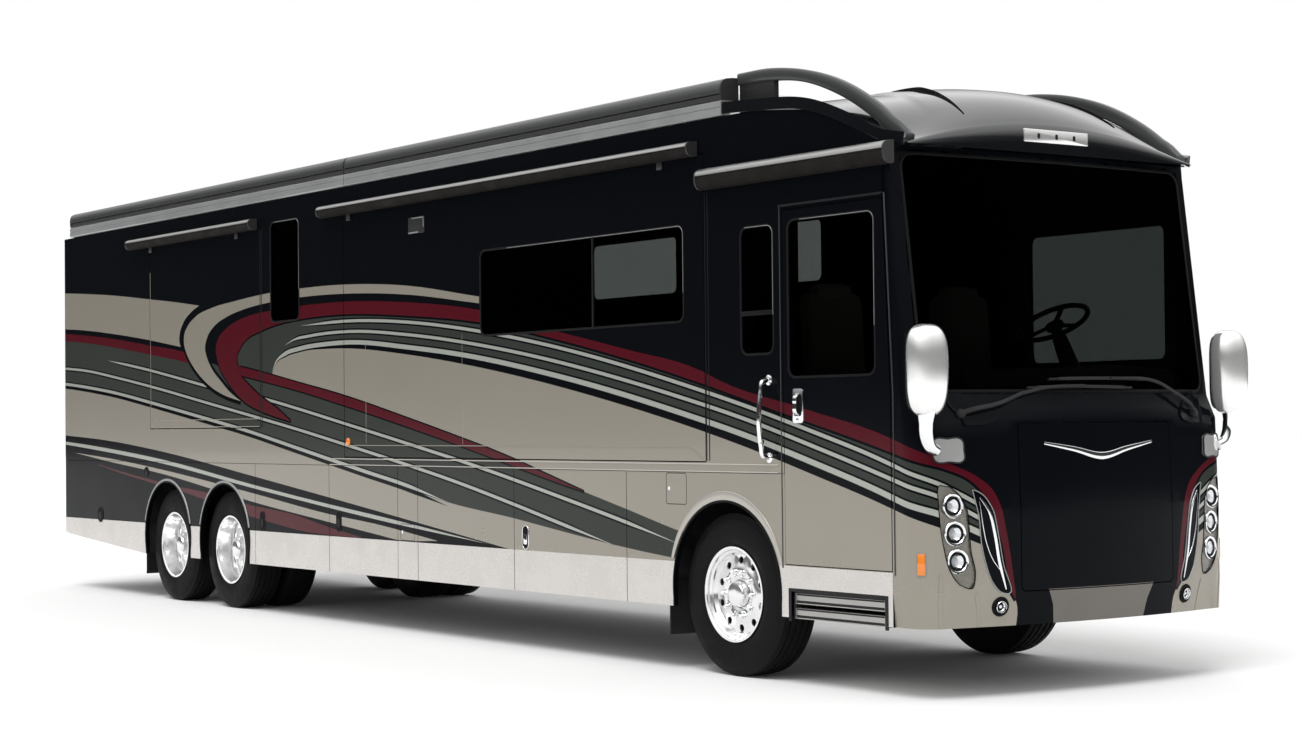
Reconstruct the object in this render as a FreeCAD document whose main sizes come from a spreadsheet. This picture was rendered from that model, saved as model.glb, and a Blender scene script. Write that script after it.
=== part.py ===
"""Tag-axle motorhome: every piece of the coach as its own solid, in millimetres.

Frame: +X forward, +Y to the coach's left, +Z up, origin on the ground under the middle.
"""
import FreeCAD, Part
import math
import os
import re
import Sketcher

Vec = FreeCAD.Vector
doc = FreeCAD.newDocument("motorhome")

# ---------------------------------------------------------------- sizes
# alias: value in mm (angles in degrees). Places along X count from the coach's middle.
SIZES = {
    # the whole coach
    "overall_length": 13500, "side_half": 1285, "panel_wall": 40, "seat_gap": 0.3, "door_gap": 6,
    # heights
    "skirt_z": 420, "belt_z": 1300, "wall_top_z": 3570, "crown_z": 3700, "tail_skirt_z": 560,
    # wheels
    "front_axle_x": 4703, "drive_axle_x": -2770, "tag_axle_x": -3990, "tyre_radius": 522,
    "tyre_half": 150, "bead_radius": 286, "wheel_out_y": 1235, "dual_spacing": 345,
    "hub_radius": 110, "spindle_radius": 45, "kingpin_y": 860, "kingpin_radius": 50,
    "front_arch_radius": 575, "front_arch_z": 548, "rear_arch_radius": 520, "rear_arch_z": 600,
    "axle_radius": 70, "spring_radius": 95,
    # chassis
    "rail_low_z": 1000, "rail_in_y": 380, "rail_wall": 80, "rail_nose_room": 550,
    "rail_tail_room": 100, "receiver_half": 25.4, "receiver_wall": 6.35, "receiver_z": 520,
    "pin_radius": 8, "pin_room": 70,
    # floors
    "deck_low_z": 1240, "deck_top_z": 1340, "bay_floor_z": 440, "sheet_wall": 30,
    "well_low_z": 700, "well_in_y": 800,
    # seams along the side
    "seam_1": -2132, "seam_2": -738, "seam_3": 425, "seam_4": 743, "seam_5": 2157,
    "seam_6": 3597, "tail_depth": 220,
    # entry door
    "door_back": 5320, "door_front": 6310, "door_lean": 60, "door_low_z": 745,
    "door_top_z": 2920, "door_waist_z": 1760,
    # slide-outs
    "main_back": -455, "main_front": 4501, "main_step": 70, "slide_top_z": 3350,
    "bed_back": -4406, "bed_front": -2021, "bed_step": 315, "lounge_back": -4400,
    "lounge_front": 3900, "slide_depth": 780, "bed_depth": 620, "slide_gap": 8,
    "topper_off": 7, "topper_size": 88,
    # windows
    "glass_wall": 10, "window_round": 60, "high_low_z": 2710, "high_top_z": 3190,
    # front and rear
    "cap_depth": 434, "brow_depth": 1700, "cap_wall": 45, "hood_half": 640,
    "hood_low_z": 615, "hood_top_z": 1600,
    "screen_low_z": 1770, "screen_top_z": 3215, "screen_half": 1190,
    "tail_half": 800, "tail_low_z": 760, "tail_top_z": 1760,
    # cab
    "steer_x": 5750, "steer_y": 600, "steer_z": 2240, "steer_radius": 230, "column_tilt": 27,
}

# places that follow from the sizes
PLACES = {
    "nose_x": "overall_length / 2", "rear_seam": "tail_depth - overall_length / 2",
    "rail_back_x": "rear_seam + rail_tail_room", "rail_front_x": "nose_x - rail_nose_room",
    "pin_x": "pin_room - nose_x", "cap_back": "nose_x - cap_depth",
    "brow_back": "nose_x - brow_depth", "main_low_z": "belt_z + main_step",
    "bed_low_z": "belt_z + bed_step", "inner_y": "side_half - panel_wall - seat_gap",
}

sheet = doc.addObject("Spreadsheet::Sheet", "Sizes")
for row_number, (alias, value) in enumerate(SIZES.items(), start=1):
    sheet.set(f"A{row_number}", alias)
    sheet.set(f"B{row_number}", str(value))
    sheet.setAlias(f"B{row_number}", alias)
doc.recompute()


def val(formula):
    """What a formula of aliases comes to, read from the sheet."""
    return float(sheet.evalExpression(bound(formula)))


def bound(formula):
    """The formula as an expression: places are spelled out, aliases get the sheet's name."""
    def spelled(word):
        name = word.group()
        if name in PLACES:
            return f"({bound(PLACES[name])})"
        return f"Sizes.{name}" if name in SIZES else name
    return re.sub(r"[a-z][a-z_0-9]*[a-z0-9]", spelled, str(formula))


def bind(obj, **formulas):
    """Bind properties; two underscores in a name stand for the dot of a path."""
    for path, formula in formulas.items():
        obj.setExpression(path.replace("__", "."), bound(formula))
    return obj


nodes = {}


def keep(node, obj):
    """Register a finished sub-part under its node name."""
    obj.Label = node
    nodes[node] = obj
    return obj


# ---------------------------------------------------------------- shared makers
def box(name, low, high):
    """Part::Box between two corners, each three formulas."""
    obj = doc.addObject("Part::Box", name)
    return bind(obj, Placement__Base__x=low[0], Placement__Base__y=low[1],
                Placement__Base__z=low[2], Length=f"({high[0]}) - ({low[0]})",
                Width=f"({high[1]}) - ({low[1]})", Height=f"({high[2]}) - ({low[2]})")


def drum(name, centre, radius, length, axis="Z"):
    """Part::Cylinder from a base centre along +Z, along +Y or along +X."""
    obj = doc.addObject("Part::Cylinder", name)
    turn = {"Z": FreeCAD.Rotation(), "Y": FreeCAD.Rotation(Vec(1, 0, 0), -90),
            "X": FreeCAD.Rotation(Vec(0, 1, 0), 90)}[axis]
    obj.Placement = FreeCAD.Placement(Vec(), turn)
    return bind(obj, Radius=radius, Height=length, Placement__Base__x=centre[0],
                Placement__Base__y=centre[1], Placement__Base__z=centre[2])


def fuse(name, parts):
    obj = doc.addObject("Part::MultiFuse", name)
    obj.Shapes = parts
    return obj


def group(name, parts):
    """Like solids that don't touch, kept as one sub-part."""
    obj = doc.addObject("Part::Compound", name)
    obj.Links = parts
    return obj


def cut(name, base, tools):
    tool = tools[0] if len(tools) == 1 else fuse(name + "_tools", tools)
    obj = doc.addObject("Part::Cut", name)
    obj.Base = base
    obj.Tool = tool
    return obj


def common(name, base, tool):
    obj = doc.addObject("Part::Common", name)
    obj.Base = base
    obj.Tool = tool
    return obj


def solid(name, shape):
    """Part::Feature for a shape that primitives can't give."""
    obj = doc.addObject("Part::Feature", name)
    obj.Shape = shape
    obj.Placement = FreeCAD.Placement()
    return obj


def mirrored(name, source):
    """The same piece on the coach's other side."""
    obj = doc.addObject("Part::Mirroring", name)
    obj.Source = source
    obj.Normal = Vec(0, 1, 0)
    return obj


def rounded(name, low, high, radius):
    """A box whose edges along Y are rounded, for window glass and window holes."""
    block = box(name + "_block", low, high)
    doc.recompute()
    obj = doc.addObject("Part::Fillet", name)
    obj.Base = block
    along_y = [number for number, edge in enumerate(block.Shape.Edges, start=1)
               if abs(edge.tangentAt(edge.FirstParameter).y) > 0.99]
    obj.Edges = [(number, val(radius), val(radius)) for number in along_y]
    return obj


def window(name, x_low, x_high, z_low, z_high, y_low, y_high):
    """A hole through a wall and the pane that fills it, as (hole, pane)."""
    hole = rounded(name + "_hole", (x_low, f"{y_low} - 100", z_low),
                   (x_high, f"{y_high} + 100", z_high), "window_round")
    gap = "seat_gap"
    pane = rounded(name + "_pane", (f"{x_low} + {gap}", y_low, f"{z_low} + {gap}"),
                   (f"{x_high} - {gap}", y_high, f"{z_high} - {gap}"), "window_round")
    return hole, pane


def wire_of(points):
    """Closed outline of straight edges."""
    return Part.makePolygon(list(points) + [points[0]])


def extruded(points, direction):
    return Part.Face(wire_of(points)).extrude(direction)


def arc(first, middle, last):
    return Part.Arc(first, middle, last).toShape()


# ---------------------------------------------------------------- wheels
def turned(name, outline):
    """PartDesign ring: a closed outline of (radius, y) formulas turned about the Y axis."""
    body = doc.addObject("PartDesign::Body", name)
    plane = [item for item in body.Origin.OriginFeatures if item.Role == "XY_Plane"][0]
    sketch = body.newObject("Sketcher::SketchObject", name + "_outline")
    sketch.AttachmentSupport = [(plane, "")]
    sketch.MapMode = "FlatFace"
    corners = [Vec(val(radius), val(y), 0) for radius, y in outline]
    count = len(corners)
    for index in range(count):
        sketch.addGeometry(Part.LineSegment(corners[index], corners[(index + 1) % count]))
    for index in range(count):
        sketch.addConstraint(Sketcher.Constraint("Coincident", index, 2, (index + 1) % count, 1))
    for index, (radius, y) in enumerate(outline):
        for kind, formula, place in (("DistanceX", radius, corners[index].x),
                                     ("DistanceY", y, corners[index].y)):
            if abs(place) < 1e-6:
                axis = -2 if kind == "DistanceX" else -1
                sketch.addConstraint(Sketcher.Constraint("PointOnObject", index, 1, axis))
            else:
                number = sketch.addConstraint(
                    Sketcher.Constraint(kind, -1, 1, index, 1, place))
                sketch.setExpression(f"Constraints[{number}]", bound(formula))
    ring = body.newObject("PartDesign::Revolution", name + "_ring")
    ring.Profile = sketch
    ring.ReferenceAxis = (sketch, ["V_Axis"])
    ring.Angle = 360
    sketch.Visibility = False
    return body


def tyre(name):
    """Tyre section: bead, sidewall, shoulder, tread, and the same mirrored."""
    half = [("bead_radius + seat_gap", "0.76 * tyre_half"), ("bead_radius + 20", "0.9 * tyre_half"),
            ("tyre_radius - 120", "tyre_half"), ("tyre_radius - 40", "0.97 * tyre_half"),
            ("tyre_radius - 8", "0.84 * tyre_half"), ("tyre_radius", "0.66 * tyre_half")]
    other = [(radius, f"-({y})") for radius, y in reversed(half)]
    return turned(name, half + other)


def rim(name, disc, hub_in, hub_out):
    """Wheel: flanged barrel, flat disc, and the hub that turns on the spindle."""
    low, high = f"{disc} - 10", f"{disc} + 10"
    return turned(name, [
        ("spindle_radius + seat_gap", hub_in), ("hub_radius", hub_in), ("hub_radius", low),
        ("bead_radius - 13", low), ("bead_radius - 13", "-tyre_half + 5"),
        ("bead_radius + 19", "-tyre_half + 5"), ("bead_radius + 19", "-tyre_half + 13"),
        ("bead_radius", "-tyre_half + 13"), ("bead_radius", "tyre_half - 13"),
        ("bead_radius + 19", "tyre_half - 13"), ("bead_radius + 19", "tyre_half - 5"),
        ("bead_radius - 13", "tyre_half - 5"), ("bead_radius - 13", high), ("hub_radius", high),
        ("hub_radius", hub_out), (0, hub_out), (0, f"{hub_out} - 15"),
        ("spindle_radius + seat_gap", f"{hub_out} - 15")])


def inner_rim(name, disc):
    """Inner twin: its disc is bored to slip over the outer wheel's hub."""
    return turned(name, [
        ("hub_radius + seat_gap", f"{disc} - 10"), ("bead_radius - 13", f"{disc} - 10"),
        ("bead_radius - 13", "-tyre_half + 5"), ("bead_radius + 19", "-tyre_half + 5"),
        ("bead_radius + 19", "-tyre_half + 13"), ("bead_radius", "-tyre_half + 13"),
        ("bead_radius", "tyre_half - 13"), ("bead_radius + 19", "tyre_half - 13"),
        ("bead_radius + 19", "tyre_half - 5"), ("bead_radius - 13", "tyre_half - 5"),
        ("bead_radius - 13", f"{disc} + 10"), ("hub_radius + seat_gap", f"{disc} + 10")])


def place_wheel(obj, x_formula, side, inward="0"):
    """Centre a wheel piece on its axle, its outward axis towards its own side."""
    obj.Placement = FreeCAD.Placement(Vec(), FreeCAD.Rotation(Vec(0, 0, 1), 0 if side > 0 else 180))
    return bind(obj, Placement__Base__x=x_formula, Placement__Base__z="tyre_radius",
                Placement__Base__y=f"{side} * (wheel_out_y - tyre_half - ({inward}))")


WHEEL_Y = "(wheel_out_y - tyre_half)"
for side, hand in ((1, "left"), (-1, "right")):
    keep(f"front_tyre_{hand}", place_wheel(tyre(f"front_tyre_{hand}"), "front_axle_x", side))
    keep(f"front_rim_{hand}",
         place_wheel(rim(f"front_rim_{hand}", 80, -110, 130), "front_axle_x", side))
    keep(f"tag_tyre_{hand}", place_wheel(tyre(f"tag_tyre_{hand}"), "tag_axle_x", side))
    keep(f"tag_rim_{hand}", place_wheel(rim(f"tag_rim_{hand}", -100, -125, 60), "tag_axle_x", side))
    keep(f"drive_tyres_{hand}", group(f"drive_tyres_{hand}", [
        place_wheel(tyre(f"drive_tyre_outer_{hand}"), "drive_axle_x", side),
        place_wheel(tyre(f"drive_tyre_inner_{hand}"), "drive_axle_x", side, "dual_spacing")]))
    keep(f"drive_rims_{hand}", group(f"drive_rims_{hand}", [
        place_wheel(rim(f"drive_rim_outer_{hand}", -100, -460, 60), "drive_axle_x", side),
        place_wheel(inner_rim(f"drive_rim_inner_{hand}", 100), "drive_axle_x", side,
                    "dual_spacing")]))

# ---------------------------------------------------------------- axles and knuckles
def both_sides(name, low, high):
    """A box given for the left, and its mirror image."""
    left = box(name + "_left", low, high)
    return [left, mirrored(name + "_right", left)]


def spindle_pair(name, x_formula, start, hub_out):
    """Spindles that reach from an axle's end up to the closed end of each hub."""
    end = f"{WHEEL_Y} + {hub_out} - 15 - seat_gap"
    left = drum(name + "_left", (x_formula, start, "tyre_radius"), "spindle_radius",
                f"{end} - ({start})", "Y")
    return [left, mirrored(name + "_right", left)]


def rear_axle(name, x_formula, hub_in):
    """Axle ends with spindles, trailing beams, and the air springs that meet the rails."""
    end = f"{WHEEL_Y} + {hub_in} - seat_gap"
    tube = drum(name + "_tube", (x_formula, "rail_in_y", "tyre_radius"), "axle_radius",
                f"({end}) - rail_in_y", "Y")
    parts = [tube, mirrored(name + "_tube_right", tube)]
    parts += spindle_pair(name + "_spindle", x_formula, f"{end} - 20", 60)
    parts += both_sides(name + "_beam", (f"{x_formula} - 400", "rail_in_y", "tyre_radius - 140"),
                        (f"{x_formula} + 400", "rail_in_y + rail_wall", "tyre_radius + 60"))
    for place, offset in (("back", -290), ("front", 290)):
        spring = drum(f"{name}_spring_{place}",
                      (f"{x_formula} + {offset}", "rail_in_y + rail_wall / 2", "tyre_radius + 60"),
                      "spring_radius", "rail_low_z - tyre_radius - 60")
        parts += [spring, mirrored(f"{name}_spring_{place}_right", spring)]
    return parts


differential = drum("differential", ("drive_axle_x", -190, "tyre_radius"), 190, 380, "Y")
middle_tube = drum("drive_middle_tube", ("drive_axle_x", "-rail_in_y", "tyre_radius"),
                   "axle_radius", "2 * rail_in_y", "Y")
drop_beam = box("tag_drop_beam", ("tag_axle_x - 60", "-rail_in_y", "tyre_radius - 140"),
                ("tag_axle_x + 60", "rail_in_y", "tyre_radius - 50"))
engine_front = "(drive_axle_x - 2080)"
shaft = drum("propeller_shaft", (f"{engine_front} + seat_gap", 0, "tyre_radius + 40"), 40,
             f"drive_axle_x - {engine_front} - seat_gap", "X")
keep("rear_axles", group("rear_axles", [
    fuse("drive_axle", rear_axle("drive", "drive_axle_x", -460)
         + [differential, middle_tube, shaft]),
    fuse("tag_axle", rear_axle("tag", "tag_axle_x", -125) + [drop_beam])]))

boss = drum("kingpin_boss_left", ("front_axle_x", "kingpin_y", "tyre_radius - 100"),
            "kingpin_radius", 200)
front_beam = box("front_beam", ("front_axle_x - 60", "-kingpin_y", "tyre_radius - 70"),
                 ("front_axle_x + 60", "kingpin_y", "tyre_radius + 50"))
beam_ends = both_sides("beam_end", ("front_axle_x - 100", "kingpin_y - 15", "tyre_radius - 120"),
                       ("front_axle_x + 100", "kingpin_y + 100", "tyre_radius + 120"))
front_spring = drum("front_spring_left",
                    ("front_axle_x", "rail_in_y + rail_wall / 2", "tyre_radius + 50"), 85,
                    "rail_low_z - tyre_radius - 50")
keep("front_axle", fuse("front_axle", [
    cut("front_beam_cut", front_beam, beam_ends), boss, mirrored("kingpin_boss_right", boss),
    front_spring, mirrored("front_spring_right", front_spring)]))

for side, hand in ((1, "left"), (-1, "right")):
    plate = box(f"knuckle_plate_{hand}",
                ("front_axle_x - 60", "kingpin_y + kingpin_radius + 8", "tyre_radius - 160"),
                ("front_axle_x + 60", f"{WHEEL_Y} - 120", "tyre_radius + 160"))
    ears = [box(f"knuckle_ear_{place}_{hand}",
                ("front_axle_x - 50", "kingpin_y - 50", low),
                ("front_axle_x + 50", "kingpin_y + kingpin_radius + 20", high))
            for place, low, high in (
                ("top", "tyre_radius + 100 + seat_gap", "tyre_radius + 150"),
                ("bottom", "tyre_radius - 150", "tyre_radius - 100 - seat_gap"))]
    spindle = drum(f"knuckle_spindle_{hand}",
                   ("front_axle_x", f"{WHEEL_Y} - 130", "tyre_radius"), "spindle_radius",
                   "130 + 130 - 15 - seat_gap", "Y")
    whole = fuse(f"knuckle_{hand}_whole", [plate, spindle] + ears)
    keep(f"knuckle_{hand}", whole if side > 0 else mirrored("knuckle_right", whole))

# ---------------------------------------------------------------- chassis
rails = both_sides("rail", ("rail_back_x", "rail_in_y", "rail_low_z"),
                   ("rail_front_x", "rail_in_y + rail_wall", "deck_low_z"))
crossings = [box(f"cross_member_{index}", (f"{place} - 40", "-rail_in_y", "deck_low_z - 120"),
                 (f"{place} + 40", "rail_in_y", "deck_low_z"))
             for index, place in enumerate(("rail_back_x + 40", "drive_axle_x - 600",
                                            "drive_axle_x + 600", "seam_3", "seam_5",
                                            "front_axle_x - 700", "rail_front_x - 40"), start=1)]
hangers = both_sides("hitch_hanger", ("rail_back_x", "rail_in_y", "receiver_z - 45"),
                     ("rail_back_x + 75", "rail_in_y + rail_wall", "rail_low_z"))
hitch_bar = box("hitch_bar", ("rail_back_x", "-rail_in_y", "receiver_z - 45"),
                ("rail_back_x + 75", "rail_in_y", "receiver_z + 45"))
keep("chassis_frame", fuse("chassis_frame", rails + crossings + hangers + [hitch_bar]))

receiver_out = "(receiver_half + receiver_wall)"
receiver = cut("receiver_hollow",
               box("receiver_tube", ("-overall_length / 2 + 15", f"-{receiver_out}",
                                     f"receiver_z - {receiver_out}"),
                   ("rail_back_x", receiver_out, f"receiver_z + {receiver_out}")),
               [box("receiver_bore", ("-overall_length / 2", "-receiver_half",
                                      "receiver_z - receiver_half"),
                    ("rail_back_x - 12", "receiver_half", "receiver_z + receiver_half")),
                drum("hitch_pin_hole", ("pin_x", "-60", "receiver_z"), "pin_radius", 120, "Y")])
keep("hitch_receiver", receiver)

keep("engine_block", box("engine_mass",
                         ("rail_back_x + 80", "-rail_in_y + seat_gap", "tyre_radius - 40"),
                         (engine_front, "rail_in_y - seat_gap", "deck_low_z - 120 - seat_gap")))

# ---------------------------------------------------------------- floor and basement
well_back, well_front = "(door_back + 90)", "(door_front - 60)"
well_from, well_to = f"({well_back} + sheet_wall)", f"({well_front} - sheet_wall)"
well_wall, tray_top = "(-well_in_y - sheet_wall)", "(well_low_z + sheet_wall)"
decks = [box(f"deck_plate_{name}", (back, low_y, "deck_low_z"), (front, "inner_y", "deck_top_z"))
         for name, back, front, low_y in (("rear", "rear_seam", well_from, "-inner_y"),
                                          ("front", well_to, "cap_back", "-inner_y"),
                                          ("side", well_from, well_to, well_wall))]
well_tray = [
    box("well_floor", (well_back, "-inner_y", "well_low_z"), (well_front, "-well_in_y", tray_top)),
    box("well_wall_back", (well_back, "-inner_y", tray_top),
        (well_from, "-well_in_y", "deck_low_z")),
    box("well_wall_front", (well_to, "-inner_y", tray_top),
        (well_front, "-well_in_y", "deck_low_z")),
    box("well_wall_inner", (well_from, well_wall, tray_top),
        (well_to, "-well_in_y", "deck_low_z")),
    box("well_stair", (well_from, "-well_in_y - 220", tray_top),
        (well_to, well_wall, "well_low_z + 330"))]
runners = []
for name, back, front, top, side in (
        ("main", "main_back", "main_front", "main_low_z", -1),
        ("bed", "bed_back", "bed_front", "bed_low_z", -1),
        ("lounge", "lounge_back", "lounge_front", "main_low_z", 1)):
    for index, share in enumerate((0.15, 0.5, 0.85), start=1):
        place = f"({back} + {share} * ({front} - ({back})))"
        low_y, high_y = ("-side_half + 60", -600) if side < 0 else (600, "side_half - 60")
        runners.append(box(f"runner_{name}_{index}", (f"{place} - 40", low_y, "deck_top_z"),
                           (f"{place} + 40", high_y, f"{top} - seat_gap")))
STEP_Y = "(-side_half + 20)"
step_back, step_front = "(door_back + 50 + seat_gap)", "(door_front - 66)"
case_in, case_roof, case_top = "(445 - side_half)", "(skirt_z + 148)", "(skirt_z + 160)"
step_case = [
    box("step_top", (step_back, STEP_Y, case_roof), (step_front, case_in, case_top)),
    box("step_side_back", (step_back, STEP_Y, "skirt_z - 10"),
        (f"{step_back} + 14", case_in, case_roof)),
    box("step_side_front", (f"{step_front} - 14", STEP_Y, "skirt_z - 10"),
        (step_front, case_in, case_roof)),
    box("step_hanger", (f"{step_back} + 100", f"{case_in} - 160", case_top),
        (f"{step_front} - 100", case_in, "well_low_z"))]
keep("floor_deck", group("floor_deck", decks + well_tray + step_case + runners))

# name: place of the bulkhead's front face; the wheel wells lie between them
BULKHEADS = {
    "behind_tag": "tag_axle_x - 600", "seam_1": "seam_1", "seam_2": "seam_2 + 15",
    "seam_3": "seam_3 + 15", "seam_4": "seam_4 + 15", "seam_5": "seam_5 + 15",
    "seam_6": "seam_6 + 15", "well_back": "front_axle_x - 680"}
shaft_hole = box("shaft_hole", ("tag_axle_x - 700", -120, "tyre_radius - 100"),
                 ("tag_axle_x - 500", 120, "tyre_radius + 160"))


def bulkhead(name, back, front):
    """A cross wall in three plates: one under the rails and one outside each rail."""
    low = box(f"bulkhead_{name}", (back, "-inner_y", "skirt_z"), (front, "inner_y", "rail_low_z"))
    if name == "behind_tag":
        low = cut("bulkhead_holed", low, [shaft_hole])
    return [low] + both_sides(f"bulkhead_{name}_top",
                              (back, "rail_in_y + rail_wall + 10", "rail_low_z"),
                              (front, "inner_y", "deck_low_z"))


plates = bulkhead("well_front", "door_back + 36", "door_back + 50")
for name, front in BULKHEADS.items():
    plates += bulkhead(name, f"{front} - sheet_wall", front)
bay_floors = [box(f"bay_floor_{index}", (back, "-inner_y", "bay_floor_z"),
                  (f"{front} + 15 - sheet_wall", "inner_y", "bay_floor_z + sheet_wall"))
              for index, (back, front) in enumerate((
                  ("seam_1", "seam_2"), ("seam_2 + 15", "seam_3"),
                  ("seam_4 + 15", "seam_5"), ("seam_5 + 15", "seam_6")), start=1)]
keep("basement", group("basement", plates + bay_floors))

flaps = []
for name, x_formula in (("front", "front_axle_x - 680"), ("rear", "tag_axle_x - 600 - 42")):
    flaps += both_sides(f"{name}_flap", (x_formula, 930, "tyre_radius - 300"),
                        (f"{x_formula} + 12", "inner_y - 5", "skirt_z + 160"))
keep("mud_flaps", group("mud_flaps", flaps))

# ---------------------------------------------------------------- lower side panels and bay doors
def arch_tool(name, x_formula, radius, height):
    """Round-topped hole for a wheel, open at the bottom."""
    top = drum(name + "_round", (x_formula, -2000, height), radius, 4000, "Y")
    legs = box(name + "_legs", (f"{x_formula} - {radius}", -2000, 0),
               (f"{x_formula} + {radius}", 2000, height))
    return fuse(name, [top, legs])


arches = [arch_tool("front_arch", "front_axle_x", "front_arch_radius", "front_arch_z"),
          arch_tool("drive_arch", "drive_axle_x", "rear_arch_radius", "rear_arch_z"),
          arch_tool("tag_arch", "tag_axle_x - 30", "rear_arch_radius", "rear_arch_z")]
HALF_GAP = "door_gap / 2"
LOW_TOP = "(belt_z - 4)"


def side_panel(name, side, back, front, low="skirt_z", top=LOW_TOP):
    """Flat outer panel on one side, between two seams."""
    near, far = ("-side_half", "-side_half + panel_wall") if side < 0 else (
        "side_half - panel_wall", "side_half")
    return box(name, (back, near, low), (front, far, top))


step_hole = box("step_hole", ("door_back + 30", "-side_half - 50", "skirt_z - 50"),
                ("door_front - 60", "-side_half + 200", "skirt_z + 170"))
tail_rise = solid("tail_rise", extruded(
    [Vec(val("rear_seam") - 10, -2000, 0), Vec(val("tag_axle_x") - 590, -2000, 0),
     Vec(val("tag_axle_x") - 590, -2000, val("skirt_z")),
     Vec(val("rear_seam") - 10, -2000, val("tail_skirt_z") - 10)], Vec(0, 4000, 0)))
for side, hand in ((-1, "right"), (1, "left")):
    front_end = "cap_back - seat_gap"
    rear_panel = cut(f"rear_side_{hand}", side_panel(f"rear_side_{hand}_plate", side, "rear_seam",
                                                     f"seam_1 - {HALF_GAP}"),
                     [arches[1], arches[2], tail_rise])
    arch_panel = side_panel(f"arch_side_{hand}_plate", side, f"seam_6 + {HALF_GAP}",
                            f"door_back - {HALF_GAP}")
    parts = [rear_panel, side_panel(f"service_side_{hand}", side, f"seam_3 + {HALF_GAP}",
                                    f"seam_4 - {HALF_GAP}")]
    if side < 0:
        sill = side_panel("door_sill", side, f"door_back - {HALF_GAP}", front_end,
                          top="door_low_z - door_gap")
        parts.append(cut("arch_side_right", fuse("arch_side_right_whole", [arch_panel, sill]),
                         [arches[0], step_hole]))
    else:
        cab_panel = side_panel("cab_side_left", side, f"door_back - {HALF_GAP}", front_end)
        parts.append(cut("arch_side_left", fuse("arch_side_left_whole",
                                                [arch_panel, cab_panel]), [arches[0]]))
        parts += [side_panel("middle_side_left_1", side, f"seam_1 + {HALF_GAP}",
                             f"seam_2 - {HALF_GAP}"),
                  side_panel("middle_side_left_2", side, f"seam_2 + {HALF_GAP}",
                             f"seam_3 - {HALF_GAP}")]
    keep(f"lower_panels_{hand}", group(f"lower_panels_{hand}", parts))

# node: side, back seam, front seam (the hinge is at the front seam)
BAY_DOORS = {
    "bay_door_right_1": (-1, "seam_1", "seam_2"), "bay_door_right_2": (-1, "seam_2", "seam_3"),
    "bay_door_right_3": (-1, "seam_4", "seam_5"), "bay_door_right_4": (-1, "seam_5", "seam_6"),
    "bay_door_left_1": (1, "seam_4", "seam_5"), "bay_door_left_2": (1, "seam_5", "seam_6")}
for node, (side, back, front) in BAY_DOORS.items():
    keep(node, side_panel(node, side, f"{back} + {HALF_GAP}", f"{front} - {HALF_GAP}"))

# ---------------------------------------------------------------- upper walls
EDGE = [("brow_back", "wall_top_z"), ("brow_back + 550", "wall_top_z - 58"),
        ("brow_back + 950", "wall_top_z - 200"), ("brow_back + 1170", "wall_top_z - 305")]


def wall_plate(name, near_y):
    """Upper side wall: belt to roof edge, its front corner following the falling roof line."""
    lean = val("door_lean")
    front = val("cap_back") - val("seat_gap")
    outline = [Vec(val("rear_seam"), near_y, val("belt_z")), Vec(front, near_y, val("belt_z")),
               Vec(front, near_y, val("door_waist_z")),
               Vec(front - lean, near_y, val("door_top_z")),
               Vec(val("brow_back") + 1180, near_y, val("wall_top_z - 305"))]
    outline += [Vec(val(x), near_y, val(z)) for x, z in reversed(EDGE)]
    outline.append(Vec(val("rear_seam"), near_y, val("wall_top_z")))
    return solid(name, extruded(outline, Vec(0, val("panel_wall"), 0)))


def slide_hole(name, side, back, front, low):
    near, far = ("-side_half - 50", "panel_wall + 50 - side_half") if side < 0 else (
        "side_half - panel_wall - 50", "side_half + 50")
    gap = "slide_gap"
    return box(name, (f"{back} - {gap}", near, f"{low} - {gap}"),
               (f"{front} + {gap}", far, f"slide_top_z + {gap}"))


def door_outline(grow, y):
    """Entry door outline with its leaning front edge, grown or shrunk all round."""
    lean = val("door_lean")
    low, top = val("door_low_z") - grow, val("door_top_z") + grow
    return [Vec(val("door_back") - grow, y, low), Vec(val("door_front") + grow, y, low),
            Vec(val("door_front") + grow, y, val("door_waist_z")),
            Vec(val("door_front") - lean + grow, y, top), Vec(val("door_back") - grow, y, top)]


OUT_RIGHT, IN_RIGHT = "-side_half", "-side_half + panel_wall"
OUT_LEFT, IN_LEFT = "side_half - panel_wall", "side_half"
PANE_RIGHT = ("-side_half + 8", "-side_half + 8 + glass_wall")
PANE_LEFT = ("side_half - 8 - glass_wall", "side_half - 8")
door_hole = solid("door_hole", extruded(door_outline(val("door_gap"), val("-side_half - 200")),
                                      Vec(0, 400, 0)))
narrow_hole, narrow_pane = window("narrow_window", "door_back - 426", "door_back - 99", 2044, 2841,
                                  *PANE_RIGHT)
tall_hole, tall_pane = window("tall_window", -1803, -1263, 2524, 3381, *PANE_RIGHT)
driver_hole, driver_pane = window("driver_window", "door_back - 460", "door_front - 200", 2000,
                                  2880, *PANE_LEFT)
bath_hole, bath_pane = window("bath_window", -5600, -5000, 2400, 2900, *PANE_LEFT)
jamb_ring = solid("jamb_ring", extruded(door_outline(45, val("-side_half + panel_wall")),
                                        Vec(0, 25, 0)))
jamb_room = solid("jamb_room", extruded(door_outline(-35, -val("side_half")), Vec(0, 120, 0)))
jamb_low = box("jamb_low", (0, "-side_half", 0), ("overall_length", "side_half", "deck_top_z + 5"))
jamb = cut("door_jamb", jamb_ring, [jamb_room, jamb_low])
right_blank = wall_plate("right_wall_blank", -val("side_half"))
left_blank = wall_plate("left_wall_blank", val("side_half - panel_wall"))
right_plate = cut("right_wall_open", right_blank, [
    slide_hole("main_hole", -1, "main_back", "main_front", "main_low_z"),
    slide_hole("bed_hole", -1, "bed_back", "bed_front", "bed_low_z"),
    door_hole, narrow_hole, tall_hole])
keep("right_wall", fuse("right_wall", [right_plate, jamb]))
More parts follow.
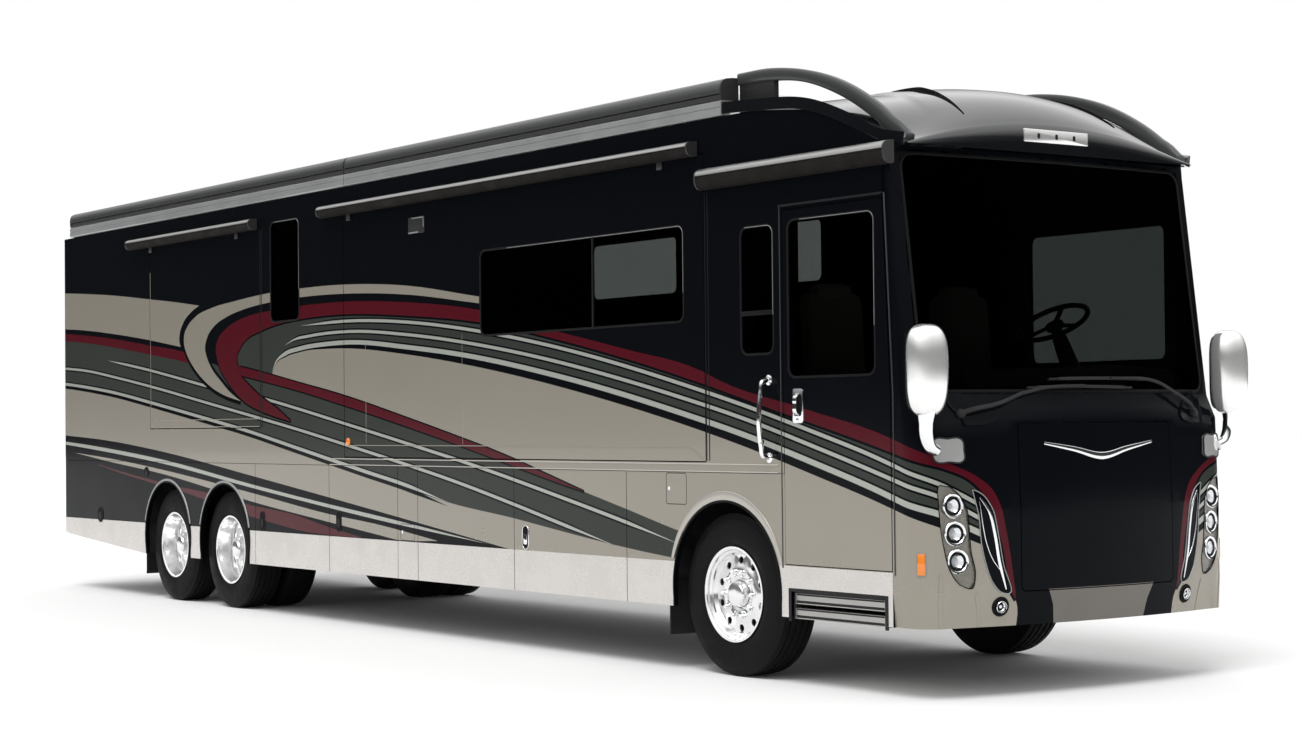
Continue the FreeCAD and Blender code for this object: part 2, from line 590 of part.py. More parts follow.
keep("left_wall", cut("left_wall_open", left_blank, [
    slide_hole("lounge_hole", 1, "lounge_back", "lounge_front", "main_low_z"),
    driver_hole, bath_hole]))
side_panes = [narrow_pane, tall_pane, driver_pane, bath_pane]

# ---------------------------------------------------------------- entry door
door_plate = solid("door_plate", extruded(door_outline(0, -val("side_half")),
                                          Vec(0, val("panel_wall - seat_gap"), 0)))
pane_hole, pane = window("door_window", "door_back + 50", "door_front - 130", 1892, 2854,
                         *PANE_RIGHT)
keep("entry_door", cut("entry_door_open", door_plate, [pane_hole]))
keep("entry_door_glass", pane)

# ---------------------------------------------------------------- slide-outs
def slide_out(name, side, back, front, low, depth):
    """Room box open to the cabin, as (shell, outer face formulas)."""
    wall = "panel_wall"
    if side < 0:
        outer, inner = ("-side_half", f"-side_half + {depth}")
        room = (f"-side_half + {wall}", f"-side_half + {depth} + 100")
    else:
        outer, inner = (f"side_half - {depth}", "side_half")
        room = (f"side_half - {depth} - 100", f"side_half - {wall}")
    shell = box(name + "_block", (back, outer, low), (front, inner, "slide_top_z"))
    space = box(name + "_space", (f"{back} + {wall}", room[0], f"{low} + {wall}"),
                (f"{front} - {wall}", room[1], f"slide_top_z - {wall}"))
    return shell, space


def topper(name, side, back, front):
    """Rolled awning over a slide-out, on feet that stand off its outer face."""
    edge = f"{side} * (side_half + topper_off)"
    out = f"{side} * (side_half + topper_off + topper_size)"
    near, far = (edge, out) if side > 0 else (out, edge)
    case = box(name + "_case", (back, near, "slide_top_z - 12"),
               (front, far, "slide_top_z - 12 + topper_size + 12"))
    feet = []
    for index, place in enumerate((f"{back} + 420", f"{front} - 420"), start=1):
        foot = (f"side_half + seat_gap", "side_half + topper_off + 10") if side > 0 else (
            "-side_half - topper_off - 10", "-side_half - seat_gap")
        feet.append(box(f"{name}_foot_{index}", (f"{place} - 30", foot[0], "slide_top_z - 60"),
                        (f"{place} + 30", foot[1], "slide_top_z - 2")))
    return fuse(name, [case] + feet)


main_shell, main_space = slide_out("slide_main", -1, "main_back", "main_front", "main_low_z",
                                   "slide_depth")
main_hole, main_pane = window("main_window", "main_front - 2791", "main_front - 226", 2280, 2905,
                              *PANE_RIGHT)
keep("slide_out_main", cut("slide_main_open", main_shell, [main_space, main_hole]))
keep("slide_out_main_glass", main_pane)
bed_shell, bed_space = slide_out("slide_bed", -1, "bed_back", "bed_front", "bed_low_z",
                                 "bed_depth")
keep("slide_out_bed", cut("slide_bed_open", bed_shell, [bed_space]))
lounge_shell, lounge_space = slide_out("slide_lounge", 1, "lounge_back", "lounge_front",
                                       "main_low_z", "slide_depth")
lounge_windows = [window(f"lounge_window_{index}", back, front, "high_low_z", "high_top_z",
                         *PANE_LEFT)
                  for index, (back, front) in enumerate((
                      ("lounge_back + 500", "lounge_back + 1700"),
                      ("lounge_front - 4520", "lounge_front - 3220"),
                      ("lounge_front - 2260", "lounge_front - 1300")), start=1)]
keep("slide_out_lounge", cut("slide_lounge_open", lounge_shell,
                             [lounge_space] + [hole for hole, _ in lounge_windows]))
keep("slide_out_lounge_glass", group("lounge_glass", [glass for _, glass in lounge_windows]))
keep("topper_main", topper("topper_main", -1, "main_back - 315", "main_front - 51"))
keep("topper_bed", topper("topper_bed", -1, "bed_back - 384", "bed_front - 29"))
keep("topper_lounge", topper("topper_lounge", 1, "lounge_back - 200", "lounge_front + 100"))

# ---------------------------------------------------------------- roof
def crown_outline(x, inset, low_z):
    """Cross-section under the crowned roof, from a low line up, as a wire at one x."""
    half, edge, top = val("side_half") - inset, val("wall_top_z"), val("crown_z") - inset
    corners = [Vec(x, -half, edge), Vec(x, -half, low_z), Vec(x, half, low_z), Vec(x, half, edge)]
    return Part.Wire([arc(corners[3], Vec(x, 0, top), corners[0])]
                     + [Part.makeLine(corners[index], corners[index + 1]) for index in range(3)])


def crown_solid(name, back, front, inset, low_z):
    return solid(name, Part.Face(crown_outline(back, inset, low_z)).extrude(
        Vec(front - back, 0, 0)))


wall_top, skin = val("wall_top_z"), val("panel_wall")
roof_front = val("brow_back")
roof_block = crown_solid("roof_block", val("rear_seam"), roof_front, 0, wall_top - 1)
roof_room = crown_solid("roof_room", val("rear_seam") - 50, roof_front + 50, skin, wall_top - 50)
roof_base = box("roof_base", ("-overall_length", -2000, "wall_top_z - 200"),
                ("overall_length", 2000, "wall_top_z"))
keep("roof", cut("roof_shell", roof_block, [roof_room, roof_base]))

# station: behind the nose, inside the side, edge and crown below the wall's top
BROW = [("brow_depth", 0, 0, -130), (1150, 0, 58, -124), (750, 5, 200, -80),
        (530, 35, 305, 10), (360, 85, 330, 180)]


def brow_loft(name, inset, front_trim):
    """Roof brow falling to the windshield: crowned sections joined by straight rulings."""
    wires = []
    for index, (behind, inside, edge_drop, crown_drop) in enumerate(BROW):
        x, half = val(f"nose_x - {behind}"), val(f"side_half - {inside}")
        edge, top = val(f"wall_top_z - {edge_drop}"), val(f"wall_top_z - {crown_drop}")
        if index == len(BROW) - 1:
            x -= front_trim
        low = edge - (30 if inset else 0)
        half -= inset
        first, last = Vec(x, half, low), Vec(x, -half, low)
        wires.append(Part.Wire([arc(first, Vec(x, 0, top - inset), last),
                                Part.makeLine(last, first)]))
    return solid(name, Part.makeLoft(wires, True, True))


brow_out = brow_loft("brow_out", 0, 0)
keep("roof_brow", cut("brow_shell", brow_out, [brow_loft("brow_room", 40, 40),
                                               right_blank, left_blank]))
roof_solid = fuse("roof_solid", [roof_block, brow_out])

case_back, case_joint, case_front = "rear_seam + 120", "-417", "brow_back - 330"
awnings = []
for name, back, front in (("back", case_back, f"{case_joint} - 5"),
                          ("front", f"{case_joint} + 5", case_front)):
    awnings.append(cut(f"awning_{name}", fuse(f"awning_{name}_whole", [
        box(f"awning_{name}_case", (back, "-side_half - 15", "wall_top_z + 105"),
            (front, "-side_half + 130", "wall_top_z + 253")),
        box(f"awning_{name}_rail", (back, "-side_half - 15", "wall_top_z + 8"),
            (front, "-side_half + 60", "wall_top_z + 105"))]), [roof_solid]))
awnings.append(box("door_awning", ("main_front + 12", "-side_half - 85", 3110),
                   ("door_front + 60", "-side_half", 3250)))
keep("awning_cases", group("awning_cases", awnings))

keep("air_conditioners", group("air_conditioners", [
    cut(f"air_conditioner_{index}", box(f"air_conditioner_block_{index}",
                                        (f"{place} - 520", -360, "wall_top_z + 60"),
                                        (f"{place} + 520", 360, "crown_z + 225")), [roof_solid])
    for index, place in enumerate((-4700, -700, 3300), start=1)]))


def bar_shape(low_y):
    """Roof rail: one bar bent down to the brow, standing on a block at its back end."""
    back, block = val("brow_back - 324"), val("brow_back + 50")
    heel, toe = val("nose_x - 540"), val("nose_x - 380")
    roof_z, foot_z = val("wall_top_z") + 5, 3245
    corner = {"back_top": Vec(back, low_y, 3856), "toe_top": Vec(toe, low_y, 3290),
              "toe": Vec(toe, low_y, foot_z), "heel": Vec(heel, low_y, foot_z),
              "heel_top": Vec(heel, low_y, 3290), "block_top": Vec(block, low_y, 3765),
              "block": Vec(block, low_y, roof_z), "back": Vec(back, low_y, roof_z)}
    top = arc(corner["back_top"], Vec(val("brow_back + 690"), low_y, 3690), corner["toe_top"])
    under = arc(corner["heel_top"], Vec(val("brow_back + 650"), low_y, 3600), corner["block_top"])
    lines = [Part.makeLine(corner[first], corner[last]) for first, last in (
        ("toe_top", "toe"), ("toe", "heel"), ("heel", "heel_top"), ("block_top", "block"),
        ("block", "back"), ("back", "back_top"))]
    outline = Part.Wire([top] + lines[:3] + [under] + lines[3:])
    return Part.Face(outline).extrude(Vec(0, 65, 0))


bars = cut("roof_rail_right", solid("roof_rail_raw", bar_shape(-1175)), [roof_solid])
keep("roof_rails", group("roof_rails", [bars, mirrored("roof_rail_left", bars)]))

# ---------------------------------------------------------------- front cap
# level: height; side and corner end (x, y) inside the nose and the side; nose set back
CAP = [(420, 15, 280, 150, 200, 38), (620, 0, 350, 122, 205, 0), (1100, 0, 350, 125, 200, 0),
       (1620, 0, 355, 160, 175, 15), (1760, 0, 375, 295, 50, 55),
       (3235, 23, 525, 475, 63, 415)]


def cap_wire(level, inset, z_shift):
    """Plan section: back edge, sides, rounded corners and the gently bowed nose."""
    z, inside, side_back, corner_back, corner_inside, nose_back = level
    z += z_shift
    half, nose = val("side_half") - inside - inset, val("nose_x") - nose_back - inset
    side_end = val("nose_x") - side_back
    corner_x = val("nose_x") - corner_back - 0.8 * inset
    corner_y = val("side_half") - corner_inside - 0.6 * inset
    back = min(val("cap_back") - (60 if inset else 0), side_end - 30)
    side, corner, tip = Vec(side_end, -half, z), Vec(corner_x, -corner_y, z), Vec(nose, 0, z)
    middle = (side + corner) * 0.5
    bulge = middle + (Vec(corner_x, -half, z) - middle) * 0.414

    def other(point):
        return Vec(point.x, -point.y, point.z)
    start = Vec(back, -half, z)
    return Part.Wire([Part.makeLine(start, side), arc(side, bulge, corner),
                      arc(corner, tip, other(corner)), arc(other(corner), other(bulge), other(side)),
                      Part.makeLine(other(side), other(start)), Part.makeLine(other(start), start)])


def cap_loft(name, inset, grow=0):
    last = len(CAP) - 1
    shifts = [-grow if index == 0 else grow if index == last else 0 for index in range(len(CAP))]
    wires = [cap_wire(level, inset, shift) for level, shift in zip(CAP, shifts)]
    return solid(name, Part.makeLoft(wires, True, True))

cap_out = cap_loft("cap_out", 0)
hood_layer = cut("hood_layer", cap_out, [cap_loft("hood_inner", 40, 20)])
flange_layer = cut("flange_layer", cap_loft("flange_outer", 40.3), [cap_loft("flange_inner", 70, 20)])
cap_layer = cut("cap_layer", cap_out, [cap_loft("cap_inner", val("cap_wall"), 20)])
screen_layer = cut("screen_layer", cap_out, [cap_loft("screen_inner", 14, 20)])
lamp_layer = cut("lamp_layer", cap_out, [cap_loft("lamp_inner", 60, 20)])


def front_box(name, half, low, top, shrink="0"):
    return box(name, ("nose_x - 850", f"-{half} + {shrink}", f"{low} + {shrink}"),
               ("nose_x + 250", f"{half} - {shrink}", f"{top} - {shrink}"))


hood_room = front_box("hood_room", "hood_half", "hood_low_z", "hood_top_z")
screen_room = front_box("screen_room", "screen_half", "screen_low_z", "screen_top_z")
LAMP_IN, LAMP_OUT = "side_half - 300", "side_half - 135"
lamp_rooms = both_sides("lamp_room", ("nose_x - 300", LAMP_IN, 715),
                        ("nose_x + 50", LAMP_OUT, 1205))
lamp_tools = both_sides("lamp_tool",
                        ("nose_x - 300", f"{LAMP_IN} + seat_gap", "715 + seat_gap"),
                        ("nose_x + 50", f"{LAMP_OUT} - seat_gap", "1205 - seat_gap"))
flange_ring = cut("flange_ring", common("flange_zone", flange_layer, front_box(
    "flange_box", "(hood_half + 40)", "(hood_low_z - 40)", "(hood_top_z + 40)")),
    [front_box("flange_room", "(hood_half - 40)", "(hood_low_z + 40)", "(hood_top_z - 40)")])
cap_shell = cut("cap_shell", cap_layer, [hood_room, screen_room] + lamp_rooms)
door_clear = box("cap_door_clear", ("nose_x - 950", "-side_half - 100", 300),
                 ("cap_back", "side_half + 100", "door_top_z + door_gap"))
keep("front_cap", cut("front_cap_trimmed", fuse("front_cap_whole", [cap_shell, flange_ring]),
                      [door_clear, right_blank, left_blank, jamb]))
windshield = common("windshield", screen_layer, front_box(
    "screen_box", "screen_half", "screen_low_z", "screen_top_z", "seat_gap"))
keep("coach_glass", group("coach_glass", [windshield] + side_panes))
keep("headlights", group("headlights", [
    common(f"headlight_{index}", lamp_layer, tool)
    for index, tool in enumerate(lamp_tools, start=1)]))
keep("front_hood", common("front_hood", hood_layer, front_box(
    "hood_box", "hood_half", "hood_low_z", "hood_top_z", "door_gap")))

# ---------------------------------------------------------------- rear cap
def tail_outline(inset, z):
    """Plan of the rear cap: sides, rounded corners and a slightly bowed tail."""
    half, tail = val("side_half") - inset, -val("overall_length") / 2 + inset
    front = val("rear_seam") + (60 if inset else -0.3)
    corner_x, corner_y = tail + 45, half - 130
    side_end = tail + 175

    def at(x, y):
        return Vec(x, y, z)
    knee = 0.707 * 130
    edges = [Part.makeLine(at(front, -half), at(side_end, -half)),
             arc(at(side_end, -half), at(side_end - knee, -corner_y - 130 + 38),
                 at(corner_x, -corner_y)),
             arc(at(corner_x, -corner_y), at(tail, 0), at(corner_x, corner_y)),
             arc(at(corner_x, corner_y), at(side_end - knee, corner_y + 130 - 38),
                 at(side_end, half)),
             Part.makeLine(at(side_end, half), at(front, half)),
             Part.makeLine(at(front, half), at(front, -half))]
    return Part.Wire(edges)


def tail_layer(name, inset, low, high):
    return solid(name, Part.Face(tail_outline(inset, low)).extrude(Vec(0, 0, high - low)))


def tail_box(name, half, low, top, shrink="0"):
    return box(name, ("-nose_x - 250", f"-{half} + {shrink}", f"{low} + {shrink}"),
               ("rear_seam - 5", f"{half} - {shrink}", f"{top} - {shrink}"))


tail_low, tail_high = val("tail_skirt_z"), val("crown_z")
tail_crown = crown_solid("tail_crown", val("-nose_x - 50"), val("rear_seam"), 0, 300)
tail_out = common("tail_out", tail_layer("tail_plan", 0, tail_low, tail_high + 50), tail_crown)
tail_room = common("tail_room", tail_layer("tail_room_plan", 40, tail_low - 50, tail_high + 50),
                   crown_solid("tail_room_crown", val("-nose_x - 50"),
                               val("rear_seam") + 80, 40, 200))
tail_skin = cut("tail_skin", tail_layer("tail_door_plan", 0, tail_low, tail_high),
                [tail_layer("tail_door_room", 40, tail_low - 50, tail_high + 50)])
tail_flange = cut("tail_flange", tail_layer("tail_flange_out", 40.3, tail_low, tail_high - 200),
                  [tail_layer("tail_flange_in", 65, tail_low - 50, tail_high + 50)])
door_room = tail_box("tail_door_hole", "tail_half", "tail_low_z", "tail_top_z")
tail_ring = cut("tail_ring", common("tail_ring_zone", tail_flange, tail_box(
    "tail_ring_box", "(tail_half + 40)", "(tail_low_z - 40)", "(tail_top_z + 40)")),
    [tail_box("tail_ring_room", "(tail_half - 40)", "(tail_low_z + 40)", "(tail_top_z - 40)")])
tail_tie = box("tail_tie", ("20 - nose_x", "-tail_half - 38", "tail_top_z + 8"),
               ("70 - nose_x", "tail_half + 38", "tail_top_z + 38"))
keep("rear_cap", fuse("rear_cap", [cut("tail_shell", tail_out, [tail_room, door_room]),
                                   tail_ring, tail_tie]))
keep("engine_door", common("engine_door", tail_skin, tail_box(
    "engine_door_box", "tail_half", "tail_low_z", "tail_top_z", "door_gap")))

# ---------------------------------------------------------------- mirrors
head = doc.addObject("Part::Ellipsoid", "mirror_head")
bind(head, Radius1=265, Radius2=90, Radius3=130, Angle1=-90, Angle2=90, Angle3=360,
     Placement__Base__x="nose_x - 128", Placement__Base__y="13 - side_half",
     Placement__Base__z=1905)
mirror = cut("mirror_right", fuse("mirror_right_whole", [
    head, drum("mirror_stalk", ("nose_x - 150", "23 - side_half", 1420), 26, 300),
    box("mirror_foot", ("nose_x - 210", "-side_half", 1400),
        ("nose_x - 105", "165 - side_half", 1470))]), [cap_out])
keep("mirrors", group("mirrors", [mirror, mirrored("mirror_left", mirror)]))

# ---------------------------------------------------------------- cab
tilt = math.radians(val("column_tilt"))
wheel_axis = Vec(-math.sin(tilt), 0, math.cos(tilt))
wheel_turn = FreeCAD.Rotation(Vec(0, 1, 0), -val("column_tilt"))
hub_centre = Vec(val("steer_x"), val("steer_y"), val("steer_z"))
rim_ring = Part.makeTorus(val("steer_radius"), 17)
spokes = [Part.makeBox(30, val("steer_radius") - 5, 14, Vec(-15, 0, -22)).rotated(
    Vec(), Vec(0, 0, 1), angle) for angle in (0, 120, 240)]
steering = rim_ring.fuse(spokes + [Part.makeCylinder(60, 34, Vec(0, 0, -40))])
steering_wheel = solid("steering_wheel", steering)
steering_wheel.Placement = FreeCAD.Placement(hub_centre, wheel_turn)
keep("steering_wheel", steering_wheel)
column_top = hub_centre - wheel_axis * (40 + val("seat_gap"))
column = solid("steering_column", Part.makeCylinder(38, 330, Vec(0, 0, -330)))
column.Placement = FreeCAD.Placement(column_top, wheel_turn)
dash = box("dash_block", ("door_back + 560", -700, "deck_top_z"),
           ("door_back + 1000", 1100, 1960))
keep("dashboard", fuse("dashboard", [dash, column]))

seats = []
for hand, seat_x, seat_y in (("driver", 5080, 600), ("passenger", 4960, -420)):
    seats.append(fuse(f"{hand}_seat", [
        drum(f"{hand}_pedestal", (seat_x, seat_y, "deck_top_z"), 150, 320),
        box(f"{hand}_cushion", (seat_x - 250, seat_y - 250, "deck_top_z + 320"),
            (seat_x + 250, seat_y + 250, "deck_top_z + 460")),
        box(f"{hand}_back", (seat_x - 290, seat_y - 250, "deck_top_z + 400"),
            (seat_x - 160, seat_y + 250, "deck_top_z + 1180"))]))
keep("cab_seats", group("cab_seats", seats))

# ---------------------------------------------------------------- entry step
for node, low, high, depth in (("step_upper", "skirt_z + 84", "skirt_z + 147.7", 330),
                               ("step_lower", "skirt_z - 6", "skirt_z + 58", 400)):
    keep(node, box(node, (f"{step_back} + 14.3", STEP_Y, low),
                   (f"{step_front} - 14.3", f"{STEP_Y} + {depth}", high)))

# ---------------------------------------------------------------- check and write
doc.recompute()
for obj in doc.Objects:
    if "Invalid" in obj.State or "Error" in obj.State:
        raise RuntimeError(f"{obj.Name} failed: {obj.State}")
for node, obj in nodes.items():
    shape = obj.Shape
    if shape.isNull() or not shape.isValid() or not shape.Solids:
        raise RuntimeError(f"{node} has no valid solid")

os.makedirs("parts", exist_ok=True)
for node, obj in nodes.items():
    obj.Shape.exportStep(f"parts/{node}.step")
print(len(nodes), "nodes")
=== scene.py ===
"""Looks of a three-axle motorhome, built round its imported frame, laid out as an add-on."""
import math

import bmesh
import bpy
import numpy as np
from mathutils import Matrix, Vector
from mathutils.geometry import delaunay_2d_cdt


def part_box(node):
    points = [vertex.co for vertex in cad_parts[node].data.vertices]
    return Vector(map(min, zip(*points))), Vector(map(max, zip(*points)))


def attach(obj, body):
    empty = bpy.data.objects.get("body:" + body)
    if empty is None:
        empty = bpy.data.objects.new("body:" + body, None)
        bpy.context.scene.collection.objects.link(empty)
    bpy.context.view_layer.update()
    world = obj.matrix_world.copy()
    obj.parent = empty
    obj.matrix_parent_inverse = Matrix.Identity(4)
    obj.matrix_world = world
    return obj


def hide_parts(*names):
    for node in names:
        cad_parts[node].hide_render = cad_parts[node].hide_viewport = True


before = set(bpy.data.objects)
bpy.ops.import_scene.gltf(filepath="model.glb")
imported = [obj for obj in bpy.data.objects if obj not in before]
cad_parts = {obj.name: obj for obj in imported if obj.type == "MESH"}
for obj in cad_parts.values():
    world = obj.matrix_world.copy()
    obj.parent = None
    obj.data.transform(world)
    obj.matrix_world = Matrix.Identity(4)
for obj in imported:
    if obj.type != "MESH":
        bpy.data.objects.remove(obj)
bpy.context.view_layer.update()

bl_info = {
    "name": "Motorhome",
    "version": (1, 0, 0),
    "blender": (4, 5, 0),
    "location": "3D View > Sidebar > Motorhome",
    "description": "Builds the paint, glass, wheels, lamps and trim of a three-axle motorhome",
    "category": "Add Mesh",
}

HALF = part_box("left_wall")[1].y
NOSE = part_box("front_hood")[1].x
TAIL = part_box("rear_cap")[0].x
SEAM_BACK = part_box("rear_cap")[1].x
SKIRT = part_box("lower_panels_right")[0].z
TAU = 2 * math.pi

# ---------------------------------------------------------------- settings


def length(name, about, default):
    return bpy.props.FloatProperty(name=name, description=about, default=default, min=0,
                                   unit="LENGTH", subtype="DISTANCE")


def colour(name, about, default):
    return bpy.props.FloatVectorProperty(name=name, description=about, default=default, size=3,
                                         min=0, max=1, subtype="COLOR")


class MotorhomeColours(bpy.types.PropertyGroup):
    black: colour("Body black", "Main body colour", (0.0030, 0.0036, 0.0050))
    champagne: colour("Champagne", "Large pale fields", (0.296, 0.272, 0.226))
    silver: colour("Pinstripe", "Thin pale lines", (0.37, 0.385, 0.345))
    grey: colour("Swoosh grey", "Fields behind the pinstripes", (0.034, 0.039, 0.034))
    red: colour("Deep red", "Main swoosh", (0.070, 0.0042, 0.0095))
    roof: colour("Roof white", "Roof skin", (0.62, 0.62, 0.60))
    leather: colour("Seat leather", "Seats", (0.30, 0.27, 0.22))


class MotorhomeSizes(bpy.types.PropertyGroup):
    film: length("Paint film", "Thickness of the painted skins on the sides", 0.0010)
    film_gap: length("Film gap", "Room between a panel and its skin", 0.0003)
    shell: length("Shell", "Thickness of the moulded front and rear caps", 0.030)
    tread: length("Tread depth", "Depth of the grooves in the tyres", 0.012)
    seal: length("Window seal", "Width of the seals round the windows", 0.016)
    pin: length("Pinstripe width", "Width of the thin lines", 0.024)


# ---------------------------------------------------------------- effects shared by the finishes
def shared_group(name, inputs, outputs):
    """A shader node group with those float inputs and outputs, and its two end nodes."""
    tree = bpy.data.node_groups.new(name, "ShaderNodeTree")
    for label, default in inputs:
        socket = tree.interface.new_socket(label, in_out="INPUT", socket_type="NodeSocketFloat")
        socket.default_value = default
    for label in outputs:
        tree.interface.new_socket(label, in_out="OUTPUT", socket_type="NodeSocketFloat")
    return tree, tree.nodes.new("NodeGroupInput"), tree.nodes.new("NodeGroupOutput")


def noise(tree, vector, scale, detail, rough=0.5):
    node = tree.nodes.new("ShaderNodeTexNoise")
    node.inputs["Detail"].default_value = detail
    node.inputs["Roughness"].default_value = rough
    tree.links.new(vector, node.inputs["Vector"])
    if isinstance(scale, (int, float)):
        node.inputs["Scale"].default_value = scale
    else:
        tree.links.new(scale, node.inputs["Scale"])
    return node.outputs["Fac"]


def ranged(tree, value, low, high, new_low, new_high):
    """Map Range: value from low..high to new_low..new_high; ends are numbers or sockets."""
    node = tree.nodes.new("ShaderNodeMapRange")
    tree.links.new(value, node.inputs["Value"])
    for label, end in (("From Min", low), ("From Max", high), ("To Min", new_low),
                       ("To Max", new_high)):
        if isinstance(end, (int, float)):
            node.inputs[label].default_value = end
        else:
            tree.links.new(end, node.inputs[label])
    return node.outputs["Result"]


def sums(tree, operation, first, second):
    node = tree.nodes.new("ShaderNodeMath")
    node.operation = operation
    for index, value in enumerate((first, second)):
        if isinstance(value, (int, float)):
            node.inputs[index].default_value = value
        else:
            tree.links.new(value, node.inputs[index])
    return node.outputs[0]


def stretched(tree, scale):
    """Object coordinates, scaled by axis."""
    place = tree.nodes.new("ShaderNodeTexCoord")
    turn = tree.nodes.new("ShaderNodeMapping")
    turn.inputs["Scale"].default_value = scale
    tree.links.new(place.outputs["Object"], turn.inputs["Vector"])
    return turn.outputs["Vector"]


def gloss_group():
    """Sprayed paint: orange peel in the height; road film that dulls it towards the ground."""
    tree, ins, outs = shared_group("Sprayed gloss", [("Clean", 0.08), ("Dirty", 0.3)],
                                   ["Roughness", "Height"])
    place = stretched(tree, (1, 1, 1))
    split = tree.nodes.new("ShaderNodeSeparateXYZ")
    tree.links.new(place, split.inputs[0])
    low = ranged(tree, split.outputs["Z"], 1.3, 0.3, 0, 0.7)
    cloud = noise(tree, place, 1.6, 5)
    speck = noise(tree, place, 42, 3)
    film = sums(tree, "MULTIPLY", sums(tree, "ADD", low, 0.25), cloud)
    film = sums(tree, "ADD", film, sums(tree, "MULTIPLY", speck, 0.06))
    tree.links.new(ranged(tree, film, 0.1, 0.75, ins.outputs["Clean"], ins.outputs["Dirty"]),
                   outs.inputs["Roughness"])
    tree.links.new(noise(tree, place, 260, 2), outs.inputs["Height"])
    return tree


def brushed_group():
    """Metal with fine lines along X and soft stains."""
    tree, ins, outs = shared_group("Brushed metal", [("Polished", 0.12), ("Dull", 0.4)],
                                   ["Roughness", "Height"])
    lines = noise(tree, stretched(tree, (6, 160, 160)), 4, 4)
    stain = noise(tree, stretched(tree, (1, 1, 1)), 5, 4)
    both = sums(tree, "ADD", sums(tree, "MULTIPLY", lines, 0.4),
                sums(tree, "MULTIPLY", stain, 0.6))
    tree.links.new(ranged(tree, both, 0.3, 0.75, ins.outputs["Polished"], ins.outputs["Dull"]),
                   outs.inputs["Roughness"])
    tree.links.new(lines, outs.inputs["Height"])
    return tree


def grain_group():
    """Moulded or leather grain: small cells, with a worn cloud in the roughness."""
    tree, ins, outs = shared_group("Grain", [("Cells", 500), ("Smooth", 0.35), ("Rough", 0.6)],
                                   ["Roughness", "Height"])
    place = stretched(tree, (1, 1, 1))
    cells = tree.nodes.new("ShaderNodeTexVoronoi")
    cells.feature = "DISTANCE_TO_EDGE"
    tree.links.new(place, cells.inputs["Vector"])
    tree.links.new(ins.outputs["Cells"], cells.inputs["Scale"])
    pebble = ranged(tree, cells.outputs["Distance"], 0, 0.12, 0, 1)
    cloud = noise(tree, place, 7, 5)
    tree.links.new(ranged(tree, cloud, 0.3, 0.7, ins.outputs["Smooth"], ins.outputs["Rough"]),
                   outs.inputs["Roughness"])
    tree.links.new(pebble, outs.inputs["Height"])
    return tree


def dust_group():
    """Road dust: a mask that gathers in clouds, and a pitted height."""
    tree, ins, outs = shared_group("Road dust", [("Amount", 0.4), ("Clean", 0.5), ("Dusty", 0.9)],
                                   ["Mask", "Roughness", "Height"])
    place = stretched(tree, (1, 1, 1))
    cloud = noise(tree, place, 6, 8, 0.62)
    mask = sums(tree, "MULTIPLY", ranged(tree, cloud, 0.38, 0.72, 0, 1), ins.outputs["Amount"])
    tree.links.new(mask, outs.inputs["Mask"])
    tree.links.new(ranged(tree, cloud, 0.3, 0.7, ins.outputs["Clean"], ins.outputs["Dusty"]),
                   outs.inputs["Roughness"])
    tree.links.new(noise(tree, place, 120, 4), outs.inputs["Height"])
    return tree


GROUP_MAKERS = {"gloss": gloss_group, "brushed": brushed_group, "grain": grain_group,
                "dust": dust_group}
groups, finishes = {}, {}

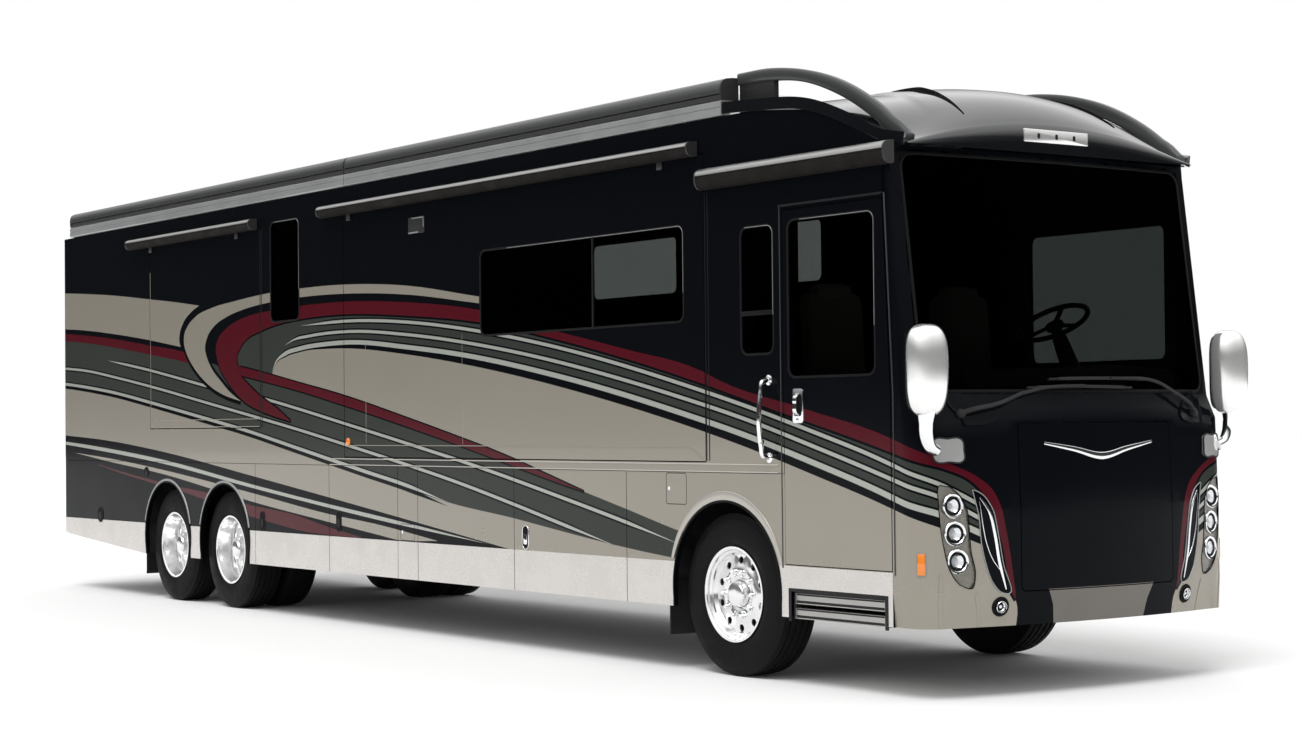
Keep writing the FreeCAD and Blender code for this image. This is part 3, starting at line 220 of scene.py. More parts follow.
# finish: effect, its inputs, colour or setting name, metallic, bump, other shader settings;
# a second colour is the dust or the worn tone that the effect's mask brings in
FINISHES = {
    "body_black": ("gloss", {"Clean": 0.10, "Dirty": 0.34}, "black", 0, 0.006,
                   {"Coat Weight": 0.02, "Coat Roughness": 0.04, "Specular IOR Level": 0.05}),
    "brow_black": ("gloss", {"Clean": 0.07, "Dirty": 0.22}, "black", 0, 0.006,
                   {"Coat Weight": 1.0, "Coat Roughness": 0.03, "Specular IOR Level": 0.5}),
    "bumper_metal": ("brushed", {"Polished": 0.24, "Dull": 0.4}, (0.165, 0.155, 0.140), 0.85,
                     0.01, {}),
    "mirror_shell": ("brushed", {"Polished": 0.10, "Dull": 0.20}, (0.90, 0.90, 0.89), 0.72,
                     0.0015, {"Specular IOR Level": 0.8}),
    "champagne": ("gloss", {"Clean": 0.20, "Dirty": 0.38}, "champagne", 0.25, 0.002,
                  {"Coat Weight": 0.35, "Coat Roughness": 0.05, "Specular IOR Level": 0.4}),
    "pin_silver": ("gloss", {"Clean": 0.2, "Dirty": 0.4}, "silver", 0.2, 0.006,
                   {"Coat Weight": 0.3, "Coat Roughness": 0.05}),
    "swoosh_grey": ("gloss", {"Clean": 0.16, "Dirty": 0.38}, "grey", 0.1, 0.002,
                    {"Coat Weight": 0.04, "Coat Roughness": 0.05, "Specular IOR Level": 0.10}),
    "deep_red": ("gloss", {"Clean": 0.14, "Dirty": 0.36}, "red", 0, 0.002,
                 {"Coat Weight": 0.05, "Coat Roughness": 0.05, "Specular IOR Level": 0.12}),
    "roof_white": ("gloss", {"Clean": 0.4, "Dirty": 0.6}, "roof", 0, 0.02, {}),
    "polished_trim": ("brushed", {"Polished": 0.24, "Dull": 0.32}, (0.75, 0.72, 0.69), 1, 0.004, {}),
    "arch_pale": ("gloss", {"Clean": 0.18, "Dirty": 0.34}, (0.46, 0.44, 0.40), 0.3, 0.002, {}),
    "screen_glass": ("gloss", {"Clean": 0.02, "Dirty": 0.05}, (0.15, 0.165, 0.16), 0, 0.0005,
                     {"Transmission Weight": 1.0, "IOR": 1.02, "Specular IOR Level": 0.1}),
    "aluminium": ("brushed", {"Polished": 0.3, "Dull": 0.5}, (0.42, 0.42, 0.41), 1, 0.02, {}),
    "rail_grey": ("brushed", {"Polished": 0.3, "Dull": 0.5}, (0.36, 0.37, 0.37), 0.6, 0.02, {}),
    "chrome": ("brushed", {"Polished": 0.04, "Dull": 0.10}, (0.86, 0.87, 0.88), 1, 0.0015, {}),
    "alloy": ("brushed", {"Polished": 0.10, "Dull": 0.22}, (0.86, 0.86, 0.86), 0.86, 0.0015, {}),
    "charcoal": ("grain", {"Cells": 900, "Smooth": 0.32, "Rough": 0.5}, (0.022, 0.022, 0.023), 0,
                 0.02, {"Specular IOR Level": 0.35}),
    "case_grey": ("gloss", {"Clean": 0.24, "Dirty": 0.4}, (0.060, 0.062, 0.062), 0.3, 0.01,
                  {"Specular IOR Level": 0.4}),
    "awning_brown": ("grain", {"Cells": 700, "Smooth": 0.6, "Rough": 0.85},
                     (0.008, 0.006, 0.005), 0, 0.05, {"Specular IOR Level": 0.15}),
    "moulded_black": ("grain", {"Cells": 650, "Smooth": 0.4, "Rough": 0.62},
                      (0.011, 0.011, 0.012), 0, 0.05, {"Specular IOR Level": 0.3}),
    "dash_grey": ("grain", {"Cells": 600, "Smooth": 0.5, "Rough": 0.7},
                  (0.040, 0.038, 0.036), 0, 0.06, {"Specular IOR Level": 0.3}),
    "hide": ("grain", {"Cells": 420, "Smooth": 0.38, "Rough": 0.58}, "leather", 0, 0.10,
             {"Specular IOR Level": 0.4, "Sheen Weight": 0.1}),
    "seal_black": ("grain", {"Cells": 300, "Smooth": 0.45, "Rough": 0.65},
                   (0.004, 0.004, 0.0045), 0, 0.02, {"Specular IOR Level": 0.12}),
    "chassis": ("dust", {"Amount": 0.5, "Clean": 0.5, "Dusty": 0.85}, (0.012, 0.012, 0.013), 0.2,
                0.10, {}, (0.09, 0.085, 0.078)),
    "rubber": ("dust", {"Amount": 0.35, "Clean": 0.55, "Dusty": 0.85}, (0.010, 0.010, 0.011), 0,
               0.06, {"Specular IOR Level": 0.3}, (0.055, 0.052, 0.050)),
    "tyre_rubber": ("dust", {"Amount": 0.15, "Clean": 0.45, "Dusty": 0.75}, (0.0048, 0.0048, 0.0050),
                    0, 0.05, {"Specular IOR Level": 0.12}, (0.022, 0.021, 0.020)),
    "cast_grey": ("dust", {"Amount": 0.45, "Clean": 0.4, "Dusty": 0.8}, (0.10, 0.10, 0.10), 0.7,
                  0.12, {}, (0.07, 0.06, 0.05)),
    "tread_metal": ("brushed", {"Polished": 0.25, "Dull": 0.45}, (0.55, 0.54, 0.52), 1, 0.05, {}),
    "amber_lens": ("gloss", {"Clean": 0.06, "Dirty": 0.2}, (0.80, 0.22, 0.02), 0, 0.01,
                   {"Coat Weight": 0.6}),
    "red_lens": ("gloss", {"Clean": 0.06, "Dirty": 0.2}, (0.42, 0.010, 0.012), 0, 0.01,
                 {"Coat Weight": 0.6}),
    "dark_glass": ("gloss", {"Clean": 0.02, "Dirty": 0.05}, (0.24, 0.255, 0.25), 0, 0.0005,
                   {"Transmission Weight": 1.0, "IOR": 1.02, "Specular IOR Level": 0.1}),
    "lens_glass": ("gloss", {"Clean": 0.02, "Dirty": 0.06}, (0.93, 0.94, 0.95), 0, 0.0005,
                   {"Transmission Weight": 1.0, "IOR": 1.15}),
    "lamp_white": ("gloss", {"Clean": 0.05, "Dirty": 0.1}, (0.80, 0.82, 0.84), 0, 0.002,
                   {"Emission Color": (1, 1, 1, 1), "Emission Strength": 0.12}),
}


def finish(name):
    """The finish's material: a shader with its own values, and an effect for gloss and grain."""
    if name in finishes:
        return finishes[name]
    effect, values, tone, metallic, bump, settings, *second = FINISHES[name]
    if effect not in groups:
        groups[effect] = GROUP_MAKERS[effect]()
    colours = bpy.context.scene.motorhome_colours
    tone = tuple(getattr(colours, tone)) if isinstance(tone, str) else tone
    material = bpy.data.materials.new(name)
    material.use_nodes = True
    tree = material.node_tree
    shader = tree.nodes["Principled BSDF"]
    shader.inputs["Base Color"].default_value = (*tone, 1)
    shader.inputs["Metallic"].default_value = metallic
    for label, value in settings.items():
        shader.inputs[label].default_value = value
    group = tree.nodes.new("ShaderNodeGroup")
    group.node_tree = groups[effect]
    for label, value in values.items():
        group.inputs[label].default_value = value
    tree.links.new(group.outputs["Roughness"], shader.inputs["Roughness"])
    relief = tree.nodes.new("ShaderNodeBump")
    relief.inputs["Strength"].default_value = 0.6
    relief.inputs["Distance"].default_value = bump * 0.02
    tree.links.new(group.outputs["Height"], relief.inputs["Height"])
    tree.links.new(relief.outputs["Normal"], shader.inputs["Normal"])
    if second:
        mix = tree.nodes.new("ShaderNodeMix")
        mix.data_type = "RGBA"
        mix.inputs["A"].default_value = (*tone, 1)
        mix.inputs["B"].default_value = (*second[0], 1)
        tree.links.new(group.outputs["Mask"], mix.inputs["Factor"])
        tree.links.new(mix.outputs["Result"], shader.inputs["Base Color"])
    material.diffuse_color = (*tone, 1)
    finishes[name] = material
    return material


# ---------------------------------------------------------------- surfaces
def quads(rows, columns, wrap=False):
    """Corner numbers of the faces of a grid whose points run along its columns first."""
    row = np.arange(rows - 1)[:, None] * columns
    column = np.arange(columns if wrap else columns - 1)[None, :]
    after = (column + 1) % columns
    return np.stack([row + column, row + after, row + columns + after, row + columns + column],
                    -1).reshape(-1, 4).tolist()


def joined(*shapes):
    """Several (points, faces, finish numbers) as one."""
    points, faces, marks, start = [], [], [], 0
    for shape in shapes:
        corner, face, *mark = shape
        corner = np.asarray(corner, float).reshape(-1, 3)
        points.append(corner)
        faces += [[start + number for number in one] for one in face]
        marks += list(mark[0]) if mark else [0] * len(face)
        start += len(corner)
    return np.vstack(points), faces, marks


def marked(shape, number):
    """The shape with every face in finish number."""
    return shape[0], shape[1], [number] * len(shape[1])


def moved(shape, offset):
    return (np.asarray(shape[0]) + np.asarray(offset), *shape[1:])


def flipped_side(shape):
    """The shape on the coach's other side: Y changes sign and every face turns round."""
    return (np.asarray(shape[0]) * (1, -1, 1), [face[::-1] for face in shape[1]], *shape[2:])


def both(shape):
    return joined(shape, flipped_side(shape))


def rectangle(width, height, radius, steps=4):
    """Outline of a rounded rectangle about the origin, anticlockwise from the right."""
    radius = min(radius, width / 2 - 1e-5, height / 2 - 1e-5)
    turn = np.linspace(0, math.pi / 2, steps + 1)
    corner = np.stack([np.cos(turn), np.sin(turn)], -1) * radius
    inner = np.array([width / 2 - radius, height / 2 - radius])
    spun = []
    for quarter, (sign_x, sign_y) in enumerate(((1, 1), (-1, 1), (-1, -1), (1, -1))):
        angle = quarter * math.pi / 2
        turned_corner = corner @ np.array([[math.cos(angle), math.sin(angle)],
                                           [-math.sin(angle), math.cos(angle)]])
        spun.append(turned_corner + inner * (sign_x, sign_y))
    return np.vstack(spun)


def circle(radius, steps=16):
    angle = np.arange(steps) * TAU / steps
    return np.stack([np.cos(angle), np.sin(angle)], -1) * radius


def swept(path, outline, up=(0, 0, 1), scale=None, closed=False, ends=True):
    """Outline carried along a path: point + s * across + t * upright, where across is the
    path's direction times up, made square to it, and upright is across times the direction."""
    path = np.asarray(path, float)
    if closed:
        run = np.roll(path, -1, 0) - np.roll(path, 1, 0)
    else:
        run = np.gradient(path, axis=0)
    run /= np.linalg.norm(run, axis=1)[:, None]
    up = np.broadcast_to(np.asarray(up, float), path.shape)
    across = np.cross(run, up)
    across /= np.linalg.norm(across, axis=1)[:, None]
    upright = np.cross(across, run)
    size = np.ones(len(path)) if scale is None else np.asarray(scale, float)
    outline = np.asarray(outline, float)
    points = (path[:, None] + size[:, None, None] * (outline[None, :, :1] * across[:, None]
              + outline[None, :, 1:] * upright[:, None])).reshape(-1, 3)
    count = len(outline)
    faces = quads(len(path), count, True)
    if closed:
        last = (len(path) - 1) * count
        faces += [[last + i, last + (i + 1) % count, (i + 1) % count, i] for i in range(count)]
    elif ends:
        faces += [list(range(count))[::-1], list(range(len(path) * count - count,
                                                       len(path) * count))]
    return points, faces


def tube(path, radius, steps=10, up=(0, 0, 1), scale=None, closed=False):
    return swept(path, circle(radius, steps), up, scale, closed)


def slab(low, high, axis=0, radius=0.01, soft=0.004):
    """Block with a rounded section along an axis, and ends that pull in by soft."""
    low, high = np.asarray(low, float), np.asarray(high, float)
    side, tall = [(1, 2), (0, 2), (0, 1)][axis]
    wide, high_size = high[side] - low[side], high[tall] - low[tall]
    middle = (low + high) / 2
    steps = [(low[axis], soft), (low[axis] + soft * 0.3, soft * 0.3), (low[axis] + soft, 0),
             (high[axis] - soft, 0), (high[axis] - soft * 0.3, soft * 0.3), (high[axis], soft)]
    rings = []
    for place, pull in steps:
        outline = rectangle(wide - 2 * pull, high_size - 2 * pull, max(radius - pull, 2e-4))
        ring = np.empty((len(outline), 3))
        ring[:, axis] = place
        ring[:, side] = middle[side] + outline[:, 0]
        ring[:, tall] = middle[tall] + outline[:, 1]
        rings.append(ring)
    count = len(rings[0])
    faces = quads(len(rings), count, True)
    faces += [list(range(count))[::-1], list(range(5 * count, 6 * count))]
    return np.vstack(rings), faces


def frame_of(axis):
    """Two directions square to an axis."""
    axis = np.asarray(axis, float) / np.linalg.norm(axis)
    first = np.cross(axis, (0, 0, 1) if abs(axis[2]) < 0.9 else (1, 0, 0))
    first /= np.linalg.norm(first)
    return axis, first, np.cross(axis, first)


def turned(profile, centre, axis, steps=48, closed=False):
    """Surface of revolution: centre + a * axis + r * (cos, sin) round it, profile (a, r)."""
    profile = np.asarray(profile, float)
    axis, first, second = frame_of(axis)
    angle = np.arange(steps) * TAU / steps
    around = np.cos(angle)[:, None] * first + np.sin(angle)[:, None] * second
    points = (np.asarray(centre, float) + profile[:, :1, None] * axis
              + profile[:, 1:, None] * around[None])
    faces = quads(len(profile), steps, True)
    if closed:
        last = (len(profile) - 1) * steps
        faces += [[last + i, last + (i + 1) % steps, (i + 1) % steps, i] for i in range(steps)]
    return points.reshape(-1, 3), faces


def smooth_line(points, per=6):
    """Smooth line through points: each span is the cubic whose slope at a point is
    the mean of its two chords, each weighted by the length of the other."""
    points = np.asarray(points, float)
    if len(points) < 3:
        return points
    step = np.diff(points, axis=0)
    span = np.linalg.norm(step, axis=1)[:, None]
    chord = step / span
    slope = np.vstack([chord[:1], (chord[:-1] * span[1:] + chord[1:] * span[:-1])
                       / (span[1:] + span[:-1]), chord[-1:]])
    share = np.arange(per)[None, :, None] / per
    first, last = points[:-1, None], points[1:, None]
    leave, arrive = slope[:-1, None] * span[:, None], slope[1:, None] * span[:, None]
    line = (first * (1 + 2 * share) * (1 - share) ** 2 + leave * share * (1 - share) ** 2
            + last * share ** 2 * (3 - 2 * share) + arrive * share ** 2 * (share - 1))
    return np.vstack([line.reshape(-1, points.shape[1]), points[-1:]])


def piece(name, shape, body, materials, smooth=30, merge=1e-6, turn=True,
          normals=None):
    """One finished object from a shape: doubles merged, faces turned outwards, riding a body."""
    points, faces, *mark = shape
    mesh = bpy.data.meshes.new(name)
    mesh.from_pydata(np.asarray(points, float).tolist(), [], faces)
    if mark:
        mesh.polygons.foreach_set("material_index", np.asarray(mark[0], np.int32))
    if turn:
        work = bmesh.new()
        work.from_mesh(mesh)
        bmesh.ops.remove_doubles(work, verts=work.verts, dist=merge)
        bmesh.ops.dissolve_degenerate(work, edges=work.edges, dist=merge)
        bmesh.ops.recalc_face_normals(work, faces=work.faces)
        work.to_mesh(mesh)
        work.free()
    for one in materials:
        mesh.materials.append(finish(one))
    mesh.validate()
    if smooth:
        mesh.polygons.foreach_set("use_smooth", np.ones(len(mesh.polygons), bool))
        mesh.set_sharp_from_angle(angle=math.radians(smooth))
    if normals is not None:
        mesh.normals_split_custom_set(normals)
    made = bpy.data.objects.new(name, mesh)
    bpy.context.scene.collection.objects.link(made)
    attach(made, body)
    return made


# ---------------------------------------------------------------- the painted design
# Points are (along, height) in metres. Along is X on the flat side; past the front seam it
# runs round the nose, past the rear seam round the tail, and the other side mirrors it.
CENTRE = 7.815          # along at the middle of the nose
TAIL_CENTRE = -7.95     # along at the middle of the tail
STRIP_TOP = 0.713
PIN_EDGE = 0.013        # black either side of a pale line

FRONT_OUTER = [(7.14, 0.57), (7.12, 0.71), (7.10, 0.85), (7.07, 1.01), (7.04, 1.13),
               (6.99, 1.22), (6.90, 1.29), (6.75, 1.36), (6.54, 1.44), (6.30, 1.52),
               (5.50, 1.70), (4.66, 1.885), (4.47, 1.95), (3.60, 2.12), (2.65, 2.29),
               (1.69, 2.47), (0.60, 2.58), (-0.45, 2.635), (-1.25, 2.637), (-1.78, 2.624),
               (-2.21, 2.60), (-2.53, 2.551), (-2.76, 2.483), (-2.88, 2.417), (-2.93, 2.334),
               (-2.91, 2.249), (-2.83, 2.134), (-2.70, 2.033), (-2.51, 1.918), (-2.32, 1.833),
               (-2.10, 1.775), (-1.76, 1.711), (-1.43, 1.662)]
FRONT_INNER = [(7.14, 0.57), (7.09, 0.64), (7.07, 0.78), (7.04, 0.92), (6.99, 1.06),
               (6.94, 1.18), (6.85, 1.27), (6.68, 1.34), (6.56, 1.37), (6.29, 1.44),
               (5.10, 1.72), (4.47, 1.87), (2.75, 2.215), (1.68, 2.38), (0.59, 2.475),
               (-0.46, 2.532), (-1.26, 2.525), (-1.60, 2.506), (-2.03, 2.449), (-2.28, 2.396),
               (-2.42, 2.318), (-2.49, 2.245), (-2.47, 2.160)]
HOOK_LOW = [(-2.47, 2.160), (-2.41, 2.076), (-2.32, 2.025), (-2.19, 1.961), (-2.04, 1.897),
            (-1.91, 1.848), (-1.70, 1.778), (-1.43, 1.662)]
TAIL_TOP = [(-2.47, 2.160), (-2.06, 2.105), (-1.26, 1.985), (-0.58, 1.884), (0.58, 1.677),
            (1.25, 1.550), (2.09, 1.382), (2.52, 1.281), (3.08, 1.148)]
TAIL_LOW = [(-2.41, 2.076), (-1.97, 2.016), (-1.26, 1.917), (-0.58, 1.808), (0.58, 1.610),
            (1.40, 1.462), (2.09, 1.330), (2.73, 1.208), (3.08, 1.148)]
PALE_OUTER = [(1.69, 2.57), (0.60, 2.71), (-0.45, 2.775), (-1.25, 2.785), (-1.79, 2.778),
              (-2.53, 2.739), (-3.02, 2.700), (-3.37, 2.635), (-3.54, 2.556), (-3.62, 2.472),
              (-3.62, 2.385), (-3.56, 2.297), (-3.44, 2.192), (-3.24, 2.073), (-3.03, 1.983),
              (-2.77, 1.909), (-2.41, 1.848)]
PALE_INNER = [(1.69, 2.52), (0.60, 2.64), (-0.45, 2.70), (-1.25, 2.71), (-1.79, 2.696),
              (-2.37, 2.655), (-2.69, 2.607), (-2.96, 2.533), (-3.11, 2.440), (-3.16, 2.342),
              (-3.11, 2.241), (-3.00, 2.138), (-2.83, 2.036), (-2.64, 1.934), (-2.41, 1.848)]
REAR_PALE_TOP = [(-8.0, 3.08), (-6.68, 3.02), (-6.02, 2.98), (-5.20, 2.92), (-4.44, 2.85),
                 (-3.85, 2.795), (-3.28, 2.735)]
REAR_PALE_END = [(-3.28, 2.735), (-3.47, 2.680), (-3.64, 2.590), (-3.72, 2.490),
                 (-3.73, 2.430), (-3.70, 2.370)]
REAR_PALE_LOW = [(-8.0, 2.71), (-6.68, 2.65), (-6.02, 2.61), (-5.21, 2.54), (-4.44, 2.46),
                 (-3.70, 2.37)]
REAR_RED_TOP = [(-8.0, 2.66), (-6.69, 2.603), (-6.02, 2.559), (-5.21, 2.491), (-4.44, 2.409),
                (-3.63, 2.320), (-3.40, 2.280)]
REAR_RED_LOW = [(-8.0, 2.58), (-6.69, 2.527), (-6.02, 2.483), (-5.21, 2.407), (-4.45, 2.323),
                (-3.53, 2.213), (-3.20, 2.160)]
PIN_1 = [(-5.45, 2.291), (-4.45, 2.174), (-3.72, 2.076), (-2.90, 1.965), (-1.94, 1.862),
         (-1.26, 1.764), (-0.54, 1.653), (0.58, 1.479), (1.63, 1.311), (2.87, 1.088),
         (3.60, 0.950), (4.20, 0.827)]
PIN_2 = [(-8.0, 2.30), (-6.69, 2.244), (-6.03, 2.204), (-5.22, 2.115), (-4.45, 2.021),
         (-3.04, 1.831), (-2.04, 1.696), (-1.26, 1.588), (-0.54, 1.482), (0.58, 1.312),
         (1.24, 1.206), (2.16, 1.039), (2.87, 0.901), (3.46, 0.788)]
PIN_3 = [(-8.0, 2.14), (-6.69, 2.086), (-6.03, 2.038), (-5.22, 1.962), (-4.54, 1.879),
         (-3.04, 1.686), (-2.38, 1.599), (-1.27, 1.430), (-0.08, 1.248), (0.58, 1.150),
         (1.20, 1.035)]
SWOOSH_TOP = [(3.08, 1.148), (3.60, 1.040), (4.23, 0.907), (4.60, 0.840)]
SWOOSH_LOW = [(-8.0, 2.12), (-6.69, 2.066), (-6.03, 2.018), (-5.22, 1.942), (-4.54, 1.859),
              (-3.04, 1.666), (-2.38, 1.579), (-1.27, 1.410), (-0.08, 1.230), (0.58, 1.132),
              (1.20, 1.035), (2.16, 0.938), (2.69, 0.877), (3.27, 0.812), (3.74, 0.766),
              (4.60, 0.700)]
PIN_A = [(-1.24, 2.469), (-0.35, 2.474), (0.59, 2.426), (1.60, 2.324), (2.60, 2.184),
         (3.40, 2.044), (4.20, 1.882), (5.00, 1.704), (5.60, 1.556), (6.20, 1.398),
         (6.45, 1.320), (6.64, 1.255), (6.84, 1.160), (6.96, 1.095)]
PIN_B = [(-1.54, 2.311), (-1.37, 2.355), (-1.10, 2.376), (-0.35, 2.388), (0.59, 2.328),
         (1.60, 2.222), (2.60, 2.082), (3.40, 1.946), (4.20, 1.792), (5.00, 1.620),
         (5.60, 1.468), (6.20, 1.310), (6.45, 1.240), (6.64, 1.180), (6.84, 1.080),
         (6.98, 1.010)]
PIN_C = [(-1.79, 2.091), (-1.71, 2.177), (-1.54, 2.240), (-1.26, 2.277), (-0.73, 2.300),
         (-0.35, 2.300), (0.59, 2.230), (1.60, 2.126), (2.60, 1.982), (3.40, 1.846),
         (4.20, 1.690), (5.00, 1.518), (5.60, 1.368), (6.20, 1.208), (6.45, 1.132),
         (6.64, 1.078), (6.84, 0.990), (6.99, 0.925)]
UNDER_C = [(-1.27, 2.262), (-0.35, 2.280), (0.59, 2.208), (1.60, 2.102), (2.60, 1.962),
           (3.40, 1.826), (4.20, 1.670), (5.00, 1.494), (5.60, 1.346), (6.20, 1.186),
           (6.45, 1.112), (6.66, 1.050), (6.90, 0.945)]
PANEL_TOP = [(-1.79, 2.060), (-1.74, 2.140), (-1.63, 2.195), (-1.45, 2.240), (-1.25, 2.262),
             (-0.35, 2.250), (0.60, 2.172), (1.60, 2.056), (2.60, 1.910), (3.40, 1.773),
             (4.20, 1.620), (5.00, 1.445), (5.60, 1.295), (6.20, 1.140), (6.45, 1.066),
             (6.67, 0.990), (6.89, 0.905),
             (7.07, 0.840), (7.10, 0.620), (7.14, 0.570), (7.16, 0.300)]
BLACK_LOW_TOP = [(-8.0, 1.62), (-6.69, 1.556), (-5.52, 1.502), (-4.12, 1.394), (-2.13, 1.184),
                 (-0.74, 1.032), (0.13, 0.935), (2.10, 0.712)]
LOW_SILVER_TOP = [(-8.0, 1.555), (-6.69, 1.493), (-5.52, 1.425), (-4.12, 1.319),
                  (-2.13, 1.109), (-0.74, 0.975), (0.13, 0.899), (1.78, 0.740)]
LOW_SILVER_LOW = [(-8.0, 1.52), (-6.69, 1.462), (-5.52, 1.388), (-4.12, 1.282),
                  (-2.13, 1.079), (-0.74, 0.946), (0.13, 0.867), (1.78, 0.740)]
LOW_PALE_TOP = [(-6.36, 1.376), (-5.52, 1.329), (-4.12, 1.223), (-2.13, 1.034), (-0.74, 0.894),
                (0.13, 0.830), (0.80, 0.762), (1.05, 0.735)]
LOW_PALE_LOW = [(-6.36, 1.376), (-5.52, 1.299), (-4.12, 1.184), (-2.13, 0.958), (-0.74, 0.828),
                (0.13, 0.748), (0.42, 0.722), (1.05, 0.735)]
LOW_RED_TOP = [(-5.71, 1.262), (-5.01, 1.184), (-4.36, 1.123), (-3.70, 1.066), (-3.16, 1.029),
               (-2.35, 0.944), (-1.32, 0.865), (-0.74, 0.785), (-0.20, 0.725)]
LOW_RED_LOW = [(-5.71, 1.255), (-5.01, 1.164), (-4.36, 1.094), (-3.70, 1.028), (-3.18, 0.960),
               (-2.35, 0.850), (-1.65, 0.777), (-1.32, 0.745), (-0.20, 0.714)]


def between(*lines):
    """Closed outline: the lines' smooth runs, end to end, the last one backwards."""
    runs = [smooth_line(line) for line in lines]
    return np.vstack(runs[:-1] + [runs[-1][::-1]])


def stripe(line, width, start=0.0, end=0.0):
    """Closed outline of a line as wide as width, narrowing to a point over start and end."""
    run = smooth_line(line)
    across = np.gradient(run, axis=0)
    across = np.stack([-across[:, 1], across[:, 0]], -1)
    across /= np.linalg.norm(across, axis=1)[:, None]
    gone = np.concatenate([[0], np.cumsum(np.linalg.norm(np.diff(run, axis=0), axis=1))])
    share = np.ones(len(run))
    if start:
        share = np.minimum(share, gone / start)
    if end:
        share = np.minimum(share, (gone[-1] - gone) / end)
    half = width / 2 * np.clip(share, 0.02, 1)[:, None]
    return np.vstack([run + across * half, (run - across * half)[::-1]])


def pinstripe(line, width, start=0.0, end=0.0):
    """A pale line on a wider black one."""
    edge = 2 * PIN_EDGE
    return [("body_black", stripe(line, width + edge, start, end)),
            ("pin_silver", stripe(line, width, start, end))]


def grown(outline, size):
    """Outline pushed outwards by size along its own normals."""
    ahead = np.roll(outline, -1, 0) - np.roll(outline, 1, 0)
    span = np.linalg.norm(ahead, axis=1)[:, None]
    normal = np.stack([ahead[:, 1], -ahead[:, 0]], -1) / np.maximum(span, 1e-9)
    after = np.roll(outline, -1, 0)
    area = (outline[:, 0] * after[:, 1] - after[:, 0] * outline[:, 1]).sum()
    return outline + normal * size * np.sign(area)


def design():
    """The bands in painter's order, as (finish, closed outline)."""
    pin = bpy.context.scene.motorhome_sizes.pin
    hook = np.vstack([smooth_line(FRONT_OUTER), smooth_line(HOOK_LOW)[::-1],
                      smooth_line(FRONT_INNER)[::-1]])
    tail = between(TAIL_TOP, TAIL_LOW)
    pale = between(PALE_OUTER, PALE_INNER)
    lower_field = np.vstack([smooth_line(SWOOSH_LOW), [(4.60, 0.20), (-8.0, 0.20)]])
    swoosh = np.vstack([smooth_line(REAR_RED_TOP), smooth_line(TAIL_LOW),
                        smooth_line(SWOOSH_TOP), smooth_line(SWOOSH_LOW)[::-1]])
    main_panel = np.vstack([smooth_line(PANEL_TOP), [(4.90, 0.20), (4.60, 0.84)],
                            smooth_line(SWOOSH_TOP)[::-1], smooth_line(TAIL_TOP)[::-1]])
    front_grey = np.vstack([smooth_line(FRONT_INNER)[::-1], [(6.98, 1.08), (6.90, 0.95)],
                            smooth_line(PANEL_TOP[:-4])[::-1], [(-2.30, 2.12)]])
    low_black = np.vstack([smooth_line(BLACK_LOW_TOP), [(2.10, 0.20), (-8.0, 0.20)]])
    return [
        ("champagne", lower_field),
        ("swoosh_grey", swoosh),
        ("body_black", stripe([(x, z - 0.030) for x, z in PIN_3], 0.034, 0.5, 0.5)),
        *pinstripe(PIN_1, pin, 0.4, 0.6),
        *pinstripe(PIN_2, pin, 0.4, 0.6),
        *pinstripe(PIN_3, pin * 1.2, 0.6, 0.6),
        ("body_black", low_black),
        ("pin_silver", between(LOW_SILVER_TOP, LOW_SILVER_LOW)),
        ("champagne", between(LOW_PALE_TOP, LOW_PALE_LOW)),
        ("deep_red", between(LOW_RED_TOP, LOW_RED_LOW)),
        ("swoosh_grey", front_grey),
        ("champagne", main_panel),
        ("body_black", between(UNDER_C, PANEL_TOP[4:-4])),
        *pinstripe(PIN_A, pin, 0.5),
        *pinstripe(PIN_B, pin, 0.3),
        *pinstripe(PIN_C, pin * 1.5, 0.3),
        ("body_black", between(REAR_PALE_LOW, REAR_RED_TOP)),
        ("champagne", between(REAR_PALE_TOP, REAR_PALE_END, REAR_PALE_LOW)),
        ("deep_red", between(REAR_RED_TOP, REAR_RED_LOW)),
        ("body_black", grown(pale, 0.035)),
        ("body_black", grown(hook, 0.016)),
        ("body_black", grown(tail, 0.012)),
        ("champagne", pale),
        ("deep_red", hook),
        ("deep_red", tail),
    ]


def crossings(points, first, last):
    """For each point, whether a ray to the right crosses the edges an odd number of times."""
    count = np.zeros(len(points), int)
    for start in range(0, len(first), 200):
        a, b = first[start:start + 200], last[start:start + 200]
        z = points[:, 1:2]
        over = (a[None, :, 1] > z) != (b[None, :, 1] > z)
        rise = np.where(np.abs(b[:, 1] - a[:, 1]) < 1e-12, 1e-12, b[:, 1] - a[:, 1])
        x = a[None, :, 0] + (z - a[None, :, 1]) * ((b[:, 0] - a[:, 0]) / rise)[None]
        count += (over & (points[:, :1] < x)).sum(1)
    return count % 2 == 1


def loop_edges(outline):
    return outline, np.roll(outline, -1, 0)


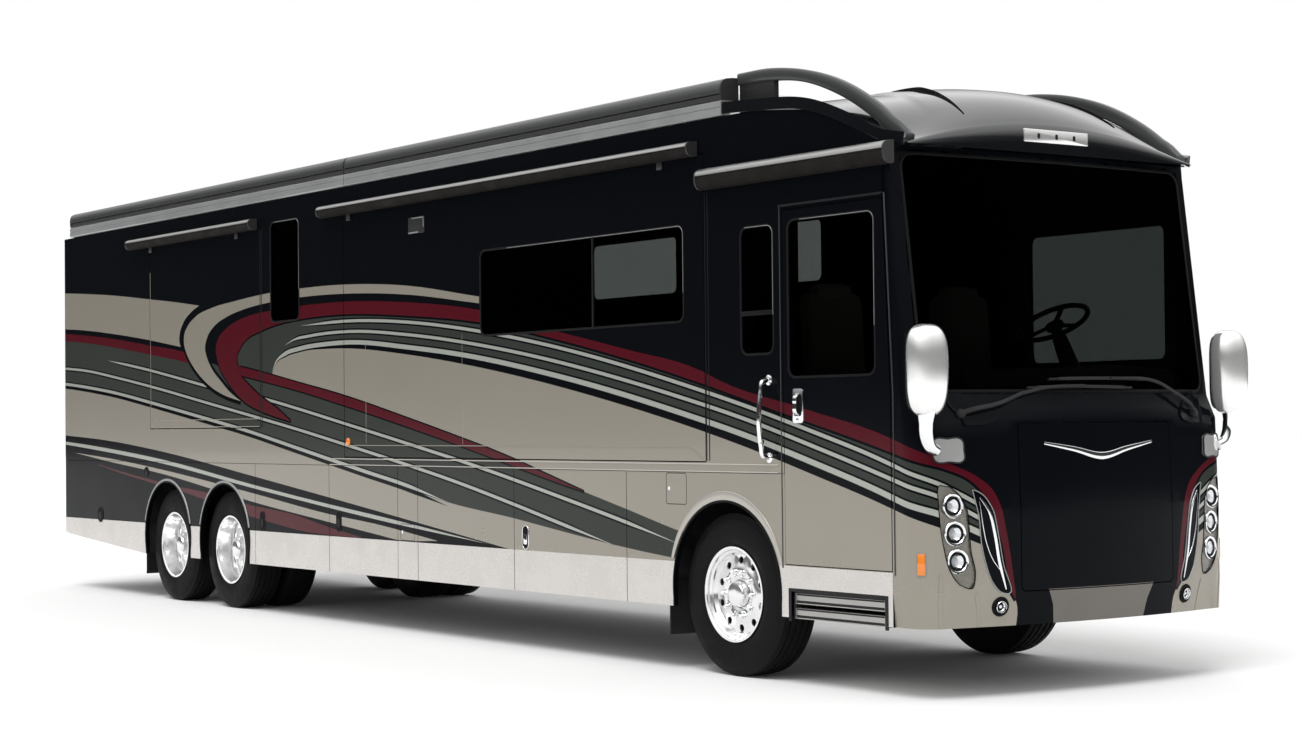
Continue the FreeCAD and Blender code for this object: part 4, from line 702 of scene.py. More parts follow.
def cut_sheet(borders, bands, guides=()):
    """Triangles of the area inside the borders, cut along every band edge and guide line.

    borders: (starts, ends) of the edges of the area; bands: closed outlines in painter's order.
    Returns points, triangles and, for each triangle, the last band that holds it, or -1."""
    low, high = borders[0].min(0) - 0.02, borders[0].max(0) + 0.02
    near = []
    for outline in bands:
        start, end = loop_edges(outline)
        hit = ((np.minimum(start, end) < high) & (np.maximum(start, end) > low)).all(1)
        near.append((start[hit], end[hit]))
    for start, end in guides:
        near.append((np.atleast_2d(start), np.atleast_2d(end)))
    starts = np.vstack([borders[0]] + [one[0] for one in near if len(one[0])])
    ends = np.vstack([borders[1]] + [one[1] for one in near if len(one[0])])
    both_ends = np.round(np.vstack([starts, ends]), 5)
    points, number = np.unique(both_ends, axis=0, return_inverse=True)
    number = number.reshape(2, -1).T
    number = number[number[:, 0] != number[:, 1]]
    out = delaunay_2d_cdt([Vector(p) for p in points.tolist()], number.tolist(), [], 0, 1e-5)
    points = np.array([tuple(p) for p in out[0]])
    triangles = np.array(out[2])
    corner = points[triangles]
    area = ((corner[:, 1, 0] - corner[:, 0, 0]) * (corner[:, 2, 1] - corner[:, 0, 1])
            - (corner[:, 2, 0] - corner[:, 0, 0]) * (corner[:, 1, 1] - corner[:, 0, 1]))
    middle = corner.mean(1)
    kept = crossings(middle, *borders) & (np.abs(area) > 1e-10)
    triangles, middle, area = triangles[kept], middle[kept], area[kept]
    triangles[area < 0] = triangles[area < 0][:, ::-1]
    band = np.full(len(triangles), -1)
    for index, outline in enumerate(bands):
        band[crossings(middle, *loop_edges(outline))] = index
    used, triangles = np.unique(triangles, return_inverse=True)
    return points[used], triangles.reshape(-1, 3), band


def thick_sheet(points, triangles, surface, thickness, marks):
    """Closed shell from a cut sheet: surface(u, v) gives the outer side and its outward normal,
    the inner side lies thickness behind it, and a rim joins them. Also gives corner normals."""
    outer, normal = surface(points[:, 0], points[:, 1])
    inner = outer - normal * thickness
    count = len(points)
    facing = np.cross(outer[triangles[:, 1]] - outer[triangles[:, 0]],
                      outer[triangles[:, 2]] - outer[triangles[:, 0]])
    wrong = (facing * normal[triangles[:, 0]]).sum(1) < 0
    triangles = np.where(wrong[:, None], triangles[:, ::-1], triangles)
    side = np.concatenate([triangles[:, [0, 1]], triangles[:, [1, 2]], triangles[:, [2, 0]]])
    key = np.sort(side, 1)
    _, first, seen = np.unique(key, axis=0, return_index=True, return_counts=True)
    rim = side[first[seen == 1]]
    rim_mark = np.tile(marks, 3)[first[seen == 1]]
    rim_faces = np.stack([rim[:, 1], rim[:, 0], rim[:, 0] + count, rim[:, 1] + count], -1)
    faces = (triangles.tolist() + (triangles[:, ::-1] + count).tolist() + rim_faces.tolist())
    marks = list(marks) + list(marks) + list(rim_mark)
    where = np.vstack([outer, inner])
    rim_normal = np.cross(where[rim_faces[:, 1]] - where[rim_faces[:, 0]],
                          where[rim_faces[:, 3]] - where[rim_faces[:, 0]])
    rim_normal /= np.maximum(np.linalg.norm(rim_normal, axis=1), 1e-12)[:, None]
    corners = np.vstack([normal[triangles].reshape(-1, 3),
                         -normal[triangles[:, ::-1]].reshape(-1, 3),
                         np.repeat(rim_normal, 4, axis=0)])
    return (where, faces, marks), corners


def plane_borders(node, level):
    """Edges, in (X, Z), round the part of a node's mesh that lies in the plane Y = level: the
    sides that only one of its triangles has."""
    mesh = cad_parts[node].data
    mesh.calc_loop_triangles()
    place = np.empty(len(mesh.vertices) * 3)
    mesh.vertices.foreach_get("co", place)
    corner = np.empty(len(mesh.loop_triangles) * 3, np.int32)
    mesh.loop_triangles.foreach_get("vertices", corner)
    corner = place.reshape(-1, 3)[corner.reshape(-1, 3)]
    flat = (np.abs(corner[:, :, 1] - level) < 5e-4).all(1)
    points, number = np.unique(np.round(corner[flat][:, :, [0, 2]].reshape(-1, 2), 5), axis=0,
                               return_inverse=True)
    number = number.reshape(-1, 3)
    side = np.sort(np.concatenate([number[:, [0, 1]], number[:, [1, 2]], number[:, [2, 0]]]), 1)
    edges, seen = np.unique(side, axis=0, return_counts=True)
    edges = edges[(seen == 1) & (edges[:, 0] != edges[:, 1])]
    return points[edges[:, 0]], points[edges[:, 1]]


def band_marks(band, names, ground):
    """Finish numbers of a cut sheet's triangles, and the finishes that they number."""
    order = [ground] + sorted(set(names) - {ground})
    table = np.array([order.index(name) for name in names] + [0])
    return table[band], order


def side_skin(node, body, level, name):
    """Painted skin of a flat side panel, a film's thickness outside it."""
    sizes = bpy.context.scene.motorhome_sizes
    names, outlines = zip(*design())
    names, outlines = list(names), list(outlines)
    front_low = np.array([(5.0, 0.2), (6.36, 0.2), (6.36, 0.735), (5.0, 0.735)])
    strip = np.array([(-6.6, 0.2), (4.4, 0.2), (4.4, STRIP_TOP), (-6.6, STRIP_TOP)])
    for outline in (strip, front_low):
        names.append("polished_trim")
        outlines.append(outline)
    borders = plane_borders(node, level)
    points, triangles, band = cut_sheet(borders, outlines)
    out = math.copysign(1, level)

    def surface(along, height):
        place = np.stack([along, np.full_like(along, level + out * (sizes.film_gap
                          + sizes.film)), height], -1)
        return place, np.broadcast_to((0.0, out, 0.0), place.shape).copy()

    marks, order = band_marks(band, names, "body_black")
    shape, _ = thick_sheet(points, triangles, surface, sizes.film, marks)
    return piece(name, shape, body, order, smooth=0, turn=False)


# level of the nose: height; half width; X where side and corner end; corner's Y; X of the tip
NOSE_LEVELS = np.array([
    (0.420, 1.270, 6.470, 6.600, 1.085, 6.712), (0.620, 1.285, 6.400, 6.628, 1.080, 6.750),
    (1.100, 1.285, 6.400, 6.625, 1.085, 6.750), (1.620, 1.285, 6.395, 6.590, 1.110, 6.735),
    (1.760, 1.285, 6.375, 6.455, 1.235, 6.695), (3.235, 1.262, 6.225, 6.275, 1.222, 6.335)])
NOSE_BREAKS = (6.316, 6.40, 6.73, CENTRE)


def arc_point(first, middle, last, share):
    """Point at a share of the angle along the circle's arc through three points of a plane."""
    ax, ay, bx, by, cx, cy = (*first, *middle, *last)
    double = 2 * (ax * (by - cy) + bx * (cy - ay) + cx * (ay - by))
    aa, bb, cc = ax * ax + ay * ay, bx * bx + by * by, cx * cx + cy * cy
    ux = (aa * (by - cy) + bb * (cy - ay) + cc * (ay - by)) / double
    uy = (aa * (cx - bx) + bb * (ax - cx) + cc * (bx - ax)) / double
    start, turn = np.arctan2(ay - uy, ax - ux), np.arctan2(cy - uy, cx - ux)
    turn = (turn - start + math.pi) % TAU - math.pi
    radius = np.hypot(ax - ux, ay - uy)
    return ux + radius * np.cos(start + turn * share), uy + radius * np.sin(start + turn * share)


# height and X of the cap's straight edge on the side
PILLAR_EDGE = np.array([(0.42, 6.316), (1.76, 6.316), (2.92, 6.2565), (3.235, 6.220)])


def nose_place(along, height):
    """Nose surface: at each height the plan's side, corner arc and front arc, with the plan's
    measures running straight from level to level; past the middle it mirrors."""
    along, height = np.asarray(along, float), np.asarray(height, float)
    other = along > CENTRE
    run = np.where(other, 2 * CENTRE - along, along)
    half, side_x, corner_x, corner_y, tip = (
        np.interp(height, NOSE_LEVELS[:, 0], NOSE_LEVELS[:, k]) for k in range(1, 6))
    start, knee, brow, middle = NOSE_BREAKS
    edge = np.interp(height, PILLAR_EDGE[:, 0], PILLAR_EDGE[:, 1])
    straight = edge + (run - start) / (knee - start) * (side_x - edge)
    mid_x, mid_y = (side_x + corner_x) / 2, -(half + corner_y) / 2
    bulge = (mid_x + 0.414 * (corner_x - mid_x), mid_y + 0.414 * (-half - mid_y))
    corner = arc_point((side_x, -half), bulge, (corner_x, -corner_y),
                       np.clip((run - knee) / (brow - knee), 0, 1))
    front = arc_point((corner_x, -corner_y), (tip, 0 * tip), (corner_x, corner_y),
                      np.clip((run - brow) / (middle - brow), 0, 1) / 2)
    x = np.where(run <= knee, straight, np.where(run <= brow, corner[0], front[0]))
    y = np.where(run <= knee, -half, np.where(run <= brow, corner[1], front[1]))
    return np.stack([x, np.where(other, -y, y), height], -1)


def with_normals(place):
    """Surface function that also gives the outward normal, from two small steps."""
    def surface(along, height):
        step = 1e-3
        here = place(along, height)
        run = place(along + step, height) - place(along - step, height)
        rise = place(along, height + step) - place(along, height - step)
        normal = np.cross(run, rise)
        normal /= np.linalg.norm(normal, axis=-1)[..., None]
        return here, normal
    return surface


nose_surface = with_normals(nose_place)


def lifted(surface, lift):
    """The surface moved outwards along its normals."""
    def raised(along, height):
        here, normal = surface(along, height)
        return here + normal * lift, normal
    return raised


def nose_along(side_y, height):
    """Along, on the near half, of the nose's point at that distance from the middle."""
    run = np.linspace(NOSE_BREAKS[0], CENTRE, 900)
    side_y, height = np.atleast_1d(side_y), np.atleast_1d(height)
    out = []
    for y, z in zip(side_y, height):
        found = nose_place(run, np.full_like(run, z))[:, 1]
        out.append(np.interp(-abs(y), found, run))
    return np.array(out)


def nose_frame(half, low, top, radius, steps=6):
    """Closed outline, in (along, height), of the rounded frame |Y| <= half on the nose."""
    turn = np.linspace(0, math.pi / 2, steps + 1)
    lift = np.linspace(low + radius, top - radius, 9)
    across = np.linspace(-(half - radius), half - radius, 13)
    quarter = [(half - radius + radius * math.cos(a), top - radius + radius * math.sin(a))
               for a in turn]
    ring = [(half, z) for z in lift[:-1]] + quarter
    ring += [(y, top) for y in across[::-1][1:-1]]
    ring += [(-y, z) for y, z in quarter[::-1]] + [(-half, z) for z in lift[::-1][1:-1]]
    ring += [(-y, low + top - z) for y, z in quarter]
    ring += [(y, low) for y in across[1:-1]]
    ring += [(y, low + top - z) for y, z in quarter[::-1]]
    ring = np.array(ring)
    run = nose_along(ring[:, 0], ring[:, 1])
    run = np.where(ring[:, 0] > 0, 2 * CENTRE - run, run)
    return np.stack([run, ring[:, 1]], -1)


def mirrored_bands(bands, centre):
    """The bands and their mirror images about a line across the design."""
    return list(bands) + [(name, (outline * (-1, 1) + (2 * centre, 0))[::-1])
                          for name, outline in bands]


def guide_lines(stations, low, high):
    return [((s, low), (s, high)) for s in stations]


def level_lines(levels, low, high):
    return [((low, z), (high, z)) for z in levels]


HOUSING = [(6.65, 1.245), (6.635, 1.13), (6.64, 1.02), (6.66, 0.88), (6.70, 0.74),
           (6.76, 0.67), (6.84, 0.65), (6.86, 0.72), (6.835, 0.86), (6.825, 1.00),
           (6.815, 1.10), (6.77, 1.19), (6.71, 1.235)]
BOOMERANG = [(6.86, 1.215), (6.92, 1.190), (6.98, 1.110), (7.02, 0.950), (7.05, 0.780),
             (7.09, 0.610), (7.03, 0.620), (6.98, 0.670), (6.93, 0.790), (6.905, 0.900),
             (6.89, 1.070)]
BUMPER_PLATE = [(7.375, 0.625), (7.42, 0.53), (7.44, 0.42), (7.44, 0.38), (8.19, 0.38),
                (8.19, 0.42), (8.21, 0.53), (8.255, 0.625)]


def closed_line(points, per=5):
    """Smooth closed outline through points."""
    points = np.asarray(points, float)
    line = smooth_line(np.vstack([points[-2:], points, points[:2]]), per)
    return line[2 * per:-2 * per]


def nose_bands():
    """Bands on the nose, both halves, in painter's order."""
    bands = [("body_black", np.array([(6.2, 0.2), (9.5, 0.2), (9.5, 3.6), (6.2, 3.6)]))]
    bands += mirrored_bands(design(), CENTRE)
    bands += mirrored_bands([("body_black", closed_line(BOOMERANG))], CENTRE)
    bands.append(("bumper_metal", np.array(BUMPER_PLATE)))
    return bands


def painted_shell(surface, borders, guides, bands, name, body, thickness, replaced):
    """Painted shell on a surface inside the borders, in place of a frame node."""
    names, outlines = zip(*bands)
    points, triangles, band = cut_sheet(borders, outlines, guides)
    marks, order = band_marks(band, names, "body_black")
    shape, corners = thick_sheet(points, triangles, surface, thickness, marks)
    made = piece(name, shape, body, order, smooth=0, turn=False)
    made.data.polygons.foreach_set("use_smooth", np.ones(len(made.data.polygons), bool))
    made.data.normals_split_custom_set(corners)
    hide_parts(replaced)


def nose_sheet(borders, name, body, thickness, replaced, bands):
    """Painted shell on the nose inside the borders, in place of a frame node."""
    stations = np.concatenate([np.linspace(6.40, 6.73, 12), np.linspace(6.73, CENTRE, 12)])
    stations = np.unique(np.round(np.concatenate([stations, 2 * CENTRE - stations]), 4))
    levels = [0.52, 0.62, 0.74, 0.86, 0.98, 1.10, 1.23, 1.36, 1.49, 1.62, 1.69, 1.76, 2.1, 2.5,
              2.9]
    guides = guide_lines(stations, 0.40, 3.25) + level_lines(levels, 6.2, 9.4)
    painted_shell(nose_surface, borders, guides, bands, name, body, thickness, replaced)


def loops(*outlines):
    """Border edges of several closed outlines."""
    pairs = [loop_edges(np.asarray(outline, float)) for outline in outlines]
    return np.vstack([one[0] for one in pairs]), np.vstack([one[1] for one in pairs])


def crown(side_y):
    """Height of the roof's arc at a distance from the middle."""
    radius = (HALF ** 2 + 0.13 ** 2) / 0.26
    return 3.70 - radius + np.sqrt(radius ** 2 - np.minimum(np.abs(side_y), HALF) ** 2)


def tail_place(along, height):
    """Tail surface: side, corner arc and slightly bowed back, the same at every height."""
    along, height = np.asarray(along, float), np.asarray(height, float)
    other = along < TAIL_CENTRE
    run = np.where(other, 2 * TAIL_CENTRE - along, along)
    side_end, corner_y = TAIL + 0.175, HALF - 0.130
    knee, back = side_end, -6.79
    unit = np.ones_like(run)
    corner = arc_point((side_end * unit, -HALF * unit),
                       ((side_end - 0.0919) * unit, -(HALF - 0.038) * unit),
                       ((TAIL + 0.045) * unit, -corner_y * unit),
                       np.clip((knee - run) / (knee - back), 0, 1))
    bow = arc_point(((TAIL + 0.045) * unit, -corner_y * unit), (TAIL * unit, 0 * unit),
                    ((TAIL + 0.045) * unit, corner_y * unit),
                    np.clip((back - run) / (back - TAIL_CENTRE), 0, 1) / 2)
    x = np.where(run >= knee, run, np.where(run >= back, corner[0], bow[0]))
    y = np.where(run >= knee, -HALF, np.where(run >= back, corner[1], bow[1]))
    return np.stack([x, np.where(other, -y, y), height], -1)


tail_surface = with_normals(tail_place)


def tail_frame(half, low, top, radius):
    """Closed outline, in (along, height), of a rounded frame |Y| <= half on the tail."""
    outline = rectangle(2 * half, top - low, radius, 5)
    dense = np.vstack([np.linspace(outline[i - 1], outline[i], 12, endpoint=False)
                       if np.hypot(*(outline[i] - outline[i - 1])) > 0.2
                       else outline[i - 1:i] for i in range(len(outline))])
    share = dense[:, 0] / (HALF - 0.130)
    return np.stack([TAIL_CENTRE - share * (-6.79 - TAIL_CENTRE) * -1,
                     dense[:, 1] + (low + top) / 2], -1)


def closed_grid(outer, normal, thickness):
    """Closed shell from a grid of points: the grid, a copy thickness behind it, and a rim."""
    rows, columns = outer.shape[:2]
    inner = outer - normal * thickness
    count = rows * columns
    front = quads(rows, columns)
    faces = front + [[number + count for number in face[::-1]] for face in front]
    top = np.arange(columns)
    left = np.arange(rows) * columns
    edge = np.concatenate([top, left[1:] + columns - 1, top[::-1][1:] + (rows - 1) * columns,
                           left[::-1][1:-1]])
    after = np.roll(edge, -1)
    faces += np.stack([after, edge, edge + count, after + count], -1).tolist()
    return np.vstack([outer.reshape(-1, 3), inner.reshape(-1, 3)]), faces


def on_nose(points, lift=0.0):
    """Points (along, height) placed on the nose, lifted outwards."""
    points = np.asarray(points, float)
    here, normal = nose_surface(points[:, 0], points[:, 1])
    return here + normal * np.reshape(lift, (-1, 1)), normal


# ---------------------------------------------------------------- wheels
FRONT_X, DRIVE_X, TAG_X = 4.703, -2.770, -3.990
TYRE_RADIUS = 0.522


def tyre_shape(middle, side, width, depth, around=216):
    """Tyre: a closed section turned about the axle; in the tread, grooves run round it and
    cross-cuts at the shoulders follow a wave of the angle."""
    half = width / 2
    wall = smooth_line([(-half + 0.030, 0.292), (-half + 0.006, 0.330), (-half, 0.385),
                        (-half + 0.004, 0.440), (-half + 0.016, 0.482), (-half + 0.026, 0.503)],
                       5)
    tread = np.linspace(-half + 0.030, half - 0.030, 57)
    arch = TYRE_RADIUS - 4e-5 - 0.012 * (np.abs(tread) / half) ** 3
    section = np.vstack([wall, np.stack([tread, arch], -1), wall[::-1] * (-1, 1),
                         [(half - 0.040, 0.286), (0, 0.300), (-half + 0.040, 0.286)]])
    angle = np.arange(around) * TAU / around
    across = section[:, 0]
    is_tread = np.zeros(len(section), bool)
    is_tread[len(wall):len(wall) + len(tread)] = True
    lanes = np.zeros(len(section), bool)
    for lane in (-0.072, -0.026, 0.026, 0.072):
        lanes |= np.abs(across - lane) < 0.0052
    lanes &= is_tread
    wave = np.sin(angle[:, None] * 54 + np.sign(across)[None] * 0.8)
    sipe = (wave > 0.72) & (np.abs(across)[None] > 0.080) & is_tread[None]
    middle_cut = (np.sin(angle[:, None] * 54 + across[None] * 60) > 0.86) & (
        np.abs(across)[None] < 0.066) & is_tread[None]
    radius = section[None, :, 1] - depth * lanes[None] - depth * 0.75 * sipe * ~lanes[None] \
        - depth * 0.4 * middle_cut * ~lanes[None]
    rib = 0.0022 * (np.sin(section[:, 1] * 260) > 0.6) * (~is_tread) * (section[:, 1] > 0.32)
    place = np.stack([middle[0] + radius * np.cos(angle)[:, None],
                      np.broadcast_to(middle[1] + side * (across + np.sign(across) * -rib),
                                      radius.shape),
                      middle[2] + radius * np.sin(angle)[:, None]], -1)
    count = len(section)
    faces = quads(around, count, True)
    last = (around - 1) * count
    faces += [[last + i, last + (i + 1) % count, (i + 1) % count, i] for i in range(count)]
    return place.reshape(-1, 3), faces


def disc_shape(middle, side, profile, holes, hole_radius, hole_at, thickness, outer):
    """Wheel disc: a flat ring cut by round hand holes, pushed to the profile's depth at each
    radius, and given a wall."""
    rings = [circle(radius, 72) for radius in profile[1:-1, 0]]
    rings = [ring for ring in rings
             if abs(np.hypot(*ring[0]) - hole_at) > hole_radius + 0.002]
    spots = [circle(hole_radius, 20) + (hole_at * math.cos(a), hole_at * math.sin(a))
             for a in (np.arange(holes) + 0.5) * TAU / holes]
    borders = loops(circle(outer, 96), circle(profile[0, 0], 48), *spots)
    guides = [loop_edges(ring) for ring in rings]
    points, triangles, _ = cut_sheet(borders, [], guides)

    def depth_at(radius):
        return np.interp(radius, profile[:, 0], profile[:, 1])

    def surface(u, v):
        radius = np.hypot(u, v)
        slope = (depth_at(radius + 1e-3) - depth_at(radius - 1e-3)) / 2e-3
        place = np.stack([middle[0] + u, middle[1] + side * depth_at(radius), middle[2] + v], -1)
        normal = np.stack([-slope * u / radius, np.full_like(u, side), -slope * v / radius], -1)
        return place, normal / np.linalg.norm(normal, axis=1)[:, None]
    return thick_sheet(points, triangles, surface, thickness, [0] * len(triangles))[0]


def nut_ring(middle, side, count, radius, depth, size, height):
    """Wheel nuts: twelve-sided caps with rounded tops, on washers, in a ring."""
    nuts = []
    for angle in (np.arange(count)) * TAU / count:
        spot = (middle[0] + radius * math.cos(angle), middle[1] + side * depth,
                middle[2] + radius * math.sin(angle))
        profile = [(-0.004, 0.0), (-0.004, size * 1.35), (0.003, size * 1.35), (0.004, size),
                   (height * 0.75, size), (height, size * 0.6), (height, 0.0)]
        nuts.append(turned(profile, spot, (0, side, 0), 12))
    return joined(*nuts)


def barrel_shape(middle, side, low, high, lip):
    """Rim barrel: flange, drop centre and back flange turned about the axle; closed section."""
    profile = [(high, 0.305), (high, 0.290), (high - 0.006, 0.284), (high - 0.02, 0.281),
               (high - lip, 0.268), ((low + high) / 2, 0.258), (low + 0.03, 0.278),
               (low, 0.284), (low, 0.305), (low + 0.004, 0.305), (low + 0.006, 0.288),
               ((low + high) / 2, 0.268), (high - 0.012, 0.288), (high - 0.006, 0.302)]
    return turned(profile, middle, (0, side, 0), 96, closed=True)


def hub_shape(middle, side, start, end, radius):
    """Domed hub cover with a stepped collar."""
    profile = [(start, 0.0), (start, radius * 1.12), (start + 0.010, radius * 1.12),
               (start + 0.014, radius), (end - 0.022, radius * 0.97),
               (end - 0.008, radius * 0.86), (end - 0.002, radius * 0.62),
               (end - 0.001, radius * 0.30), (end, 0.0)]
    return turned(profile, middle, (0, side, 0), 48)


def drum_shade_ring(middle, side, level):
    """Ring behind the hand holes: the brake drum's edge, a real part, whose near-black is painted
    shade that keeps the holes dark.
    """
    profile = [(level, 0.170), (level, 0.246), (level - 0.05, 0.250), (level - 0.05, 0.170)]
    return turned(profile, middle, (0, side, 0), 48, closed=True)


def front_wheel(x, side):
    """Polished convex wheel with ten hand holes, nuts and a hub cover, as one shape."""
    middle = (x, side * 1.085, TYRE_RADIUS)
    profile = np.array([(0.095, 0.080), (0.115, 0.090), (0.150, 0.094), (0.172, 0.092),
                        (0.186, 0.084), (0.196, 0.078), (0.216, 0.076), (0.240, 0.074),
                        (0.252, 0.076), (0.262, 0.090), (0.272, 0.110)])
    return joined(
        marked(disc_shape(middle, side, profile, 10, 0.0235, 0.2165, 0.010, 0.272), 0),
        marked(barrel_shape(middle, side, -0.140, 0.142, 0.03), 0),
        marked(nut_ring(middle, side, 10, 0.146, 0.094, 0.0165, 0.030), 1),
        marked(nut_ring(middle, side, 10, 0.120, 0.090, 0.0080, 0.016), 1),
        marked(drum_shade_ring(middle, side, 0.040), 2),
        marked(hub_shape(middle, side, 0.060, 0.138, 0.086), 0))


def deep_wheel(x, side, centre_y=1.085, nuts=True):
    """Deep-dish polished wheel: its disc far back, with hand holes and a long hub."""
    middle = (x, side * centre_y, TYRE_RADIUS)
    profile = np.array([(0.090, -0.030), (0.115, -0.026), (0.150, -0.024), (0.178, -0.028),
                        (0.200, -0.036), (0.222, -0.044), (0.240, -0.046), (0.252, -0.036),
                        (0.262, -0.010)])
    parts = [marked(disc_shape(middle, side, profile, 10, 0.0235, 0.2150, 0.010, 0.262), 0),
             marked(barrel_shape(middle, side, -0.140, 0.142, 0.10), 0),
             marked(drum_shade_ring(middle, side, -0.075), 2)]
    if nuts:
        parts += [marked(nut_ring(middle, side, 10, 0.140, -0.024, 0.0165, 0.038), 1),
                  marked(nut_ring(middle, side, 10, 0.112, -0.022, 0.0090, 0.050), 1),
                  marked(hub_shape(middle, side, -0.040, 0.108, 0.084), 0)]
    return joined(*parts)


LAMPS = ((6.728, 1.125), (6.735, 0.965), (6.748, 0.805))


# ---------------------------------------------------------------- operators
class MOTORHOME_OT_side_paint(bpy.types.Operator):
    """Painted skins of the flat sides, one on each panel, door and slide-out"""
    bl_idname = "motorhome.side_paint"
    bl_label = "Side paint"

    def execute(self, context):
        panels = [("right_wall", "coach", -1), ("lower_panels_right", "coach", -1),
                  ("left_wall", "coach", 1), ("lower_panels_left", "coach", 1),
                  ("entry_door", "entry_door", -1), ("slide_out_main", "slide_out_main", -1),
                  ("slide_out_bed", "slide_out_bed", -1),
                  ("slide_out_lounge", "slide_out_lounge", 1)]
        panels += [(f"bay_door_right_{n}", f"bay_door_right_{n}", -1) for n in range(1, 5)]
        panels += [(f"bay_door_left_{n}", f"bay_door_left_{n}", 1) for n in range(1, 3)]
        for node, body, side in panels:
            side_skin(node, body, side * HALF, f"paint_{node}")
        return {"FINISHED"}


class MOTORHOME_OT_nose(bpy.types.Operator):
    """Front cap and hood as painted shells on the nose surface"""
    bl_idname = "motorhome.nose"
    bl_label = "Nose"

    def execute(self, context):
        sizes = context.scene.motorhome_sizes
        bands = nose_bands()
        right = 2 * CENTRE - 6.3165
        lift = np.linspace(SKIRT, 3.234, 60)
        border = np.vstack([np.stack([np.linspace(6.3165, right, 120),
                                      np.full(120, SKIRT)], -1),
                            np.stack([np.full(58, right), lift[1:-1]], -1),
                            np.stack([np.linspace(right, 6.3165, 120), np.full(120, 3.234)], -1),
                            np.stack([np.full(58, 6.3165), lift[::-1][1:-1]], -1)])
        housing = closed_line(HOUSING)
        other = (housing * (-1, 1) + (2 * CENTRE, 0))[::-1]
        screen = nose_frame(1.172, 1.785, 3.190, 0.09)
        hood_hole = nose_frame(0.640, 0.615, 1.600, 0.035)
        nose_sheet(loops(border, housing, other, screen, hood_hole), "nose_shell", "coach",
                   sizes.shell, "front_cap", bands)
        nose_sheet(loops(nose_frame(0.634, 0.621, 1.594, 0.030)), "hood_shell", "front_hood",
                   sizes.shell, "front_hood", bands)
        return {"FINISHED"}


class MOTORHOME_OT_tail(bpy.types.Operator):
    """Rear cap and engine door as painted shells on the tail surface"""
    bl_idname = "motorhome.tail"
    bl_label = "Tail"

    def execute(self, context):
        sizes = context.scene.motorhome_sizes
        first, last, low = SEAM_BACK - 0.0004, 2 * TAIL_CENTRE - SEAM_BACK + 0.0004, 0.56
        run = np.linspace(first, last, 140)
        top = crown(tail_place(run, run * 0)[:, 1]) - 1e-4
        lift = np.linspace(low, 3.57, 50)[1:-1]
        border = np.vstack([np.stack([run, np.full(140, low)], -1),
                            np.stack([np.full(48, last), lift], -1),
                            np.stack([run[::-1], top[::-1]], -1),
                            np.stack([np.full(48, first), lift[::-1]], -1)])
        bands = design()
        bands.append(("polished_trim", np.array([(-6.5, 0.2), (-6.5, STRIP_TOP),
                                                 (-7.96, STRIP_TOP), (-7.96, 0.2)])))
        bands = mirrored_bands(bands, TAIL_CENTRE)
        stations = np.concatenate([np.linspace(-6.575, -6.79, 10), np.linspace(-6.79, -7.95, 10)])
        stations = np.unique(np.round(np.concatenate([stations, 2 * TAIL_CENTRE - stations]), 4))
        guides = guide_lines(stations, 0.5, 3.72) + level_lines(
            np.arange(0.8, 3.6, 0.35), -9.4, -6.5)
        for name, borders, body, node in (
                ("tail_shell", loops(border, tail_frame(0.800, 0.760, 1.760, 0.035)), "coach",
                 "rear_cap"),
                ("engine_door_shell", loops(tail_frame(0.794, 0.766, 1.754, 0.030),
                                            tail_frame(0.600, 0.955, 1.570, 0.030)),
                 "engine_door", "engine_door")):
            painted_shell(tail_surface, borders, guides, bands, name, body, sizes.shell, node)
        edge = tail_place(run, top)
        rows = np.stack([edge, np.stack([np.full(140, SEAM_BACK - 0.0004), edge[:, 1], top], -1)])
        slope = np.gradient(top, edge[:, 1] + np.arange(140) * 1e-9)
        normal = np.stack([np.zeros(140), -slope, np.ones(140)], -1)
        normal /= np.linalg.norm(normal, axis=1)[:, None]
        piece("tail_roof", closed_grid(rows, np.broadcast_to(normal, rows.shape), 0.02),
              "coach", ["roof_white"])
        return {"FINISHED"}


class MOTORHOME_OT_wheels(bpy.types.Operator):
    """Tyres with cut treads, and polished wheels, each riding its own wheel body"""
    bl_idname = "motorhome.wheels"
    bl_label = "Wheels"

    def execute(self, context):
        depth = context.scene.motorhome_sizes.tread
        for hand, side in (("right", -1), ("left", 1)):
            front = (FRONT_X, side * 1.085, TYRE_RADIUS)
            tag = (TAG_X, side * 1.085, TYRE_RADIUS)
            outer = (DRIVE_X, side * 1.085, TYRE_RADIUS)
            inner = (DRIVE_X, side * 0.740, TYRE_RADIUS)
            for name, body, node, shape in (
                    ("tyre_front", "front_wheel", "front_tyre", tyre_shape(front, side, 0.30,
                                                                           depth)),
                    ("tyre_tag", "tag_wheel", "tag_tyre", tyre_shape(tag, side, 0.30, depth)),
                    ("tyres_drive", "drive_wheels", "drive_tyres",
                     joined(tyre_shape(outer, side, 0.30, depth),
                            tyre_shape(inner, side, 0.30, depth)))):
                made = piece(f"{name}_{hand}", shape, f"{body}_{hand}", ["tyre_rubber"],
                             smooth=35)
                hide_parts(f"{node}_{hand}")
            for name, body, node, shape in (
                    ("wheel_front", "front_wheel", "front_rim", front_wheel(FRONT_X, side)),
                    ("wheel_tag", "tag_wheel", "tag_rim", deep_wheel(TAG_X, side)),
                    ("wheels_drive", "drive_wheels", "drive_rims",
                     joined(deep_wheel(DRIVE_X, side),
                            deep_wheel(DRIVE_X, -side, -0.740, False)))):
                made = piece(f"{name}_{hand}", shape, f"{body}_{hand}",
                             ["alloy", "chrome", "seal_black"], smooth=32)
                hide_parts(f"{node}_{hand}")
        return {"FINISHED"}


